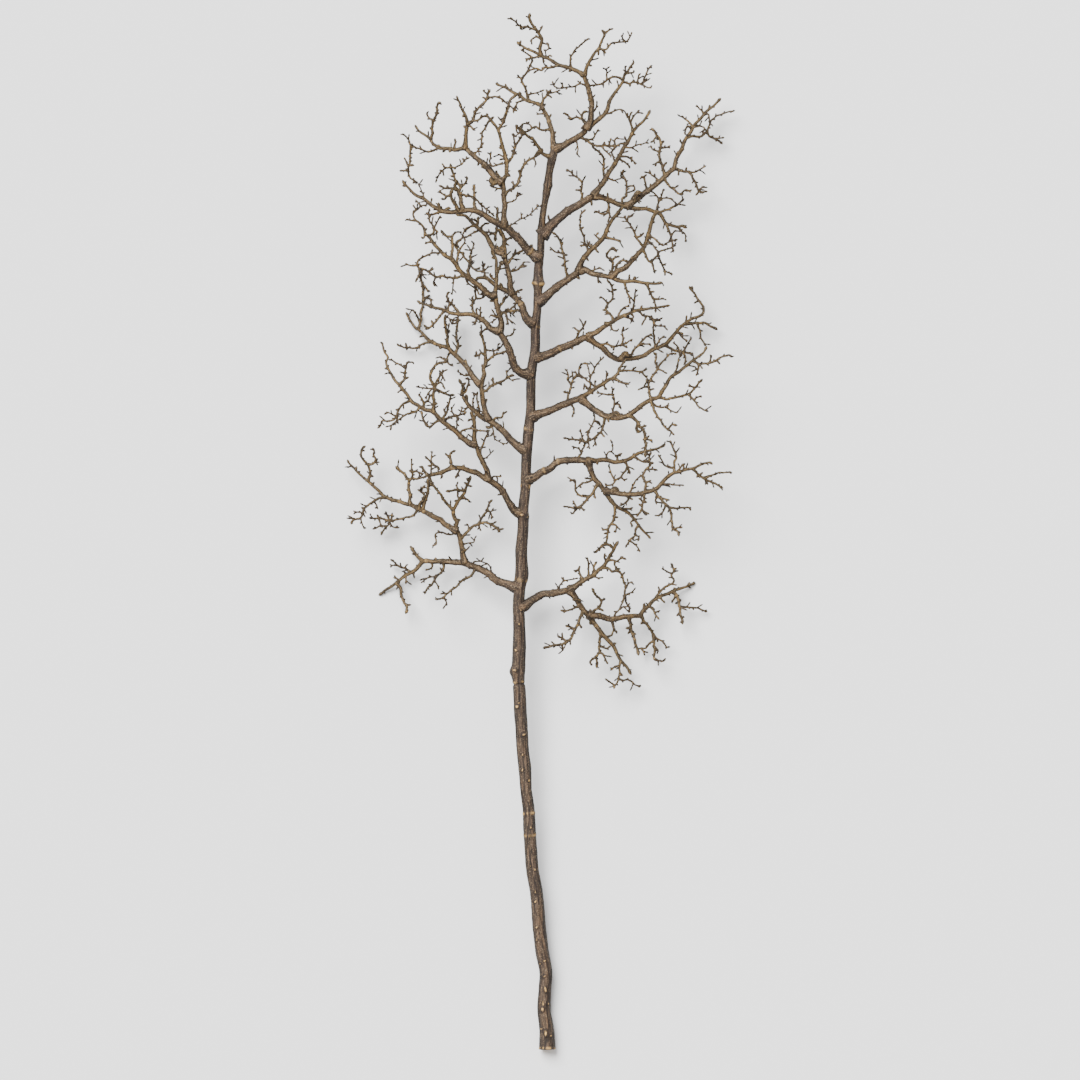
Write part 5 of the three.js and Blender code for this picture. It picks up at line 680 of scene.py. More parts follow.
            -173.5,1365.5, -180.5,1371, -188,1376, -192.5,1381, -196.5,1388],
        twigs=[
            [3.4, -70,1303, -79,1301, -84,1308],
            [3.0, -92,1326, -97,1322],
            [3.0, -92,1328, -90,1329],
            [1.3, -102,1332, -103,1325],
            [1.9, -173,1366, -170,1374, -171,1382, -169,1392, -164,1403, -163,1411, -161,1418, -157,1421],
            [1.4, -168,1393, -175,1398, -179,1406],
            [1.2, -168,1393, -164,1393],
            [1.2, -170,1381, -175,1383],
            [1.2, -164,1404, -159,1405],
            [2.4, -168,1358, -171,1356],
            [2.0, -161,1354, -160,1358],
            [1.6, -156,1352, -163,1351, -170,1348, -179,1347, -187,1350, -195,1353, -202,1353],
            [1.6, -202,1353, -203,1345, -204,1334, -205,1325, -207,1316, -204,1308, -198,1303, -193,1300],
            [1.4, -202,1353, -204,1361, -209,1368, -215,1374],
            [1.4, -204,1327, -197,1325],
            [1.3, -206,1324, -210,1334, -213,1338],
            [1.3, -207,1317, -213,1318, -220,1318],
            [1.2, -204,1337, -200,1338],
            [1.6, -137,1350, -136,1359, -136,1367],
            [1.7, -144,1350, -145,1345],
            [1.5, -150,1350, -156,1346],
            [1.3, -207,1319, -211,1321],
        ],
    ),
    dict(
        name='left_7_upper', parent='left_7', radii=[3.2, 1.2], heights=[116, 130],
        route=[-121,1352, -121,1359, -120.5,1368.5, -119.5,1377.5, -118,1385.5, -119,1394.5, -122,1402.5,
            -126,1410, -128,1417, -132,1424, -134.5,1430],
        twigs=[
            [1.9, -118,1387, -114,1391, -110,1393, -107,1402, -103,1409, -97,1416, -90,1422,
                -87,1430, -84,1440],
            [1.3, -106,1404, -108,1409],
            [1.2, -88,1424, -84,1426],
            [1.3, -89,1423, -92,1427, -96,1428],
            [1.2, -86,1432, -95,1438],
            [1.4, -87,1427, -80,1428, -70,1427, -63,1422, -55,1416, -48,1410, -43,1406],
            [1.2, -70,1427, -69,1431],
            [1.2, -48,1410, -48,1403],
            [1.1, -48,1411, -44,1417],
            [1.6, -118,1387, -111,1382, -105,1378],
            [1.4, -119,1382, -124,1386],
            [1.6, -120,1364, -117,1365],
            [1.4, -121,1402, -126,1398],
            [1.4, -127,1415, -131,1416],
        ],
    ),
    dict(
        name='right_1', parent='stem', radii=[5.4, 4.2], heights=[62],
        route=[-34,664, -29,667.5, -20.5,675, -12,680, -3.5,683.5, 7,684.5, 18,686, 26,687.5, 34.5,690],
        twigs=[
            [2.2, -23,674, -25,679],
            [4.2, -11,681, -9,684],
            [1.2, 14,687, 20,695, 27,703, 38,706, 49,708],
            [1.2, 27,703, 23,710],
        ],
    ),
    dict(
        name='right_1_upper', parent='right_1', radii=[3.8, 1.7], heights=[80, 100],
        route=[35,691, 43,695, 49,700, 56,704.5, 62,708, 68.5,711, 74,715, 79,719.5, 87.5,726.5, 92,735,
            96,743.5, 100.5,749, 103.5,756, 108.5,764],
        twigs=[
            [1.7, 55,706, 51,713, 48,720, 42,717],
            [1.3, 49,720, 51,727],
            [1.5, 63,710, 64,722, 63,731, 61,740],
            [1.7, 71,716, 72,724, 77,733],
            [1.3, 70,712, 77,708, 80,705],
            [1.4, 50,701, 55,696],
            [1.4, 56,706, 49,708],
            [1.8, 85,722, 93,722, 100,718, 106,720, 112,722],
            [1.6, 105,720, 113,714, 116,705, 119,695, 118,684, 120,673, 124,664, 124,655],
            [1.3, 119,693, 124,700, 131,702],
            [1.3, 118,682, 124,685, 132,686],
            [1.4, 119,682, 114,671, 110,661, 104,655, 102,651],
            [1.2, 110,661, 117,665, 127,666],
            [1.2, 118,714, 118,718],
            [1.6, 92,735, 100,735, 106,733, 113,738, 121,736],
            [1.4, 103,733, 103,729, 107,722],
            [1.2, 113,737, 116,741],
            [1.4, 91,733, 88,739, 88,746],
            [1.5, 101,750, 98,757, 88,759, 81,754, 74,746],
            [1.3, 99,748, 103,748],
        ],
    ),
    dict(
        name='right_1_lower', parent='right_1', radii=[4.0, 1.7], heights=[48, 36, 22],
        route=[36,689, 41,682.5, 47.5,674, 53.5,664.5, 60,656, 66.5,647.5, 75,637, 83.5,626, 92,615.5,
            100.5,606, 106.5,595.5, 113,583, 121.5,573.5, 125.5,567, 128,562],
        twigs=[
            [3.6, 43,676, 40,674],
            [2.4, 48,674, 52,677],
            [1.6, 50,666, 43,663, 36,660, 28,659, 21,660],
            [1.2, 28,659, 27,655],
            [2.0, 55,658, 51,648, 47,638, 42,629, 38,619, 31,612, 24,608, 14,607, 5,605, -5,603],
            [1.6, 43,631, 37,634, 28,636],
            [1.5, 31,612, 26,617, 16,621],
            [1.2, 24,617, 24,627],
            [1.2, 24,608, 26,599],
            [1.2, 36,616, 37,607],
            [1.1, 14,607, 7,613],
            [1.4, 49,640, 54,632],
            [1.9, 81,626, 81,615, 80,604, 80,597, 76,590, 76,582, 76,572],
            [1.5, 80,597, 86,592, 90,584, 93,578],
            [1.5, 77,590, 69,586, 65,580],
            [1.2, 76,580, 79,578],
            [1.4, 81,606, 90,603, 98,606],
            [1.5, 90,618, 97,621, 102,628, 106,628, 107,624],
            [1.4, 103,628, 101,637, 99,643],
            [1.4, 101,608, 106,610],
            [1.6, 113,583, 110,577, 110,568, 109,557, 104,547, 102,541],
            [1.4, 109,577, 102,574, 96,569],
            [1.4, 110,565, 116,561],
            [1.4, 104,546, 96,551, 88,557],
            [1.4, 109,556, 116,554, 124,555, 131,550, 142,544],
            [1.6, 78,634, 78,629],
            [1.6, 66,646, 66,637],
        ],
    ),
    dict(
        name='right_1_outer', parent='right_1_lower', radii=[4.2, 1.5], heights=[36, 26, 2],
        route=[62,652, 69,651, 75,651, 85.5,649.5, 96,646.5, 106.5,647.5, 119.5,649.5, 132,651, 140.5,652,
            145,658, 153,664.5, 161.5,674, 170,679, 180.5,683.5, 193.5,689.5, 206,694, 216.5,697.5,
                225,701],
        twigs=[
            [1.9, 66,656, 74,660, 80,664, 83,672, 78,679, 74,684, 71,690, 68,693],
            [1.3, 83,674, 90,677],
            [1.4, 80,662, 87,658],
            [1.6, 68,655, 66,662],
            [2.2, 80,652, 83,656],
            [1.4, 98,645, 101,636, 103,630],
            [2.3, 124,650, 126,640, 127,630, 131,620, 134,609, 137,600, 138,591],
            [1.5, 125,633, 119,632],
            [1.4, 129,624, 136,624],
            [1.3, 127,630, 122,624],
            [2.2, 142,651, 147,643, 154,635, 160,626, 164,619],
            [1.9, 161,622, 162,611, 163,600, 163,588, 166,583],
            [1.5, 164,605, 170,598],
            [1.4, 163,586, 170,584, 176,584, 180,588],
            [1.4, 165,619, 172,614, 178,610, 182,604, 187,604],
            [1.4, 161,613, 155,609, 150,603, 142,602, 137,601],
            [1.3, 143,602, 149,591],
            [1.8, 157,634, 156,631],
            [1.5, 144,641, 141,639],
            [1.6, 148,659, 148,671],
            [1.5, 156,664, 163,661],
            [1.4, 158,662, 163,656, 170,645],
            [1.2, 163,656, 172,659],
            [1.7, 166,677, 171,688, 178,694, 187,698, 192,704, 189,712, 192,720, 187,731],
            [1.2, 192,720, 197,723],
            [1.2, 190,713, 182,718, 173,722],
            [1.3, 170,689, 169,696],
            [1.4, 172,677, 179,670],
            [2.2, 189,688, 195,682, 199,674, 201,664, 201,654, 204,645, 206,638],
            [1.4, 195,682, 188,671],
            [1.4, 199,674, 204,675],
            [1.5, 202,665, 210,664, 222,664, 234,660, 243,657],
            [1.1, 216,664, 216,661],
            [1.3, 201,656, 195,651],
            [1.6, 215,697, 216,702],
            [1.8, 194,690, 192,694],
        ],
    ),
    dict(
        name='right_2', parent='stem', radii=[5.2, 3.9], heights=[80],
        route=[-27,854, -18,860, -5,867, 5,872, 15,880, 25,884, 40,885, 55,884, 63,883],
        twigs=[
            [1.5, 47,886, 53,896, 57,906, 58,912],
            [1.2, 53,896, 47,903, 38,906],
        ],
    ),
    dict(
        name='right_2_upper', parent='right_2', radii=[3.4, 1.5], heights=[70, 58],
        route=[60,884, 75,885, 90,885, 105,882, 118,884, 130,890, 142,896, 155,899, 168,902, 180,908],
        twigs=[
            [1.5, 131,890, 141,884, 152,881, 162,880],
            [1.7, 118,883, 122,874, 126,863],
            [1.5, 122,874, 117,866, 111,858, 105,855, 100,849, 88,847],
            [1.3, 103,854, 98,865, 93,877],
            [1.2, 112,860, 119,853],
            [1.1, 90,886, 93,895, 99,900, 100,908, 96,916],
            [1.5, 108,883, 107,890, 115,895],
            [1.3, 107,890, 102,893],
            [1.3, 130,890, 133,896],
            [1.4, 77,884, 77,877],
        ],
    ),
    dict(
        name='right_2_lower', parent='right_2', radii=[4.0, 1.3], heights=[70, 50],
        route=[62,880, 67,870, 73,858, 80,848, 87,838, 95,827, 103,818, 112,812, 122,806, 132,796, 140,786,
            150,775, 157,766],
        twigs=[
            [2.0, 78,849, 70,836, 62,827, 54,817, 44,811],
            [1.3, 45,812, 40,803],
            [1.4, 45,812, 32,815, 25,816],
            [1.3, 46,813, 40,825],
            [1.4, 50,815, 58,808],
            [1.5, 64,830, 50,832, 44,841, 43,855, 34,853],
            [1.3, 71,837, 74,826],
            [1.5, 72,858, 62,851, 53,850, 51,845, 54,843],
            [1.3, 70,857, 63,857, 57,858],
            [1.8, 104,817, 103,802, 99,790, 93,783, 92,770, 88,758, 80,752, 73,745],
            [1.3, 102,799, 109,799],
            [1.4, 99,788, 105,787, 104,775],
            [1.4, 93,781, 83,780],
            [1.2, 92,775, 86,775],
            [1.4, 88,758, 95,757, 100,753],
            [1.3, 132,797, 127,790, 130,787],
            [1.5, 140,787, 134,780, 133,773, 126,764, 119,753],
            [1.3, 133,773, 139,768, 137,763],
            [1.3, 126,764, 133,758, 142,747],
            [1.4, 114,811, 125,812, 131,814],
        ],
    ),
    dict(
        name='right_2_outer', parent='right_2_lower', radii=[3.8, 1.4], heights=[100, 112, 120],
        route=[88,838, 98,837, 110,834, 125,833, 140,835, 155,838, 163,841, 172,849, 182,860, 192,866,
            203,868, 218,872, 230,877, 240,880, 246,881, 250,878],
        twigs=[
            [3.0, 99,837, 104,841, 110,839],
            [1.8, 219,872, 227,864, 237,857, 246,853, 256,848, 266,843],
            [1.5, 237,857, 252,863, 262,866, 278,867],
            [1.3, 228,863, 225,858],
            [1.3, 230,862, 235,867],
            [1.3, 240,856, 242,847],
            [2.0, 162,840, 170,829, 177,821, 184,813, 187,802, 189,790, 191,781, 196,778, 199,770],
            [1.5, 184,813, 195,812, 208,814, 215,812, 216,808],
            [1.4, 179,818, 175,808, 169,800],
            [1.4, 171,827, 180,826, 186,825],
            [1.3, 168,831, 164,824, 166,818],
            [1.4, 191,781, 198,783, 205,784],
            [1.7, 148,836, 146,822, 142,810, 136,799],
            [1.4, 142,810, 148,807, 155,803],
            [1.3, 146,822, 152,822],
            [1.3, 144,816, 138,819],
            [1.2, 145,822, 138,828],
            [1.5, 121,833, 123,825, 117,820, 110,816],
            [1.3, 123,830, 131,826],
            [1.7, 149,837, 149,851, 145,861, 149,871, 156,877, 155,886, 157,898],
            [1.4, 149,851, 158,855],
            [1.3, 125,833, 131,849, 138,858, 144,862],
            [1.3, 150,872, 160,871, 168,870],
            [1.3, 156,880, 162,881],
            [1.7, 192,866, 192,880, 195,890, 191,903, 186,915],
            [1.4, 192,873, 180,875, 172,886, 167,893],
            [1.4, 197,867, 205,880],
            [1.3, 205,879, 208,870],
            [1.3, 173,850, 190,848, 207,846],
        ],
    ),
    dict(
        name='right_3', parent='stem', radii=[5.4, 4.1], heights=[90],
        route=[-20,948, -10,953, 5,959, 20,966, 35,971, 48,976, 53,977],
        twigs=[
            [1.4, 35,971, 42,961, 39,948],
            [1.6, 32,970, 34,984, 38,997, 42,1007, 49,1013],
            [1.3, 42,1008, 45,1014, 43,1019],
            [1.4, 49,1013, 59,1006, 68,1000, 73,995],
            [1.2, 49,1013, 51,1026, 59,1030, 64,1018, 67,1009],
            [1.3, 38,999, 32,1006, 34,1012, 28,1022],
            [1.3, 34,986, 25,988],
        ],
    ),
    dict(
        name='right_3_upper', parent='right_3', radii=[3.2, 2.1], heights=[110, 128],
        route=[51,977, 62,984, 75,993, 88,1000, 98,1006, 103,1006],
        twigs=[
            [1.7, 103,1006, 113,1001, 122,999, 125,998],
            [2.0, 100,1006, 106,1012, 110,1022, 116,1032, 119,1036],
            [1.5, 109,1019, 128,1018, 142,1017, 152,1021],
            [1.3, 143,1017, 151,1008, 155,1003],
            [1.3, 66,987, 67,1007, 72,1020, 79,1031, 87,1040],
            [1.4, 66,987, 57,997, 56,989],
            [1.3, 89,1001, 91,1012, 92,1017],
            [1.3, 86,999, 91,989],
            [1.4, 68,988, 71,983],
            [1.3, 73,992, 74,1005],
        ],
    ),
    dict(
        name='right_3_outer', parent='right_3', radii=[4.3, 1.4], heights=[112, 122, 134, 150],
        route=[53,976, 62,968, 75,959, 88,951, 98,948, 110,948, 122,951, 132,958, 145,967, 158,975, 168,979,
            174,989, 181,999, 188,1010, 200,1017, 210,1025, 220,1033, 230,1040, 236,1045, 241,1055],
        twigs=[
            [3.2, 96,949, 104,954, 112,950],
            [1.8, 168,979, 180,976, 192,978, 203,981, 213,983, 220,990, 228,998, 234,1007],
            [1.5, 213,983, 222,974, 228,964, 233,961, 244,958],
            [1.3, 221,975, 233,982],
            [1.3, 223,993, 212,996],
            [1.6, 155,973, 170,964, 185,966],
            [1.2, 180,965, 190,957, 198,956],
            [1.8, 157,974, 165,953, 172,943, 178,934, 181,932, 190,938, 197,936],
            [1.4, 181,932, 193,922],
            [2.3, 124,952, 133,945, 140,936, 146,928, 148,918, 149,905, 149,888],
            [2.2, 138,938, 136,929, 142,926],
            [1.3, 142,934, 151,937],
            [1.4, 148,917, 160,914],
            [1.3, 149,915, 155,922],
            [1.7, 220,1033, 227,1029, 238,1029, 248,1031, 255,1034, 263,1039, 275,1041, 279,1038],
            [1.4, 228,1029, 227,1017, 224,1010],
            [1.4, 245,1030, 248,1041],
            [1.3, 255,1034, 260,1027],
            [1.2, 229,1029, 234,1020],
            [1.7, 157,975, 154,992, 155,1003, 161,1013, 166,1022, 164,1032, 164,1042, 160,1046],
            [1.4, 166,1022, 177,1034, 187,1044, 196,1043],
            [1.2, 165,1021, 170,1020, 182,1014],
            [1.3, 154,994, 145,994, 137,989],
            [1.3, 155,989, 163,991],
            [1.2, 156,1004, 164,1001],
            [1.4, 191,1012, 197,1024, 198,1034, 204,1043],
            [1.5, 97,949, 102,966, 102,978, 100,986, 103,993],
            [1.3, 101,983, 88,983, 75,986],
            [1.3, 102,969, 110,967, 112,960],
            [1.8, 88,951, 86,938, 82,927, 73,919, 62,913, 57,911],
            [1.5, 60,912, 50,914, 40,916, 25,918],
            [1.4, 63,914, 64,927, 69,938, 73,946, 71,957],
            [1.2, 65,928, 58,926],
            [1.3, 57,912, 53,922, 52,932],
            [1.2, 52,914, 49,908],
            [1.2, 62,913, 65,907, 60,903],
            [1.4, 73,919, 75,905],
            [1.3, 82,927, 89,919],
            [1.3, 72,944, 80,940, 79,936],
            [1.4, 91,950, 95,941],
        ],
    ),
    dict(
        name='right_4', parent='stem', radii=[5.4, 4.3], heights=[74],
        route=[-14,1036, -3,1041, 10,1046, 25,1053, 40,1060, 52,1066, 62,1070],
        twigs=[
            [1.6, 45,1062, 49,1075, 55,1084, 61,1094],
            [1.3, 50,1077, 41,1084],
            [1.4, 38,1059, 40,1050],
        ],
    ),
    dict(
        name='right_4_upper', parent='right_4', radii=[3.6, 1.3], heights=[86, 95],
        route=[62,1071, 75,1077, 88,1085, 100,1093, 112,1099, 122,1104, 132,1108, 145,1110, 160,1112,
            175,1114, 186,1117],
        twigs=[
            [2.0, 92,1088, 88,1093],
            [1.7, 102,1094, 96,1103, 90,1110, 93,1119, 99,1127, 100,1138, 97,1148, 91,1156],
            [1.3, 100,1140, 107,1141],
            [1.2, 91,1110, 84,1111],
            [1.3, 93,1120, 85,1127, 80,1130],
            [1.4, 108,1097, 112,1108, 118,1114, 126,1116],
            [1.4, 129,1107, 131,1118, 133,1130, 134,1137, 138,1140],
            [1.4, 96,1090, 101,1080, 108,1078],
            [1.4, 116,1101, 126,1096, 132,1091],
            [1.3, 127,1106, 130,1098, 124,1097],
            [1.4, 137,1109, 147,1101, 155,1100, 160,1096],
            [1.3, 150,1101, 147,1094, 143,1086],
            [1.3, 159,1097, 168,1094, 175,1099],
            [1.3, 160,1096, 163,1088, 170,1086, 180,1085],
            [1.3, 142,1110, 145,1117],
        ],
    ),
    dict(
        name='right_4_outer', parent='right_4', radii=[4.0, 1.3], heights=[56, 42, 32, 25],
        route=[63,1069, 75,1060, 85,1053, 97,1042, 107,1036, 118,1037, 135,1038, 148,1042, 160,1050,
            172,1055, 180,1060, 187,1068, 195,1077, 202,1085, 210,1091, 220,1097, 230,1101,
                236,1106, 237,1115,
            233,1121, 228,1127, 223,1135, 217,1141, 215,1147],
        twigs=[
            [3.4, 112,1037, 118,1044, 125,1040],
            [2.0, 208,1089, 220,1090, 230,1091, 237,1091, 246,1087, 253,1083, 258,1080],
            [1.5, 228,1091, 231,1078, 232,1068, 237,1061, 241,1056],
            [1.8, 178,1059, 190,1051, 200,1048, 210,1046, 220,1045],
            [1.4, 206,1047, 209,1038, 208,1028],
            [1.4, 207,1047, 213,1060, 219,1069],
            [1.5, 195,1077, 207,1074],
            [1.4, 199,1075, 206,1068, 213,1063],
            [1.3, 201,1048, 196,1057, 190,1062],
            [1.7, 125,1038, 134,1052, 144,1064, 152,1071, 160,1074],
            [1.3, 140,1059, 158,1059],
            [1.4, 164,1052, 170,1065, 178,1072],
            [1.5, 164,1052, 162,1073, 161,1086, 160,1096, 157,1103],
            [1.6, 80,1057, 92,1059, 102,1055, 113,1058, 123,1053],
            [1.4, 114,1057, 116,1068, 114,1075, 117,1083],
            [1.3, 115,1058, 120,1060, 130,1067],
            [1.3, 101,1055, 101,1048],
            [1.3, 217,1141, 220,1147],
            [1.3, 229,1125, 222,1120],
            [1.4, 211,1092, 211,1103],
        ],
    ),
    dict(
        name='right_5', parent='stem', radii=[5.2, 3.8], heights=[100],
        route=[-12,1122, -3,1128, 8,1137, 20,1146, 33,1156, 43,1163, 50,1168],
        twigs=[
            [1.8, 32,1156, 29,1175, 27,1190, 24,1203, 21,1214, 16,1222, 9,1226],
            [1.3, 26,1194, 15,1196, 5,1204],
            [1.3, 23,1207, 26,1212],
            [1.3, 29,1177, 22,1176],
            [1.3, 27,1192, 33,1191],
            [1.6, 44,1163, 51,1155],
        ],
    ),
    dict(
        name='right_5_upper', parent='right_5', radii=[3.4, 1.8], heights=[128, 150],
        route=[48,1169, 52,1180, 63,1195, 77,1208, 87,1219, 91,1230, 98,1243, 107,1254, 116,1263],
        twigs=[
            [1.8, 87,1218, 100,1215, 113,1212],
            [1.4, 82,1213, 75,1220, 79,1226],
            [1.4, 73,1204, 79,1194],
            [1.5, 72,1203, 62,1206, 50,1206],
            [1.3, 63,1206, 65,1213],
            [1.3, 60,1190, 64,1182],
            [1.5, 64,1196, 60,1207, 56,1219, 52,1230, 51,1242, 52,1250, 60,1260],
            [1.2, 52,1230, 57,1234],
        ],
    ),
    dict(
        name='right_5_lower', parent='right_5', radii=[3.6, 1.4], heights=[112, 124, 130],
        route=[50,1167, 58,1169, 68,1164, 80,1162, 92,1159, 100,1158, 105,1155, 117,1152, 130,1153,
            150,1149, 165,1148, 175,1150],
        twigs=[
            [1.8, 94,1159, 99,1173, 99,1182, 91,1190, 95,1198, 100,1202, 106,1195],
            [1.4, 98,1183, 104,1188, 111,1189],
            [1.6, 118,1152, 120,1140, 124,1130, 126,1117],
            [1.6, 151,1149, 155,1137, 160,1127, 164,1117, 164,1105],
            [1.3, 155,1136, 163,1136],
            [1.4, 161,1125, 170,1126, 176,1128],
            [1.4, 125,1153, 125,1163],
            [1.3, 131,1153, 133,1160],
            [1.3, 78,1162, 78,1152, 80,1149],
            [1.3, 66,1165, 70,1169, 82,1173],
        ],
    ),
    dict(
        name='right_5_outer', parent='right_5_lower', radii=[3.4, 2.0], heights=[138, 160],
        route=[98,1160, 108,1167, 118,1173, 130,1184, 138,1193, 145,1202, 150,1213, 154,1227, 158,1242,
            166,1254, 170,1257],
        twigs=[
            [1.9, 104,1165, 107,1177, 114,1183, 124,1182],
            [2.8, 130,1185, 128,1190],
            [1.7, 144,1200, 150,1190, 152,1183, 158,1180, 161,1172, 163,1163],
            [1.5, 156,1181, 167,1189, 173,1180, 178,1168, 190,1162],
            [1.3, 178,1168, 177,1160],
            [1.3, 167,1189, 170,1197, 180,1200, 195,1206],
            [1.4, 150,1212, 158,1209, 163,1201, 169,1195],
            [1.6, 146,1204, 140,1210, 134,1219, 131,1228, 127,1234, 121,1243, 116,1250],
            [1.3, 121,1243, 125,1251],
            [1.3, 135,1218, 142,1219, 147,1225],
            [1.3, 158,1241, 163,1239],
            [1.4, 153,1222, 165,1213, 174,1206, 185,1211, 197,1215],
            [1.3, 154,1224, 157,1213],
        ],
    ),
    dict(
        name='right_6', parent='stem', radii=[5.7, 4.0], heights=[86],
        route=[-7,1220, 3,1232, 12,1240, 25,1252, 40,1262, 55,1270, 68,1278, 71,1280],
        twigs=[
            [1.6, 54,1270, 53,1290, 52,1304, 48,1308, 40,1312, 36,1317, 30,1321],
            [1.3, 53,1289, 43,1289],
            [1.5, 66,1277, 69,1265],
        ],
    ),
    dict(
        name='right_6_upper', parent='right_6', radii=[3.4, 1.4], heights=[70, 60],
        route=[71,1281, 78,1290, 85,1300, 92,1312, 100,1325, 108,1337, 114,1347, 119,1357, 125,1367,
            131,1378, 138,1386, 146,1394, 152,1403, 156,1411],
        twigs=[
            [2.3, 82,1296, 80,1300],
            [2.3, 84,1299, 88,1297],
            [1.7, 89,1307, 86,1320, 87,1330, 85,1340, 80,1347, 73,1352, 69,1357],
            [1.4, 108,1337, 119,1331, 124,1327, 126,1322],
            [1.5, 110,1341, 124,1338, 130,1334, 134,1327],
            [1.3, 127,1336, 130,1340],
            [1.6, 131,1378, 127,1390, 123,1400, 119,1403],
            [1.3, 124,1398, 128,1407],
            [1.4, 127,1391, 131,1401, 138,1408, 141,1410],
            [1.3, 122,1362, 117,1371],
            [1.3, 129,1374, 135,1373],
            [1.2, 117,1354, 127,1353, 140,1358, 155,1360],
            [1.2, 90,1309, 97,1305, 107,1305, 116,1311],
        ],
    ),
    dict(
        name='right_6_middle', parent='right_6', radii=[3.3, 1.5], heights=[72, 58, 40],
        route=[72,1280, 80,1279, 92,1275, 105,1270, 117,1266, 125,1264, 138,1262, 150,1262, 160,1259,
            168,1256, 172,1254, 176,1247, 180,1240, 188,1237, 197,1235, 205,1237, 212,1233],
        twigs=[
            [1.4, 93,1275, 93,1286],
            [1.6, 93,1275, 93,1262, 92,1255, 85,1254, 76,1257, 72,1259],
            [1.4, 93,1262, 96,1252, 92,1240],
            [1.6, 113,1268, 115,1277, 120,1281, 121,1292, 121,1302, 117,1310, 115,1316, 118,1321],
            [1.3, 121,1293, 127,1296, 132,1295, 132,1288],
            [1.7, 167,1256, 175,1258, 183,1261, 191,1265, 196,1267, 203,1273, 208,1277],
            [1.4, 166,1257, 169,1270, 172,1275, 180,1278, 190,1277],
            [1.3, 171,1274, 174,1284, 177,1291],
            [1.3, 170,1272, 165,1283, 157,1288],
            [1.6, 181,1239, 184,1228, 188,1218, 190,1208, 191,1196],
            [1.3, 197,1235, 202,1229, 208,1224, 211,1212],
            [1.3, 187,1221, 195,1230],
        ],
    ),
    dict(
        name='right_6_outer', parent='right_6_middle', radii=[3.6, 1.4], heights=[64, 54, 42, 30],
        route=[119,1266, 130,1271, 142,1281, 155,1290, 167,1299, 178,1309, 186,1317, 192,1322, 194,1330,
            199,1343, 205,1356, 211,1368, 218,1378, 222,1386, 230,1396, 237,1404, 245,1412, 254,1420,
            258,1424, 263,1429],
        twigs=[
            [3.0, 131,1273, 137,1285, 144,1286],
            [2.4, 200,1345, 196,1348],
            [2.2, 203,1352, 208,1351],
            [1.8, 211,1369, 220,1371, 228,1370, 236,1373, 241,1377, 246,1371, 253,1367, 260,1364, 266,1360],
            [1.3, 253,1367, 262,1369, 268,1370],
            [1.4, 241,1377, 245,1387, 250,1397, 256,1401, 269,1406, 284,1410],
            [1.3, 222,1385, 231,1386, 236,1384, 240,1378],
            [1.3, 237,1404, 243,1404, 245,1398, 244,1391],
            [1.3, 245,1412, 246,1419],
            [1.3, 237,1404, 231,1412, 226,1419],
            [1.5, 220,1385, 214,1393, 208,1398, 204,1403],
            [1.4, 219,1381, 212,1386, 209,1380, 208,1373],
            [2.0, 179,1310, 175,1324, 171,1335, 170,1346, 173,1357, 170,1368, 166,1373, 158,1384],
            [1.4, 175,1324, 182,1332],
            [1.4, 171,1333, 166,1330, 163,1325],
            [1.3, 170,1347, 162,1350, 156,1357],
            [1.4, 172,1353, 180,1354, 187,1357],
            [1.3, 173,1358, 178,1364],
            [1.3, 167,1372, 162,1365, 156,1361],
            [1.4, 169,1301, 164,1309, 157,1314, 156,1321],
            [1.5, 153,1289, 149,1300, 146,1309, 142,1311],
            [1.2, 146,1308, 151,1314],
            [1.3, 158,1292, 156,1300],
            [1.7, 178,1308, 185,1296, 193,1291, 202,1283, 207,1284],
            [1.3, 191,1292, 199,1298],
            [1.3, 202,1283, 210,1290, 218,1287],
            [1.9, 192,1322, 200,1320, 208,1318, 214,1318, 218,1312, 222,1305, 226,1296, 229,1290, 233,1286],
            [1.3, 229,1290, 236,1297],
            [1.3, 233,1286, 243,1288],
            [1.3, 230,1288, 224,1282],
            [1.3, 214,1318, 222,1317, 230,1320, 241,1326],
            [1.3, 210,1318, 211,1325],
            [1.3, 200,1320, 199,1311],
        ],
    ),
    dict(
        name='top_left', parent='stem', radii=[3.6, 1.5], heights=[84, 60],
        route=[13,1348, 11,1362, 8,1378, 4,1393, -2,1405, -7,1415, -18,1420, -29,1424, -40,1431, -50,1437,
            -60,1443, -70,1447, -76,1451],
        twigs=[
            [4.6, -6,1413, -9,1416],
            [1.8, -7,1415, -4,1424, 1,1431, 3,1437],
            [1.3, 2,1433, 9,1427],
            [1.2, 3,1436, 0,1441],
            [1.2, 3,1436, 8,1441],
            [1.2, 2,1434, 15,1437, 22,1440],
            [1.7, -26,1423, -31,1443, -36,1455, -30,1465, -24,1475, -20,1486],
            [1.3, -36,1455, -40,1459, -43,1463],
            [1.2, -28,1431, -19,1435, -10,1436, -2,1440],
            [1.7, -45,1434, -53,1425, -56,1415, -60,1400, -65,1388, -72,1379],
            [1.4, -33,1426, -43,1420, -46,1413, -48,1409],
            [1.7, -40,1431, -39,1438],
            [1.4, -57,1441, -61,1450],
            [1.3, 2,1396, 8,1404],
            [1.2, -2,1404, -15,1403],
            [1.3, 9,1371, 15,1378],
            [1.5, 8,1380, -8,1380, -16,1384, -22,1381, -30,1377, -38,1378, -44,1388],
            [1.2, -21,1382, -25,1387, -37,1387, -39,1384],
        ],
    ),
    dict(
        name='upper_left_spur', parent='stem', radii=[2.6, 1.4], heights=[112, 126],
        route=[7,1338, 0,1341, -6,1345, -10,1352, -15,1358, -20,1364, -26,1368, -32,1374, -37,1379,
            -41,1383],
        twigs=[
            [1.6, -6,1346, -5,1352],
            [1.5, -7,1347, -14,1340, -20,1335],
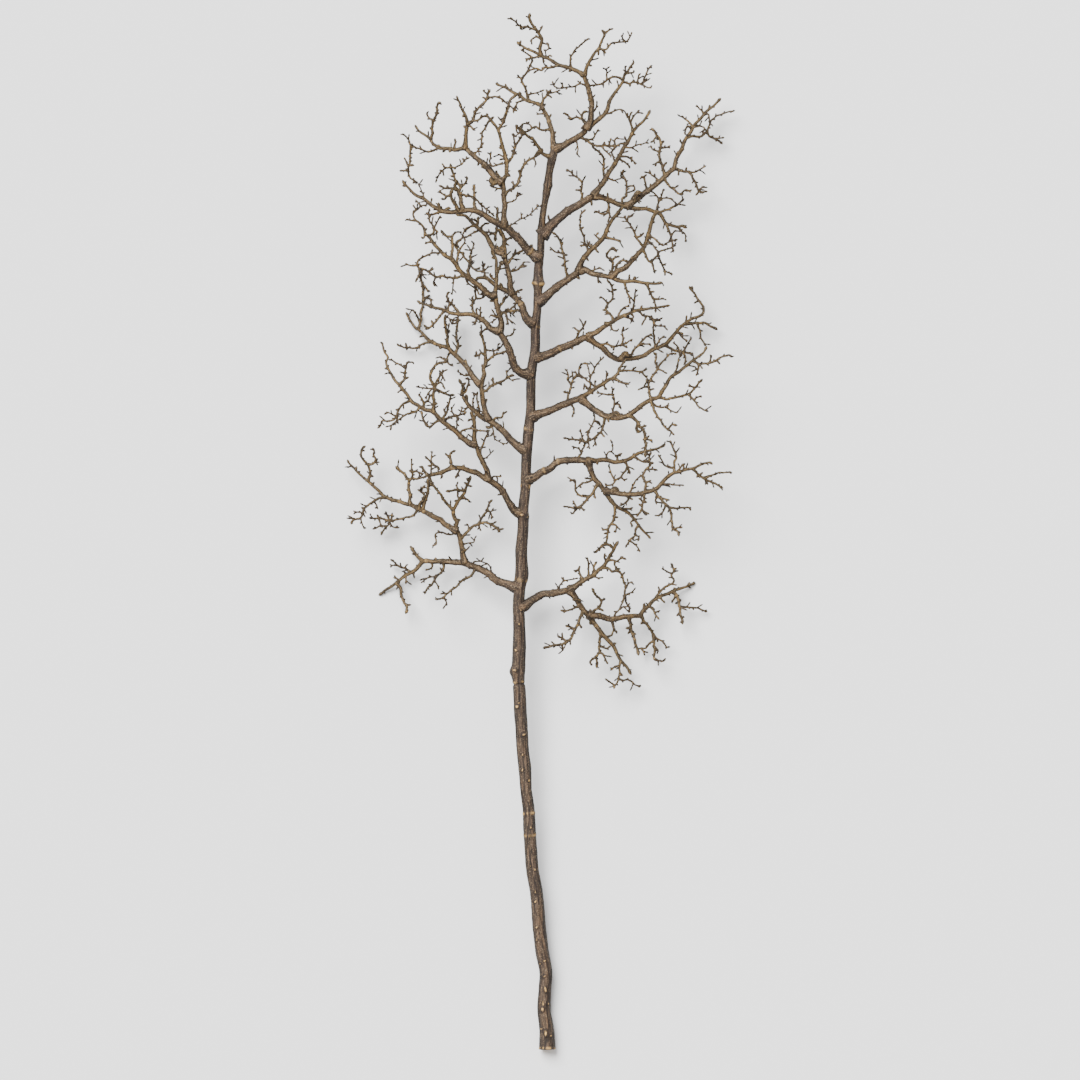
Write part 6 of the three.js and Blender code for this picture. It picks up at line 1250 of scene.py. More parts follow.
            [1.4, -20,1364, -22,1370],
            [1.3, -15,1358, -20,1355],
            [1.3, -32,1374, -42,1375, -45,1387],
        ],
    ),
    dict(
        name='top_right', parent='stem', radii=[4.4, 3.8], heights=[112],
        route=[13,1350, 20,1353, 32,1359, 45,1366, 55,1373, 61,1380],
        twigs=[
            [3.0, 35,1361, 36,1356],
            [1.6, 31,1359, 31,1366],
            [1.7, 50,1369, 60,1363, 68,1358, 80,1355, 95,1355, 105,1354, 112,1358, 119,1358],
            [1.3, 87,1355, 88,1362],
            [1.3, 94,1355, 98,1367],
            [1.3, 103,1354, 103,1364, 108,1369],
            [1.3, 84,1355, 91,1345, 98,1340],
            [1.4, 104,1354, 99,1346, 101,1338, 103,1332],
            [1.4, 58,1364, 71,1367, 75,1374, 79,1381],
            [1.2, 44,1365, 48,1352, 46,1342],
        ],
    ),
    dict(
        name='top_right_tip', parent='top_right', radii=[3.4, 1.3], heights=[104, 90],
        route=[62,1381, 68,1386, 78,1394, 86,1401, 91,1410, 95,1420, 102,1433, 110,1445, 115,1453, 117,1460,
            122,1466, 127,1474, 133,1481],
        twigs=[
            [1.6, 115,1454, 104,1459, 93,1456, 85,1449, 72,1446, 62,1444],
            [1.2, 84,1449, 87,1445],
            [1.2, 91,1455, 90,1471],
            [1.5, 114,1451, 125,1449, 130,1451, 137,1450, 143,1448, 147,1455, 150,1465, 155,1473, 160,1477],
            [1.2, 143,1448, 150,1444, 158,1442],
            [1.3, 137,1450, 138,1458, 142,1465],
            [1.2, 125,1449, 126,1443],
            [1.3, 117,1460, 119,1470, 118,1476],
            [1.3, 121,1465, 130,1465, 133,1467],
            [1.3, 88,1404, 96,1405, 106,1409, 117,1407, 122,1400],
        ],
    ),
    dict(
        name='crown_branch', parent='top_right', radii=[4.0, 2.9], heights=[122, 130],
        route=[62,1382, 65,1390, 68,1403, 68.5,1415, 66,1430, 63,1442, 59,1455, 58,1460],
        twigs=[
            [2.4, 67,1424, 62,1424],
            [1.8, 65,1391, 58,1390, 54,1398, 55,1404, 62,1408],
            [1.6, 60,1389, 56,1393, 50,1397, 44,1397, 39,1396, 33,1401, 27,1405],
            [1.3, 39,1396, 34,1394],
            [1.4, 60,1389, 52,1380],
            [1.2, 68,1404, 75,1412, 76,1423],
            [1.3, 62,1445, 50,1447, 42,1444, 30,1442, 18,1441, 12,1444, 10,1452],
            [1.2, 25,1441, 25,1450],
        ],
    ),
    dict(
        name='crown_left', parent='crown_branch', radii=[2.9, 1.5], heights=[122, 100],
        route=[57,1462, 48,1466, 38,1470, 25,1474, 15,1478, 5,1484, -8,1490, -20,1497, -32,1503, -41,1508,
            -44,1512],
        twigs=[
            [1.6, 20,1476, 8,1472, 0,1472, -7,1468, -14,1470, -22,1468, -29,1465],
            [1.5, -6,1489, -20,1487, -28,1484, -30,1480],
            [1.3, -20,1487, -33,1496, -38,1500],
            [1.3, -4,1488, -3,1478, 2,1473],
            [1.2, 1,1486, 6,1490, 9,1487],
            [1.3, -39,1507, -38,1514],
            [1.5, 38,1470, 38,1488, 44,1498, 53,1506, 65,1516],
            [1.4, 39,1470, 33,1466],
        ],
    ),
    dict(
        name='crown_right', parent='crown_branch', radii=[2.5, 1.4], heights=[142, 150],
        route=[58,1463, 62,1475, 67,1485, 75,1496, 79,1500, 84,1512, 89,1523],
        twigs=[
            [1.3, 89,1523, 95,1528, 101,1530],
            [1.2, 89,1523, 83,1528],
            [1.5, 79,1500, 87,1498, 100,1508, 115,1510, 121,1510],
            [1.2, 121,1510, 129,1525],
            [1.2, 119,1510, 112,1520],
            [1.4, 78,1499, 78,1489],
            [1.2, 84,1499, 90,1492],
            [1.3, 62,1476, 69,1473],
        ],
    ),
    dict(
        name='apex', parent='crown_left', radii=[2.4, 1.7], heights=[124, 130],
        route=[-8,1491, -9,1500, -7,1508, -6,1514, -10,1522, -15,1530, -22,1538, -25,1546, -24,1554],
        twigs=[
            [1.5, -14,1529, -22,1531, -30,1533, -36,1533, -44,1539, -54,1547],
            [1.2, -30,1533, -36,1529, -39,1529],
            [1.4, -7,1514, -15,1518, -20,1515, -24,1510],
            [1.2, -7,1510, 3,1507],
            [1.2, 3,1507, 4,1500, -1,1496],
            [1.4, -11,1525, -4,1535],
        ],
    ),
]


# Repeatable noise

CELL_PRIMES = (73856093, 19349663, 83492791)
MIXER = 1274126177


def cell_value(cells):
    """A fixed random value from -1 to 1 for each whole-numbered cell."""
    x, y, z = (cells[..., axis] * prime for axis, prime in enumerate(CELL_PRIMES))
    mixed = x ^ y ^ z
    mixed = (mixed ^ (mixed >> 13)) * MIXER & 0x7FFFFFFF
    return ((mixed ^ (mixed >> 15)) & 0xFFFF) / 32767.5 - 1


def noise(points):
    """Smooth noise from -1 to 1 at points whose cells are one unit wide."""
    low = np.floor(points).astype(np.int64)
    part = points - low
    part = part * part * (3 - 2 * part)
    total = np.zeros(points.shape[:-1])
    for corner in np.ndindex(2, 2, 2):
        corner = np.array(corner)
        weight = np.prod(np.where(corner == 1, part, 1 - part), axis=-1)
        total += weight * cell_value(low + corner)
    return total


# Routes

class Wood:
    """A middle line with its radius at each point, all in millimetres."""

    def __init__(self, points, radii):
        self.points = np.asarray(points, float)
        self.radii = np.asarray(radii, float)
        self.place = path_lengths(self.points)

    def tangents(self):
        ahead = np.gradient(self.points, axis=0)
        return ahead / np.linalg.norm(ahead, axis=1, keepdims=True)


def path_lengths(points):
    steps = np.linalg.norm(np.diff(points, axis=0), axis=1)
    return np.concatenate([[0], np.cumsum(steps)])


def along(values, shares):
    """Values at shares of the way through an even list."""
    return np.interp(shares, np.linspace(0, 1, len(values)), values)


def smooth(points, radii, step):
    """A curve through the points, with a point of its own about every step."""
    knots = path_lengths(points)
    slopes = np.gradient(points, knots, axis=0)
    finest = np.linspace(0, knots[-1], max(4, int(knots[-1] / step)) + 1)
    span = np.clip(np.searchsorted(knots, finest, side="right") - 1, 0, len(knots) - 2)
    width = (knots[span + 1] - knots[span])[:, None]
    t = (finest - knots[span])[:, None] / width
    curve = (2 * t**3 - 3 * t**2 + 1) * points[span] + (3 * t**2 - 2 * t**3) * points[span + 1]
    curve += (t**3 - 2 * t**2 + t) * width * slopes[span] + (t**3 - t**2) * width * slopes[span + 1]
    return Wood(curve, np.interp(finest, knots, radii))


def crook(wood, amount, every, seed):
    """Bends a wood a little from side to side, but not at its base."""
    still = np.zeros(len(wood.place))
    places = np.column_stack([wood.place / every, still + seed, still])
    ease = np.clip(wood.place / every, 0, 1) * amount
    ahead = wood.tangents()
    wood.points[:, 0] -= ahead[:, 1] * noise(places) * ease
    wood.points[:, 1] += ahead[:, 0] * noise(places) * ease
    wood.points[:, 2] += noise(places + 50) * ease
    wood.points[:, 2] = np.maximum(wood.points[:, 2], wood.radii)
    return Wood(wood.points, wood.radii)


def nearest_on(woods, x, y):
    """The nearest point of the woods, seen from above, and the radius there."""
    points = np.concatenate([wood.points for wood in woods])
    radii = np.concatenate([wood.radii for wood in woods])
    closest = np.argmin((points[:, 0] - x) ** 2 + (points[:, 1] - y) ** 2)
    return points[closest], radii[closest]


def flat_points(route):
    """Pairs up a flat list of x, y, x, y, with a height of zero."""
    flat = np.array(route, float).reshape(-1, 2)
    return np.column_stack([flat, np.zeros(len(flat))])


def stem_wood():
    x, y, radii = np.array(STEM, float).T
    points = np.column_stack([x, y, FOOT_HEIGHT + STEM_RISE * y])
    return smooth(points, radii * np.interp(y, *STEM_FULLNESS), STEM_STEP)


def limb_wood(limb, parent_wood):
    """A limb's middle line, and the radius of the wood that it grows from."""
    points = flat_points(limb["route"])
    start, collar = nearest_on([parent_wood], points[0, 0], points[0, 1])
    points[0] = start
    shares = path_lengths(points[:, :2])
    shares /= shares[-1]
    points[:, 2] = along([start[2], *limb["heights"]], shares)
    fullness = FULLNESS * FULLER if limb["name"].startswith(FULLER_LIMBS) else FULLNESS
    wood = smooth(points, along(limb["radii"], shares) * fullness, LIMB_STEP)
    return crook(wood, *LIMB_CROOK, points[1, 0]), collar


def twig_wood(twig, turn, woods):
    """A twig's middle line; it lies along the ground where it would go under it."""
    radius, route = twig[0], twig[1:]
    points = flat_points(route)
    start, collar = nearest_on(woods, points[0, 0], points[0, 1])
    points[0] = start
    reach = path_lengths(points[:, :2])
    radii = radius * (1 + (TWIG_TIP - 1) * reach / reach[-1])
    slope = TWIG_SLOPES[turn % len(TWIG_SLOPES)]
    for i in range(1, len(points)):
        points[i, 2] = max(points[i - 1, 2] + slope * (reach[i] - reach[i - 1]), radii[i])
    wood = smooth(points, radii * FULLNESS, TWIG_STEP)
    return crook(wood, *TWIG_CROOK, points[1, 0]), collar


# Meshes

class Bark:
    """The rings of one node's mesh as they are made, with what its material reads.

    grain is the place on the wood, unrolled; girth the wood's radius; mark is over zero where
    the bark is pale and under it where it is dark; cut is 1 on the sawn foot.
    """

    def __init__(self):
        self.verts = []
        self.faces = []
        self.layers = {"grain": [], "girth": [], "mark": [], "cut": []}
        self.count = 0

    def add(self, rings, grain, girth, mark, cut_rings=0):
        """Rings of points, from the base to the tip, joined up and closed at both ends."""
        steps, sides, _ = rings.shape
        index = self.count + np.arange(steps * sides).reshape(steps, sides)
        turned = np.roll(index, -1, axis=1)
        walls = np.stack([index[:-1], turned[:-1], turned[1:], index[1:]], axis=-1)
        self.faces.append(walls.reshape(-1, 4))
        base, tip = self.count + steps * sides, self.count + steps * sides + 1
        self.close(turned[0], index[0], base)
        self.close(index[-1], turned[-1], tip)
        self.verts += [rings.reshape(-1, 3), rings[[0, -1]].mean(axis=1)]
        girth = np.broadcast_to(girth[:, None], (steps, sides))
        cut = np.zeros((steps, sides))
        cut[:cut_rings] = 1
        for name, values in (("grain", grain), ("girth", girth), ("mark", mark), ("cut", cut)):
            width = values.shape[2:]
            self.layers[name] += [values.reshape(-1, *width), values[[0, -1]].mean(axis=1)]
        self.count += steps * sides + 2

    def close(self, ring, following, middle):
        """Triangles from a ring to a point in its middle."""
        sides = len(ring)
        triangles = [ring, following, np.full(sides, middle), np.full(sides, NO_CORNER)]
        self.faces.append(np.stack(triangles, axis=-1))

    def mesh(self, name):
        verts = np.concatenate(self.verts) * MM + row_origin
        verts[:, 2] = np.maximum(verts[:, 2], 0)
        faces = np.concatenate(self.faces)
        sizes = np.where(faces[:, 3] == NO_CORNER, 3, 4)
        corners = faces[faces != NO_CORNER]
        mesh = bpy.data.meshes.new(name)
        mesh.vertices.add(len(verts))
        mesh.vertices.foreach_set("co", verts.ravel())
        mesh.loops.add(len(corners))
        mesh.loops.foreach_set("vertex_index", corners)
        mesh.polygons.add(len(sizes))
        mesh.polygons.foreach_set("loop_start", np.concatenate([[0], np.cumsum(sizes)[:-1]]))
        mesh.polygons.foreach_set("use_smooth", np.ones(len(sizes), bool))
        mesh.update(calc_edges=True)
        for layer, values in self.layers.items():
            kind, field = ("FLOAT_VECTOR", "vector") if layer == "grain" else ("FLOAT", "value")
            attribute = mesh.attributes.new(layer, kind, "POINT")
            attribute.data.foreach_set(field, np.concatenate(values).ravel())
        return mesh


def directions(wood, sides):
    """Angles round the wood, and the way out from its middle at each point and angle."""
    ahead = wood.tangents()
    across = np.column_stack([-ahead[:, 1], ahead[:, 0], np.zeros(len(ahead))])
    across /= np.maximum(np.linalg.norm(across, axis=1, keepdims=True), 1e-6)
    above = np.cross(ahead, across)
    angles = np.arange(sides) * 2 * math.pi / sides
    outward = np.cos(angles)[None, :, None] * across[:, None]
    outward = outward + np.sin(angles)[None, :, None] * above[:, None]
    return angles, outward


def unrolled(angles, radii, place):
    """Where each point is on the wood: across, up and along it, in millimetres."""
    across = np.cos(angles)[None] * radii[:, None]
    up = np.sin(angles)[None] * radii[:, None]
    return np.stack(np.broadcast_arrays(across, up, place[:, None]), axis=-1)


def bump_at(place, centre, width):
    return np.exp(-(((place - centre) / width) ** 2))


def round_tip(place, radii, bluntness):
    """Scale of the radius that rounds off the far end."""
    end = place[-1] - bluntness * radii[-1]
    inside = np.clip((place - end) / (bluntness * radii[-1]), 0, 1)
    return np.sqrt(np.maximum(1 - inside**2, 0.01))


def furrows(angles, place, radii, count):
    """How deep in a furrow each point of the bark is, from 0 to 1: they wander along it."""
    depth = np.zeros((len(place), len(angles)))
    still = np.zeros(len(place))
    for k in range(count):
        track = np.column_stack([place / FURROW_WANDER, still + 5.5 * k, still])
        middle = 2 * math.pi * (k + 0.25) / count + 0.75 * noise(track)
        off = (angles[None] - middle[:, None] + math.pi) % (2 * math.pi) - math.pi
        wide = (0.1 * radii + 0.35) * (1 + 0.35 * noise(track * 4 + 20))
        strength = np.clip(0.75 + 0.9 * noise(track * 2.5 + 90), 0, 1)
        depth = np.maximum(depth, strength[:, None] * bump_at(off * radii[:, None], 0, wide[:, None]))
    return depth


def add_wood(bark, wood, sides, collar, random, rings_every, tip):
    """A limb or twig: a flared collar, ring scars, a bud at the end and lumpy bark."""
    place, radii = wood.place, wood.radii.copy()
    stripes = np.zeros(len(place))
    clear = np.maximum(place - collar, 0)
    radii *= 1 + 0.5 * np.exp(-clear / (0.9 * wood.radii[0] + 0.4))
    where = collar + rings_every * (0.5 + random.random())
    while where < place[-1] - 2 * wood.radii[-1]:
        ring = bump_at(place, where, 0.7 + 0.12 * wood.radii[0])
        radii *= 1 + ring * random.uniform(*RING_SWELL)
        stripes += ring * random.uniform(*RING_MARK)
        where += rings_every * random.uniform(0.5, 1.6)
    if tip == "bud":
        radii *= 1 + 0.35 * bump_at(place, place[-1] - 2.2 * wood.radii[-1], 1.3 * wood.radii[-1])
    radii *= round_tip(place, wood.radii, 2.6 if tip == "bud" else 1.0)
    start = random.uniform(0, GRAIN_SPAN)
    angles, outward = directions(wood, sides)
    grain = unrolled(angles, wood.radii, place + start)
    lumps = 0.09 * noise(grain * [0.9, 0.9, 0.22] / max(wood.radii[0] / 3, 0.6))
    lumps += 0.05 * noise(grain * [1.8, 1.8, 0.9] + 40)
    mark = np.repeat(stripes[:, None], sides, axis=1)
    if sides == LIMB_SIDES:
        grooves = furrows(angles, place + start, wood.radii, LIMB_FURROWS)
        lumps -= LIMB_FURROW_DEPTH * grooves
        mark += LIMB_FURROW_MARK * grooves
    reach = radii[:, None] * (1 + lumps)
    rings = wood.points[:, None] + outward * reach[..., None]
    bark.add(rings, grain, wood.radii, mark)


def add_bud(bark, base, way, length, radius, random):
    """A small pointed bud or spur that grows from a point on the wood, in a direction."""
    share = np.linspace(0, 1, len(BUD_PROFILE))[:, None]
    bend = random.normal(0, 0.12, 3)
    points = base + way * share * length + bend * share**2 * length
    points[:, 2] = np.maximum(points[:, 2], radius)
    wood = Wood(points, np.full(len(points), radius))
    angles, outward = directions(wood, BUD_SIDES)
    reach = (radius * np.array(BUD_PROFILE))[:, None, None]
    grain = unrolled(angles, wood.radii, wood.place + random.uniform(0, GRAIN_SPAN))
    darkening = BUD_MARK * share * np.ones(BUD_SIDES)
    bark.add(wood.points[:, None] + outward * reach, grain, wood.radii, darkening)


def add_buds(bark, wood, collar, every, spur_share, random):
    """Buds and short spurs on alternate sides along a wood, and a few up or down."""
    ahead = wood.tangents()
    where = collar + every * random.random()
    side = random.choice([-1, 1])
    while where < wood.place[-1] - 1.5:
        i = min(np.searchsorted(wood.place, where), len(wood.place) - 2)
        across = np.array([-ahead[i, 1], ahead[i, 0], 0]) * side
        lift = np.array([0, 0, random.normal(0, 0.9)])
        way = 0.75 * ahead[i] + across + lift
        way /= np.linalg.norm(way)
        out = across + lift
        out /= np.linalg.norm(out)
        spur = random.random() < spur_share
        length = random.uniform(*(SPUR_LENGTHS if spur else BUD_LENGTHS))
        radius = random.uniform(*(SPUR_RADII if spur else BUD_RADII))
        base = wood.points[i] + out * wood.radii[i] * 0.6
        add_bud(bark, base, way, length, radius, random)
        if random.random() < TWIN_BUDS:
            add_bud(bark, base, way + random.normal(0, 0.5, 3), length * 0.7, radius, random)
        side = -side
        where += every * random.uniform(0.6, 1.5)


def cut_face(wood, rings, grain):
    """Rings across the cut foot, from its middle out to the bark, and their grain."""
    shares = np.array(FOOT_FACE)[:, None, None]
    return wood.points[0] + shares * (rings[0] - wood.points[0]), shares * grain[0]


def add_ring_scars(wood, grain, reach, mark):
    """The stem's rings, which waver and fade out as they go round it."""
    for y, height, width, shade in STEM_RINGS:
        waver = y + 2.2 * noise(grain * [0.12, 0.12, 0.001] + y)
        ring = bump_at(wood.points[:, 1][:, None], waver, width)
        reach += height * ring
        fading = np.clip(0.7 + 1.3 * noise(grain * [0.3, 0.3, 0.05] + 3 * y), 0, 1.2)
        mark += shade * ring * fading


def add_knots(surface, reach):
    for x, y, height, width in STEM_KNOTS:
        reach += height * bump_at(np.hypot(surface[..., 0] - x, surface[..., 1] - y), 0, width)


def add_cut_spurs(surface, grain, upper, reach, mark, random):
    """The stem's spots: raised and pale, ragged and longer one way, with a dark rim."""
    ragged = noise(grain * [0.6, 0.6, 0.6] + 61)
    for x, y, width in STEM_SPOTS:
        turn = random.uniform(0, math.pi)
        longer = random.uniform(0.9, 1.9)
        east = surface[..., 0] - x
        north = surface[..., 1] - y
        lengthwise = (east * math.cos(turn) + north * math.sin(turn)) / longer
        sideways = (north * math.cos(turn) - east * math.sin(turn)) * longer**0.5
        away = np.hypot(lengthwise, sideways) / width + 0.6 * ragged
        reach += 0.5 * width * upper * np.exp(-np.clip(away, 0, 9) ** 4)
        mark += upper * random.uniform(0.7, 1.6) * bump_at(away, 0, 0.6)
        rim = bump_at(np.hypot(away, 0.4 * sideways / width), 1.4, 0.5)
        mark -= upper * 1.1 * rim * (lengthwise < width)


def stem_mesh(wood, random):
    """The stem: long ridges and furrows in the bark, rings, knots and cut spurs."""
    radii = wood.radii
    angles, outward = directions(wood, STEM_SIDES)
    grain = unrolled(angles, radii, wood.place)
    grooves = furrows(angles, wood.place, radii, STEM_FURROWS)
    reach = radii[:, None] - STEM_FURROW_DEPTH * grooves
    for depth, cells, offset in STEM_ROUGHNESS:
        reach += depth * noise(grain * cells + offset)
    mark = STEM_FURROW_MARK * grooves
    add_ring_scars(wood, grain, reach, mark)
    surface = wood.points[:, None] + outward * reach[..., None]
    add_knots(surface, reach)
    add_cut_spurs(surface, grain, outward[..., 2] > 0, reach, mark, random)
    rings = wood.points[:, None] + outward * reach[..., None]
    face, face_grain = cut_face(wood, rings, grain)
    girth = np.concatenate([np.full(len(face), radii[0]), radii])
    mark = np.concatenate([np.zeros(face.shape[:2]), mark])
    bark = Bark()
    bark.add(np.concatenate([face, rings]), np.concatenate([face_grain, grain]), girth, mark, len(face))
    add_buds(bark, wood, STEM_BUDS_FROM, STEM_BUDS_EVERY, 0, random)
    return bark


def limb_mesh(limb, wood, collar, random):
    """A limb and its twigs, each with its buds and spurs."""
    bark = Bark()
    woods = [wood]
    tip = "blunt" if limb["radii"][1] > BLUNT_OVER else "bud"
    add_wood(bark, wood, LIMB_SIDES, collar, random, LIMB_RINGS_EVERY, tip)
    add_buds(bark, wood, collar + 4, LIMB_BUDS_EVERY, SPUR_SHARE, random)
    for turn, twig in enumerate(limb["twigs"]):
        shoot, base = twig_wood(twig, turn, woods)
        woods.append(shoot)
        add_wood(bark, shoot, TWIG_SIDES, base, random, TWIG_RINGS_EVERY, "bud")
        if shoot.place[-1] > base + 8:
            add_buds(bark, shoot, base + 2, TWIG_BUDS_EVERY, SPUR_SHARE, random)
    return bark


# Materials

def linear(*seen):
    """A colour given as it is seen, from 0 to 255, as the shader wants it."""
    return [((value / 255 + 0.055) / 1.055) ** 2.4 for value in seen] + [1]


def greys(stops):
    return [(position, (value, value, value, 1)) for position, value in stops]


WIDEST = 12.5  # the radius in millimetres at the top of the girth colours
GROWTH_RING = 1.3  # millimetres of growth in one year, on the cut foot
A_COLOUR, B_COLOUR, MIXED = 6, 7, 2  # the Mix node's colour sockets

# Bark colours by the wood's radius in millimetres, from the twigs to the foot of the stem
GIRTH_COLOURS = [
    (1.0, linear(51, 39, 24)), (2.0, linear(61, 49, 29)), (3.2, linear(67, 53, 32)),
    (4.6, linear(61, 48, 32)), (7.2, linear(54, 42, 32)), (10.0, linear(55, 43, 33)),
]
PALE_BARK = linear(214, 171, 104)
DARK_BARK = linear(30, 21, 16)
FLECK = linear(165, 142, 112)

# Shades that multiply the colour: over a crack or ridge, painted shade on the underside and
# sides with painted light on top, over a broad patch, and in the fine mottling
STREAKS = greys([(0.32, 0.15), (0.43, 0.55), (0.56, 1.05), (0.7, 2.2)])
PAINTED_SHADE_BY_FACING = greys([(0.0, 0.22), (0.35, 0.3), (0.7, 0.9), (1.0, 1.85)])
PATCHES = [(0.3, (0.56, 0.56, 0.6, 1)), (0.5, (1, 1, 1, 1)), (0.7, (1.4, 1.28, 1.1, 1))]
MOTTLING = greys([(0.3, 0.45), (0.7, 1.6)])

# The cut foot's wood from its heart to the bark, then the shades of a growth ring
CUT_WOOD = [
    (0.08, linear(96, 70, 42)), (0.2, linear(168, 131, 84)),
    (0.9, linear(190, 154, 104)), (1.0, linear(120, 88, 54)),
]
GROWTH_SHADES = greys([(0.0, 1.0), (0.9, 0.6)])
CUT_MOTTLING = greys([(0.3, 0.6), (0.7, 1.2)])


class Graph:
    """The shader nodes of one material, with a short call for each kind that it uses."""

    def __init__(self, name):
        self.material = bpy.data.materials.new(name)
        self.material.use_nodes = True
        self.nodes = self.material.node_tree.nodes
        self.links = self.material.node_tree.links
        self.shader = self.nodes["Principled BSDF"]

    def put(self, value, socket):
        """Links an output to a socket, or sets a plain value on it."""
        if isinstance(value, bpy.types.NodeSocket):
            self.links.new(value, socket)
        else:
            socket.default_value = value

    def attribute(self, layer, output="Fac"):
        node = self.nodes.new("ShaderNodeAttribute")
        node.attribute_name = layer
        return node.outputs[output]

    def ramp(self, value, stops):
        node = self.nodes.new("ShaderNodeValToRGB")
        elements = node.color_ramp.elements
        while len(elements) < len(stops):
            elements.new(0.5)
        for element, (position, colour) in zip(elements, stops):
            element.position = position
            element.color = colour
        self.put(value, node.inputs["Fac"])
        return node.outputs["Color"]

    def pattern(self, stretch, scale, detail):
        """Noise laid along the grain of the wood."""
        mapping = self.nodes.new("ShaderNodeMapping")
        self.put(stretch, mapping.inputs["Scale"])
        self.put(self.attribute("grain", "Vector"), mapping.inputs["Vector"])
        texture = self.nodes.new("ShaderNodeTexNoise")
        self.put(scale, texture.inputs["Scale"])
        self.put(detail, texture.inputs["Detail"])
        self.put(mapping.outputs["Vector"], texture.inputs["Vector"])
        return texture.outputs["Fac"]

    def blend(self, kind, factor, first, second):
        node = self.nodes.new("ShaderNodeMix")
        node.data_type = "RGBA"
        node.blend_type = kind
        self.put(factor, node.inputs["Factor"])
        self.put(first, node.inputs[A_COLOUR])
        self.put(second, node.inputs[B_COLOUR])
        return node.outputs[MIXED]

    def maths(self, operation, first, second=0.0):
        node = self.nodes.new("ShaderNodeMath")
        node.operation = operation
        self.put(first, node.inputs[0])
        self.put(second, node.inputs[1])
        return node.outputs["Value"]

    def across_grain(self):
        """The grain's first two parts: across the wood and up it."""
        parts = self.nodes.new("ShaderNodeSeparateXYZ")
        self.put(self.attribute("grain", "Vector"), parts.inputs["Vector"])
        return parts.outputs["X"], parts.outputs["Y"]


def bark_colour(graph, streaks, mottle):
    """Colour by girth, with streaks, painted light on top and painted shade on the sides and underside, in
    broad patches and finely mottled.
    """
    girth = graph.attribute("girth")
    shades = [(radius / WIDEST, colour) for radius, colour in GIRTH_COLOURS]
    colour = graph.ramp(graph.maths("DIVIDE", girth, WIDEST), shades)
    upward = graph.maths("DIVIDE", graph.across_grain()[1], girth)
    patches = graph.pattern((0.16, 0.16, 0.025), 1.0, 3)
    colour = graph.blend("MULTIPLY", 1.0, colour, graph.ramp(streaks, STREAKS))
    # painted shade and light: darker where the bark faces sideways or down, paler where it faces up
    colour = graph.blend("MULTIPLY", 1.0, colour, graph.ramp(upward, PAINTED_SHADE_BY_FACING))
    colour = graph.blend("MULTIPLY", 0.9, colour, graph.ramp(patches, PATCHES))
    return graph.blend("MULTIPLY", 0.9, colour, graph.ramp(mottle, MOTTLING))


def scarred(graph, colour):
    """Scars and rings from the mesh: pale where the mark is over zero, dark where under."""
    mark = graph.attribute("mark")
    pale = graph.maths("MINIMUM", graph.maths("MAXIMUM", mark, 0.0), 0.85)
    colour = graph.blend("MIX", pale, colour, PALE_BARK)
    under = graph.maths("MAXIMUM", graph.maths("MULTIPLY", mark, -1.0), 0.0)
    return graph.blend("MIX", graph.maths("MINIMUM", under, 0.8), colour, DARK_BARK)


def cut_wood(graph, mottle):
    """The cut foot: pale wood with growth rings, darker at the heart and under the bark."""
    across = graph.nodes.new("ShaderNodeCombineXYZ")
    x, y = graph.across_grain()
    graph.put(x, across.inputs["X"])
    graph.put(y, across.inputs["Y"])
    length = graph.nodes.new("ShaderNodeVectorMath")
    length.operation = "LENGTH"
    graph.put(across.outputs["Vector"], length.inputs[0])
    waver = graph.maths("MULTIPLY", graph.pattern((1, 1, 1), 0.25, 2), 2.0)
    reach = graph.maths("ADD", length.outputs["Value"], waver)
    rings = graph.maths("SINE", graph.maths("MULTIPLY", reach, 2 * math.pi / GROWTH_RING))
    wood = graph.ramp(graph.maths("DIVIDE", reach, WIDEST), CUT_WOOD)
    wood = graph.blend("MULTIPLY", 1.0, wood, graph.ramp(rings, GROWTH_SHADES))
    return graph.blend("MULTIPLY", 0.7, wood, graph.ramp(mottle, CUT_MOTTLING))


def bark_material(name, crack_scale, crack_depth, roughness, fleck_strength):
    """Cracked, mottled bark with fine pale flecks; crack_depth is in millimetres."""
    graph = Graph(name)
    streaks = graph.pattern((1, 1, 0.12), crack_scale, 5)
    mottle = graph.pattern((1, 1, 0.7), 1.2, 3)
    flecks = graph.ramp(graph.pattern((1, 1, 0.6), 0.85, 1), greys([(0.6, 0), (0.67, 1)]))
    colour = bark_colour(graph, streaks, mottle)
    colour = graph.blend("MIX", graph.maths("MULTIPLY", flecks, fleck_strength), colour, FLECK)
    colour = scarred(graph, colour)
    colour = graph.blend("MIX", graph.attribute("cut"), colour, cut_wood(graph, mottle))
    graph.put(colour, graph.shader.inputs["Base Color"])
    graph.put(0.35, graph.shader.inputs["Specular IOR Level"])
    dullness = graph.maths("ADD", graph.maths("MULTIPLY", mottle, 0.25), roughness - 0.12)
    graph.put(dullness, graph.shader.inputs["Roughness"])
    height = graph.maths("ADD", streaks, graph.maths("MULTIPLY", mottle, 0.5))
    height = graph.maths("ADD", height, graph.maths("MULTIPLY", flecks, 0.4))
    bump = graph.nodes.new("ShaderNodeBump")
    graph.put(0.8, bump.inputs["Strength"])
    graph.put(crack_depth * MM, bump.inputs["Distance"])
    graph.put(height, bump.inputs["Height"])
    graph.put(bump.outputs["Normal"], graph.shader.inputs["Normal"])
    return graph.material


# Assembly

def foot_middle():
    """The middle of the cut foot in the frame: that of the stem's end ring."""
    mesh = frame["nodes"]["stem"].data
    corners = np.array([corner.co[:] for corner in mesh.vertices])
    end = corners[:, 1].min() + 3 * MM
    ring = np.unique(corners[corners[:, 1] < end].round(7), axis=0)
    return (ring.min(axis=0) + ring.max(axis=0)) / 2


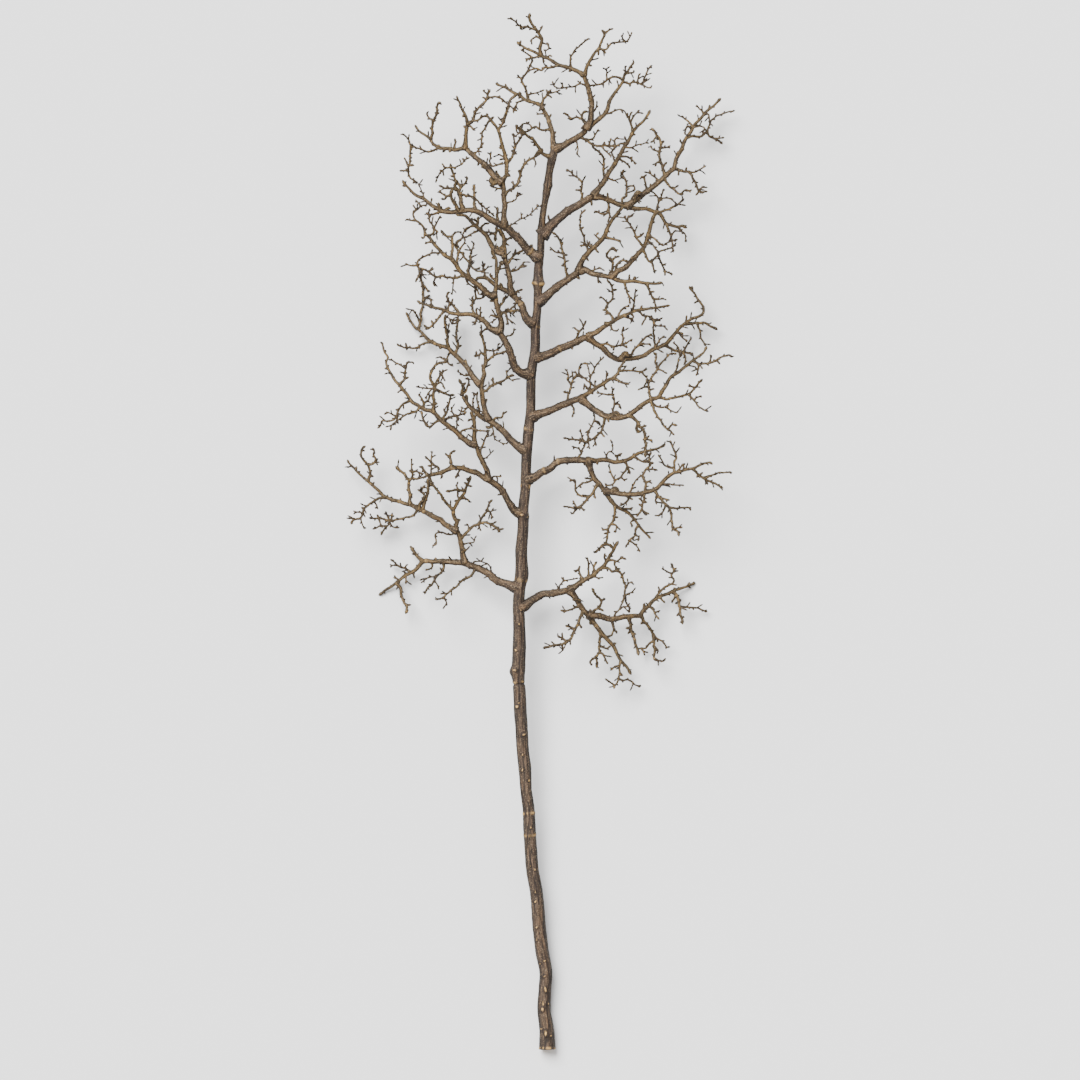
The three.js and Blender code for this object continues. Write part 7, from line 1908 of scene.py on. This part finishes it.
row_origin = foot_middle() - np.array([STEM[0][0], STEM[0][1], FOOT_HEIGHT]) * MM
slots = {row["node"]: row["material_slot"] for row in frame["record"]["subparts"]}
materials = {
    "stem_bark": bark_material("stem_bark", 0.5, 0.5, 0.72, 0.4),
    "limb_bark": bark_material("limb_bark", 0.8, 0.35, 0.78, 0.45),
    "twig_bark": bark_material("twig_bark", 1.0, 0.25, 0.8, 0.35),
}


def place_piece(node, bark):
    piece = bpy.data.objects.new(node + "_wood", bark.mesh(node + "_wood"))
    bpy.context.scene.collection.objects.link(piece)
    piece.data.materials.append(materials[slots[node]])
    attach(piece, "root")
    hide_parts(node)


woods = {"stem": stem_wood()}
place_piece("stem", stem_mesh(woods["stem"], np.random.default_rng(7)))
for number, limb in enumerate(LIMBS):
    woods[limb["name"]], collar = limb_wood(limb, woods[limb["parent"]])
    random = np.random.default_rng(100 + number)
    place_piece(limb["name"], limb_mesh(limb, woods[limb["name"]], collar, random))


# Floor, light and camera

def make_floor():
    bpy.ops.mesh.primitive_plane_add(size=40)
    floor = bpy.context.object
    floor.name = "floor"
    paper = bpy.data.materials.new("floor")
    paper.use_nodes = True
    shader = paper.node_tree.nodes["Principled BSDF"]
    shader.inputs["Base Color"].default_value = (0.95, 0.95, 0.95, 1)
    shader.inputs["Roughness"].default_value = 0.9
    floor.data.materials.append(paper)


def make_light():
    world = bpy.data.worlds.new("studio")
    world.use_nodes = True
    background = world.node_tree.nodes["Background"]
    background.inputs["Color"].default_value = (1, 1, 1, 1)
    background.inputs["Strength"].default_value = 0.7
    bpy.context.scene.world = world
    sun = bpy.data.lights.new("key", "SUN")
    sun.energy = 7.5
    sun.angle = math.radians(40)
    lamp = bpy.data.objects.new("key", sun)
    lamp.rotation_euler = (math.radians(-30), math.radians(-24), 0)
    bpy.context.scene.collection.objects.link(lamp)


def make_camera():
    """A camera that looks straight down on the branch, with its foot at the bottom."""
    camera = bpy.data.cameras.new("camera")
    camera.lens = LENS
    camera.sensor_width = SENSOR
    camera.clip_end = 100
    eye = bpy.data.objects.new("camera", camera)
    middle_x, middle_y = (value * MM for value in FRAME_MIDDLE)
    distance = FRAME_WIDTH * MM * LENS / SENSOR + CROWN_HEIGHT * MM
    eye.location = (row_origin[0] + middle_x, row_origin[1] + middle_y, distance)
    bpy.context.scene.collection.objects.link(eye)
    bpy.context.scene.camera = eye


make_floor()
make_light()
make_camera()

bpy.context.view_layer.update()
